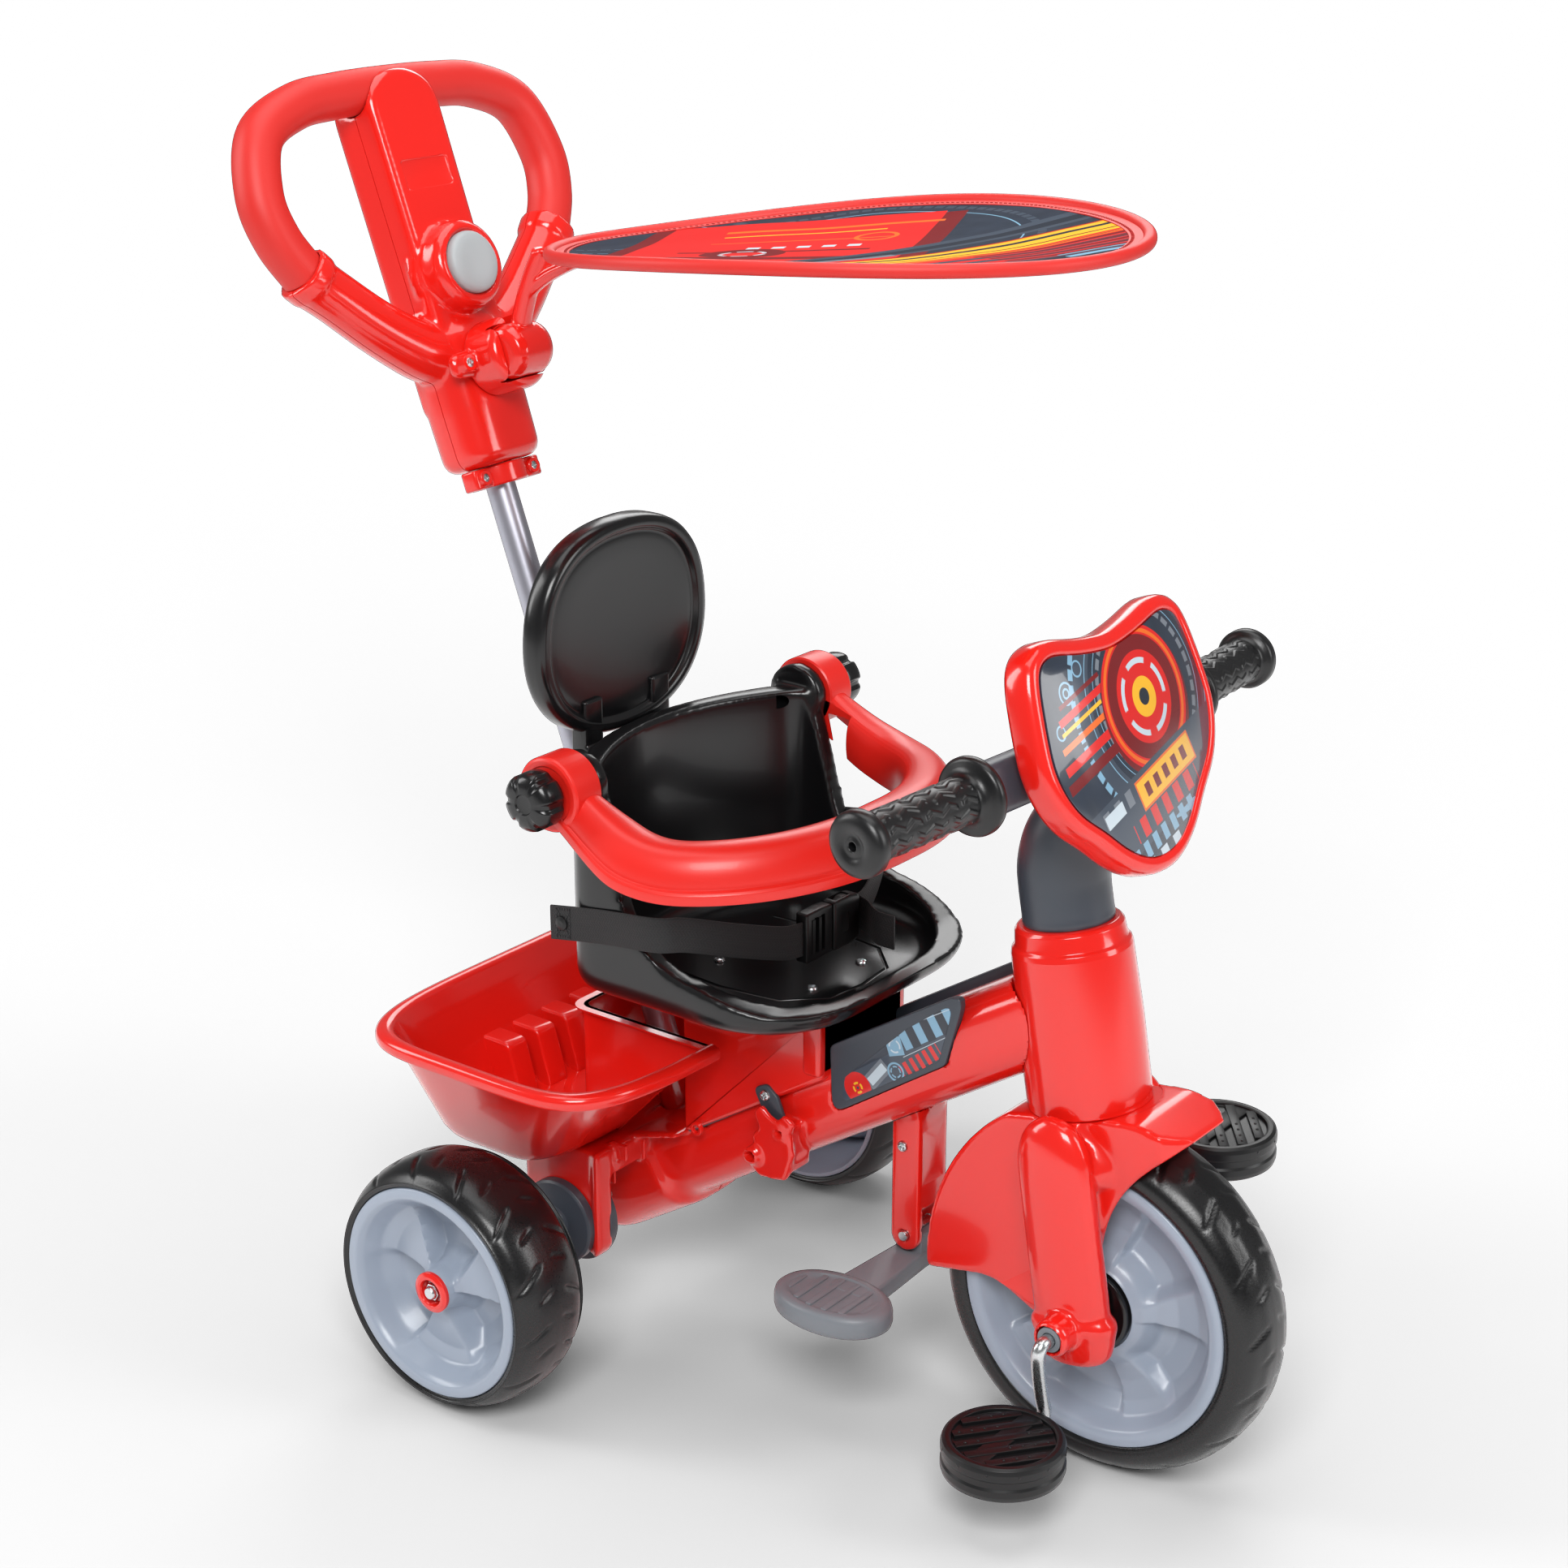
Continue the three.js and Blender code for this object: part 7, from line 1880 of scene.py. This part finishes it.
def makeHandle():
    h = handleSizes
    path = wholeLoop()
    loop = tube(path, [h["loop"] + 0.8] * len(path), 40)
    recess = spunToX([(0.02, h["bossFace"] - h["recess"]), (h["button"] + 0.5, h["bossFace"] - h["recess"]),
            (h["button"] + 0.5, h["bossFace"] - 1.6), (h["button"] + 2.4, h["bossFace"] + 0.2),
            (h["button"] + 3, 60), (0.02, 60)], 0, h["bossZ"], 96)
    strip = plate(filleted(oblong(-24, 24, 222, 244), 2.5, 3), h["spineFace"] - 0.9, h["spineFace"]
        + 20, 0.3, "yz", 2)
    bore = rod(sizes["poleRadius"] + 0.3, (0, 0, 0), (0, 0, 105), 64)
    blank = moulded("handle_blank", handleFrame, handleShapes(), h["voxel"], 5,
        crisp=[loop, recess, strip, bore])
    for name, gone in (("handle_front_shell", block((-100, -300, -50), (h["seam"], 300, 400))),
        ("handle_rear_shell", block((-h["seam"], -300, -50), (100, 300, 400)))):
        piece = bpy.data.objects.new(name + "_moulding", blank.data.copy())
        scene.collection.objects.link(piece)
        cutWith(piece, [gone], handleFrame)
        finish(piece, redGloss, "frame_body", [name], sharp=45)
    bpy.data.objects.remove(blank)
    sleeve = tube(path, [h["loop"]] * len(path), 64)
    addPiece("handle_sleeve_tube", sleeve, handleFrame, redSatin, "frame_body", ["handle_sleeve"], sharp=50)
    back = h["bossFace"] - h["recess"] + h["travel"] + 0.3
    cap = spunToX([(0.02, back), (h["button"], back), (h["button"], h["bossFace"] + 0.6),
            (h["button"] - 0.5, h["bossFace"] + 2.4), (h["button"] - 1.8, h["bossFace"] + 4),
            (h["button"] - 4, h["bossFace"] + 4.8), (h["button"] - 9, h["bossFace"] + 5),
            (h["button"] - 14, h["bossFace"] + 4.6), (0.02, h["bossFace"] + 4.2)], 0, h["bossZ"], 96)
    addPiece("handle_button_cap", cap, handleFrame, buttonGrey, "button_body", ["handle_button"], sharp=50)
    spots = [((h["spineBack"] - 0.1, y, z), (-1, 0, 0))
        for y, z in ((0, 272), (-18, 150), (18, 150), (0, 78))]
    spots += [((-17.6, side * 96, 151), (-1, 0, 0)) for side in (1, -1)]
    setScrews("handle_screws", (4, 2.2), spots, handleFrame, "frame_body")


makeBracket()
makeFootPost()
makeFootrest()
makePole()
makeHandle()
print("stage: handle")


# canopy: hub on the handle, arm from a ball, rim and stretched cloth
canopySizes = {"hubZ": 90, "hub": 28, "back": 28.3, "front": 62, "ballX": 58, "ball": 20, "stem": 7,
    "rearX": 57, "rearZ": 84, "length": 452, "half": 175, "broadest": 0.53, "rim": 4.5, "dish": 13,
    "cloth": 0.8, "sag": 2.5}
hingeFrame = frameAt(handleFrame @ Vector((canopySizes["ballX"], 0, canopySizes["hubZ"])))
clothFrame = (hingeFrame @ Matrix.Translation((canopySizes["rearX"], 0, canopySizes["rearZ"]))
    @ Matrix.Rotation(-math.radians(angles["canopyPitch"]), 4, "Y"))


def canopyPoint(angle):
    c = canopySizes
    cosine, sine = math.cos(angle), math.sin(angle)
    if cosine > 0:
        share, grow = c["broadest"] + (1 - c["broadest"]) * cosine, abs(sine)
    else:
        share, grow = c["broadest"] * (1 + cosine), math.sin((1 + cosine) * math.pi / 2) ** 0.6
    return c["rim"] + share * (c["length"] - 2 * c["rim"]), math.copysign((c["half"] - c["rim"]) * grow, sine)


def canopyLoop(inset=0.0):
    count = 180
    points = [canopyPoint(2 * math.pi * (i + 0.5) / count) for i in range(count)]
    loop = np.array(evened(points, 5.0, 4))
    way = np.roll(loop, -1, 0) - np.roll(loop, 1, 0)
    way /= np.linalg.norm(way, axis=1)[:, None]
    inward = np.stack([-way[:, 1], way[:, 0]], 1)
    if inward[0] @ (loop.mean(0) - loop[0]) < 0:
        inward = -inward
    return loop + inward * inset


def canopyRise(y):
    return canopySizes["dish"] * (y / canopySizes["half"]) ** 2


def makeCanopyHub():
    c = canopySizes
    r, back, front = c["hub"], c["back"], c["front"]
    barrel = spunToX([(0.02, back), (r - 1, back), (r, back + 1), (r, front - 6), (r - 1.4, front - 2.6),
            (r - 4, front - 0.7), (r - 7, front), (0.02, front)], 0, 0, 96)
    wing = [(-46, -6), (-46, 6), (-40, 9), (-24, 10), (24, 10), (40, 9), (46, 6), (46, -6), (40, -9),
        (24, -10), (-24, -10), (-40, -9)]
    ears = plate(filleted(wing, 5, 4), back, back + 6.4, 1.8, "yz", 4)
    arm = plate(filleted([(20, -7.5), (41, -6.6), (44, 0), (41, 6.6), (20, 7.5)], 3, 4), back + 2,
        back + 13, 3, "yz", 4)
    cups = [spunToX([(6.6, back + 4), (6.6, back + 14), (6, back + 14.8), (3.2, back + 14.8),
                (3.2, back + 4)], y, 0) for y in (-37, 37)]
    shapes = [barrel, ears, arm, mirrored(arm)]
    seat = rod(c["ball"] + 1, (c["ballX"], -c["ball"] - 0.3, 0), (c["ballX"], c["ball"] + 0.3, 0), 72)
    slot = block((c["ballX"] - c["ball"], -c["stem"] - 2.3, 0), (front + 1, c["stem"] + 2.3, r + 1))
    place = handleFrame @ Matrix.Translation((0, 0, c["hubZ"]))
    piece = moulded("canopy_hub_moulding", place, shapes, 1.2, 4, crisp=[seat, slot])
    fuse(piece, linkMesh("cups", *joinShapes(*cups), place))
    finish(piece, redGloss, "frame_body", ["canopy_hub"], sharp=45)
    spots = [((back + 13.4, y, 0), (1, 0, 0)) for y in (-37, 37)]
    setScrews("hub_screws", (4, 2.2), spots, place, "frame_body")


def makeCanopyArm():
    c = canopySizes
    ballShape = spun([(0.02, -c["ball"]), (c["ball"] - 7, -c["ball"] + 0.2),
            (c["ball"] - 2.4, -c["ball"] + 2.4), (c["ball"], -c["ball"] + 8), (c["ball"], c["ball"] - 8),
            (c["ball"] - 2.4, c["ball"] - 2.4), (c["ball"] - 7, c["ball"] - 0.2), (0.02, c["ball"])], 72, 0.5)
    stemPath = [(0, 0, 4), (3.5, 0, 22), (9, 0, 40), (16, 0, 57), (25, 0, 74)]
    stem = swept(curveThrough(stemPath, 30), superellipse(c["stem"] - 0.4, c["stem"] + 0.6, 2.4, 32),
        (0, 1, 0))
    under = c["rearZ"] - c["rim"] - 3.3
    web = [(6, 26), *bezier((6, 26), (18, under - 20), (96, under + 2), count=16), (96, under + 2),
        (24, under), (10, 44)]
    blade = plate(web, -3.4, 3.4, 1.2)
    flange = swept(curveThrough([(7, 0, 30), (22, 0, under - 24), (52, 0, under - 9), (94, 0, under + 1)],
            30), superellipse(5.5, 2, 3, 24), (0, 0, 1))
    flat = [(-34, -7), *bezier((-34, -7), (0, -8), (16, -20)), (16, -20), (64, -20),
        *bezier((64, -20), (82, -18), (82, 0)), (82, 0), *bezier((82, 0), (82, 18), (64, 20)), (64, 20),
        (16, 20), *bezier((16, 20), (0, 8), (-34, 7)), (-34, 7)]
    tilt = (Matrix.Translation((c["rearX"], 0, c["rearZ"]))
        @ Matrix.Rotation(-math.radians(angles["canopyPitch"]), 4, "Y"))
    rest = plate(evened(flat, 3, 3), -c["rim"] - 4.3, -c["rim"] - 0.3, 1.2, "xy")
    pad = plate(filleted(oblong(24, 64, -12, 12), 4), -c["rim"] - 1, -3, 0.8, "xy")
    lying = []
    for points, faces in (rest, pad):
        lying.append(([tuple(tilt @ Vector(p)) for p in points], faces))
    piece = moulded("canopy_arm_moulding", hingeFrame, [ballShape, stem, blade, flange, *lying], 1.2, 4)
    finish(piece, redGloss, "canopy_body", ["canopy_arm"], sharp=50)
    spots = [((x, 0, -c["rim"] - 4.2), (0, 0, -1)) for x in (34, 56)]
    setScrews("arm_screws", (3.4, 1.8), spots, clothFrame, "canopy_body")


def makeCloth():
    c = canopySizes
    inner = canopyLoop(c["rim"] + 0.4)
    middle = np.array((c["broadest"] * c["length"], 0))
    shares = [1, 0.985, 0.96, 0.92, 0.86, 0.78, 0.68, 0.56, 0.42, 0.28, 0.14]
    rings = []
    for share in shares:
        ring = []
        for x, y in inner:
            px, py = middle + (np.array((x, y)) - middle) * share
            ripple = 0.5 * math.sin(px / 21) * math.sin(py / 17) * smoothStep(share, 0.2,
                0.7) * (1 - smoothStep(share, 0.93, 1.0))
            ring.append((px, py, canopyRise(py) - c["sag"] * (1 - share ** 2) * 0.4 + ripple))
        rings.append(ring)
    top = [[(x, y, z + c["cloth"] / 2) for x, y, z in ring] for ring in rings]
    under = [[(x, y, z - c["cloth"] / 2) for x, y, z in ring] for ring in rings]
    body = skin([*reversed(top), *under])
    piece = linkMesh("canopy_cloth", *body, clothFrame)
    mapPrint(piece, clothFrame, "x", "y")
    return finish(piece, canopyPrint, "canopy_body", ["canopy_panel"], sharp=60)


def makeRim():
    c = canopySizes
    loop = canopyLoop(0)
    rings = []
    section = superellipse(c["rim"], c["rim"], 2.2, 28)
    for i, (x, y) in enumerate(loop):
        a, b = loop[i - 1], loop[(i + 1) % len(loop)]
        tx, ty = b[0] - a[0], b[1] - a[1]
        run = math.hypot(tx, ty)
        rings.append([(x + p * ty / run, y - p * tx / run, canopyRise(y) + q) for p, q in section])
    rim = skin(rings, "join")
    hem = []
    outer, inside = canopyLoop(c["rim"] - 1.5), canopyLoop(c["rim"] + 9)
    count = min(len(outer), len(inside))
    for i in range(count):
        (ax, ay), (bx, by) = outer[i], inside[i]
        hem.append([(ax, ay, canopyRise(ay) + 1.6), (bx, by, canopyRise(by) + 0.9),
                (bx, by, canopyRise(by) + 0.2), (ax, ay, canopyRise(ay) - 0.2)])
    band = skin(hem, "join")
    return addPiece("canopy_rim_tube", joinShapes(rim, band), clothFrame, redSatin, "canopy_body",
        ["canopy_rim"], sharp=50)


def makeStitches():
    c = canopySizes
    spots = []
    for x, y in evened(canopyLoop(c["rim"] + 6.5), 4.0, 0):
        spots.append(((x, y, canopyRise(y) + 1.25), (0, 0, 1)))
    stitch = rod(0.32, (-1.1, 0, 0), (1.1, 0, 0), 8)
    return scatter("canopy_stitches", stitch, spots, clothFrame, stitchRed)


# the seat belt: woven straps and a side release buckle
beltSizes = {"width": 26, "thick": 1.6, "x": 168, "z": 340, "half": 31, "tall": 38, "deep": 12, "side": 133.4}


def ribbonShape(points, count):
    path = curveThrough(points, count)
    section = superellipse(beltSizes["thick"] / 2, beltSizes["width"] / 2, 8, 28)
    rings = []
    for here, way in zip(path, np.gradient(path, axis=0)):
        run = math.hypot(way[0], way[1])
        nx, ny = -way[1] / run, way[0] / run
        rings.append([(here[0] + nx * a, here[1] + ny * a, here[2] + b) for a, b in section])
    return skin(rings)


# the strap's map: distance along it and height across it, in millimetres
def mapStrap(piece, points, place):
    path = curveThrough(points, 400)
    walked = np.concatenate([[0], np.cumsum(np.linalg.norm(np.diff(path, axis=0), axis=1))])
    back = place.inverted()
    layer = piece.data.uv_layers.new(name="print")
    found = []
    for v in piece.data.vertices:
        spot = np.array(back @ v.co)
        nearest = int(np.argmin(np.linalg.norm(path - spot, axis=1)))
        found.append((walked[nearest], spot[2] - path[nearest][2]))
    for loop in piece.data.loops:
        layer.data[loop.index].uv = found[loop.vertex_index]


def makeWebbing():
    material, nodes, links, shader = newMaterial("webbing")
    calc = partial(mathNode, nodes, links)
    where = nodes.new("ShaderNodeUVMap")
    where.uv_map = "print"
    at = nodes.new("ShaderNodeSeparateXYZ")
    links.new(where.outputs["UV"], at.inputs[0])
    along = calc("MULTIPLY", at.outputs[0], 2.6)
    across = calc("MULTIPLY", at.outputs[1], 3.4)
    zig = calc("MULTIPLY", calc("PINGPONG", calc("MULTIPLY", at.outputs[1], 1.0), 3.25), 2.2)
    weave = calc("MULTIPLY_ADD", calc("SINE", calc("ADD", along, zig)), 0.3, 0.5)
    mixed = calc("ADD", weave, calc("MULTIPLY", calc("SINE", across), 0.12))
    shade = mixColours(nodes, links, mixed, (0.0045, 0.0045, 0.005), (0.013, 0.013, 0.014))
    links.new(shade, shader.inputs["Base Color"])
    addBump(nodes, links, shader, mixed, 0.6)
    setInputs(shader, {"Roughness": 0.72, "Sheen Weight": 0.06})
    return material


webbing = makeWebbing()
stitchRed = plainFinish("stitchRed", (0.30, 0.008, 0.006), 0.7)
stitchBlack = plainFinish("stitchBlack", (0.03, 0.03, 0.032), 0.7)
canopyPrint = printFinish("canopyPrint", "navy", [("ring", "slate", (40, 0), (60, 0.8, 0), 0),
        ("ring", "sky", (40, 0), (74, 0.6, 44), 0), ("ring", "sky", (40, 0), (46, 0.5, 30), 0),
        ("ring", "slate", (40, 0), (95, 4, 40), 0), ("ring", "slate", (225, 20), (130, 3, 90), 0),
        ("ring", "sky", (225, 20), (118, 0.7, 0), 0), ("bar", "dark", (190, -20), (112, 130, 0), 24),
        ("bar", "red", (182, -6), (98, 118, 0), 24), ("bar", "dark", (196, -62), (70, 8, 0), 24),
        ("bar", "orange", (168, 84), (78, 3.2, 0), 24), ("bar", "yellow", (160, 60), (58, 1.6, 0), 24),
        ("bar", "orange", (176, 34), (64, 1.2, 0), 24), ("bar", "pale", (196, 10), (40, 4.5, 0.36), 24),
        ("bar", "dark", (190, -16), (66, 3, 0), 24), ("ring", "dark", (178, -34), (22, 7, 0), 0),
        ("ring", "pale", (178, -34), (15, 1.6, 6), 0), ("ring", "orange", (222, 58), (14, 1.8, 0), 0),
        ("bar", "slate", (282, 0), (14, 220, 0), -22), ("bar", "grey", (264, -70), (7, 60, 0), -22),
        ("bar", "navy", (292, 20), (6, 190, 0), -22), ("bar", "dark", (334, 0), (23, 220, 0), -22),
        ("bar", "orange", (334, 0), (20.5, 220, 0), -22), ("bar", "yellow", (331, 0), (15.5, 220, 0), -22),
        ("bar", "dark", (340, 0), (1.2, 220, 0), -22), ("bar", "navy", (325, 0), (3.0, 150, 0), -22),
        ("bar", "red", (349, 0), (1.6, 200, 0), -22), ("bar", "slate", (392, 0), (32, 220, 0), -22),
        ("bar", "red", (380, 0), (30, 130, 0.36), -22), ("bar", "dark", (392, 30), (26, 60, 0.7), -22),
        ("bar", "navy", (424, 0), (14, 200, 0), -22), ("bar", "sky", (428, 34), (12, 40, 0.5), -22),
        ("bar", "pale", (420, -48), (8, 34, 0.6), -22), ("bar", "sky", (432, -20), (6, 16, 0), -22)],
    roughness=0.85, coat=0.0, specular=0.12)


def makeBelts():
    b = beltSizes
    base = sizes["seatFloor"]
    run = [(22, b["side"], base + 52), (70, b["side"], base + 60), (118, b["side"] + 0.6, base + 66),
        (134, b["side"] - 15, base + 65), (152, 84, base + 54), (b["x"] - 3, 50, b["z"] + 2),
        (b["x"], b["half"] + 3, b["z"]), (b["x"], b["half"] - 6, b["z"])]
    tail = [(b["x"] - 2.5, b["half"] + 6, b["z"]), (b["x"] + 9, b["half"] + 4, b["z"] - 2),
        (b["x"] + 24, b["half"] - 4, b["z"] - 4), (b["x"] + 38, b["half"] - 2, b["z"] - 6)]
    other = [(x, -y, z) for x, y, z in run]
    for word, points in (("left", run), ("right", other)):
        piece = linkMesh(f"belt_{word}_strap", *ribbonShape(points, 120), level)
        mapStrap(piece, points, level)
        if word == "left":
            end = linkMesh("belt_end", *ribbonShape(tail, 40), level)
            mapStrap(end, tail, level)
            fuse(piece, end)
        finish(piece, webbing, "frame_body", [f"belt_{word}"], sharp=50)
    spots = []
    for side in (1, -1):
        out = b["side"] + 1.1
        for x in (28, 40):
            spots += [((x, side * out, base + 52 + (x - 22) * 0.17 + k * 2.6), (0, side, 0))
                for k in range(-4, 5)]
        spots += [((28 + k * 2.4, side * out, base + 53.5 + edge + k * 0.4), (0, side, 0)) for k in range(6)
            for edge in (-10.4, 10.4)]
        spots += [((28 + k * 1.2, side * out, base + 54 + turn * (k - 5) * 2.0), (0, side, 0))
            for k in range(11) for turn in (1, -1)]
    thread = rod(0.38, (0, -0.9, 0), (0, 0.9, 0), 8)
    threads = scatter("belt_stitches", thread, spots, level, stitchBlack)
    finish(threads, stitchBlack, "frame_body", sharp=50)
    rivet = spun([(0.02, 0), (5.4, 0), (5, 1.6), (2.4, 2.2), (0.02, 2.2)], 32, 0.3)
    caps = scatter("belt_rivets", aboutZ(rivet), [((33, side * (b["side"] + 0.8), base + 54), (0, side, 0))
            for side in (1, -1)], level, blackSatin)
    finish(caps, blackSatin, "frame_body", sharp=50)


def makeBuckle():
    b = beltSizes
    half, tall, deep = b["half"], b["tall"] / 2, b["deep"] / 2
    place = level @ Matrix.Translation((b["x"], 0, b["z"]))
    outline = filleted([(0.2, -tall), (20, -tall), (half - 3, -tall + 1.5), (half, -tall + 4),
            (half, tall - 4), (half - 3, tall - 1.5), (20, tall), (0.2, tall)], 2.5, 4)
    female = linkMesh("buckle_female_shell", *plate(outline, -deep, deep, 2.2, "yz", 4), place)
    windows = [plate(filleted([(6, s * 12.4), (19, s * 12.4), (21.5, s * 16), (21.5, s * 24), (4, s * 24),
                (4, s * 16)], 2, 3), -3.8, 3.8, 0.2, "yz", 2) for s in (1, -1)]
    throat = block((-3.4, -1, -13.2), (3.4, 22, 13.2))
    slit = block((-1.6, half - 6.3, -16), (1.6, half + 2, 16))
    dent = plate(filleted(oblong(7, 18, -8, 8), 4, 5), deep - 0.9, deep + 3, 0.3, "yz", 2)
    cutWith(female, [*windows, throat, slit, dent], place)
    finish(female, blackSatin, "frame_body", ["buckle_female"], sharp=40)
    frameLoop = filleted([(-0.2, -tall + 1), (-12, -tall), (-half, -tall), (-half, tall), (-12, tall),
            (-0.2, tall - 1)], 2.5, 4)
    male = linkMesh("buckle_male_frame", *plate(frameLoop, -deep, deep - 1.4, 1.8, "yz", 4), place)
    slots = [plate(filleted(oblong(-y - 2.4, -y + 2.4, -14, 14), 1, 3), -deep - 1, deep + 1, 0.2, "yz", 2)
        for y in (12, 20, 27.4)]
    cutWith(male, slots[:2], place)
    prongs = []
    for s in (1, -1):
        prong = filleted([(-2, s * 9.4), (8, s * 10.4), (18, s * 13.4), (20.6, s * 15.4), (20.4, s * 18.2),
                (13, s * 18.9), (6, s * 16), (-2, s * 14.6)], 1.4, 3)
        prongs.append(plate(prong, -3.1, 3.1, 0.8, "yz", 3))
    tongue = plate(filleted([(-2, -5), (19, -4), (21, 0), (19, 4), (-2, 5)], 1.4, 3), -2.6, 2.6, 0.6, "yz", 3)
    teeth = [block((deep - 1.8, y - 0.7, -13), (deep - 0.7, y + 0.7, 13))
        for y in (-16.8, -15.2, -24.2, -22.6)]
    extras = linkMesh("buckle_male_prongs", *joinShapes(*prongs, tongue, *teeth), place)
    fuse(male, extras)
    finish(male, blackSatin, "frame_body", ["buckle_male"], sharp=40)


makeCanopyHub()
makeCanopyArm()
rimPiece = makeRim()
stitchPiece = makeStitches()
finish(stitchPiece, stitchRed, "canopy_body", sharp=50)
cloth = makeCloth()
makeBelts()
makeBuckle()
print("stage: canopy and belts")
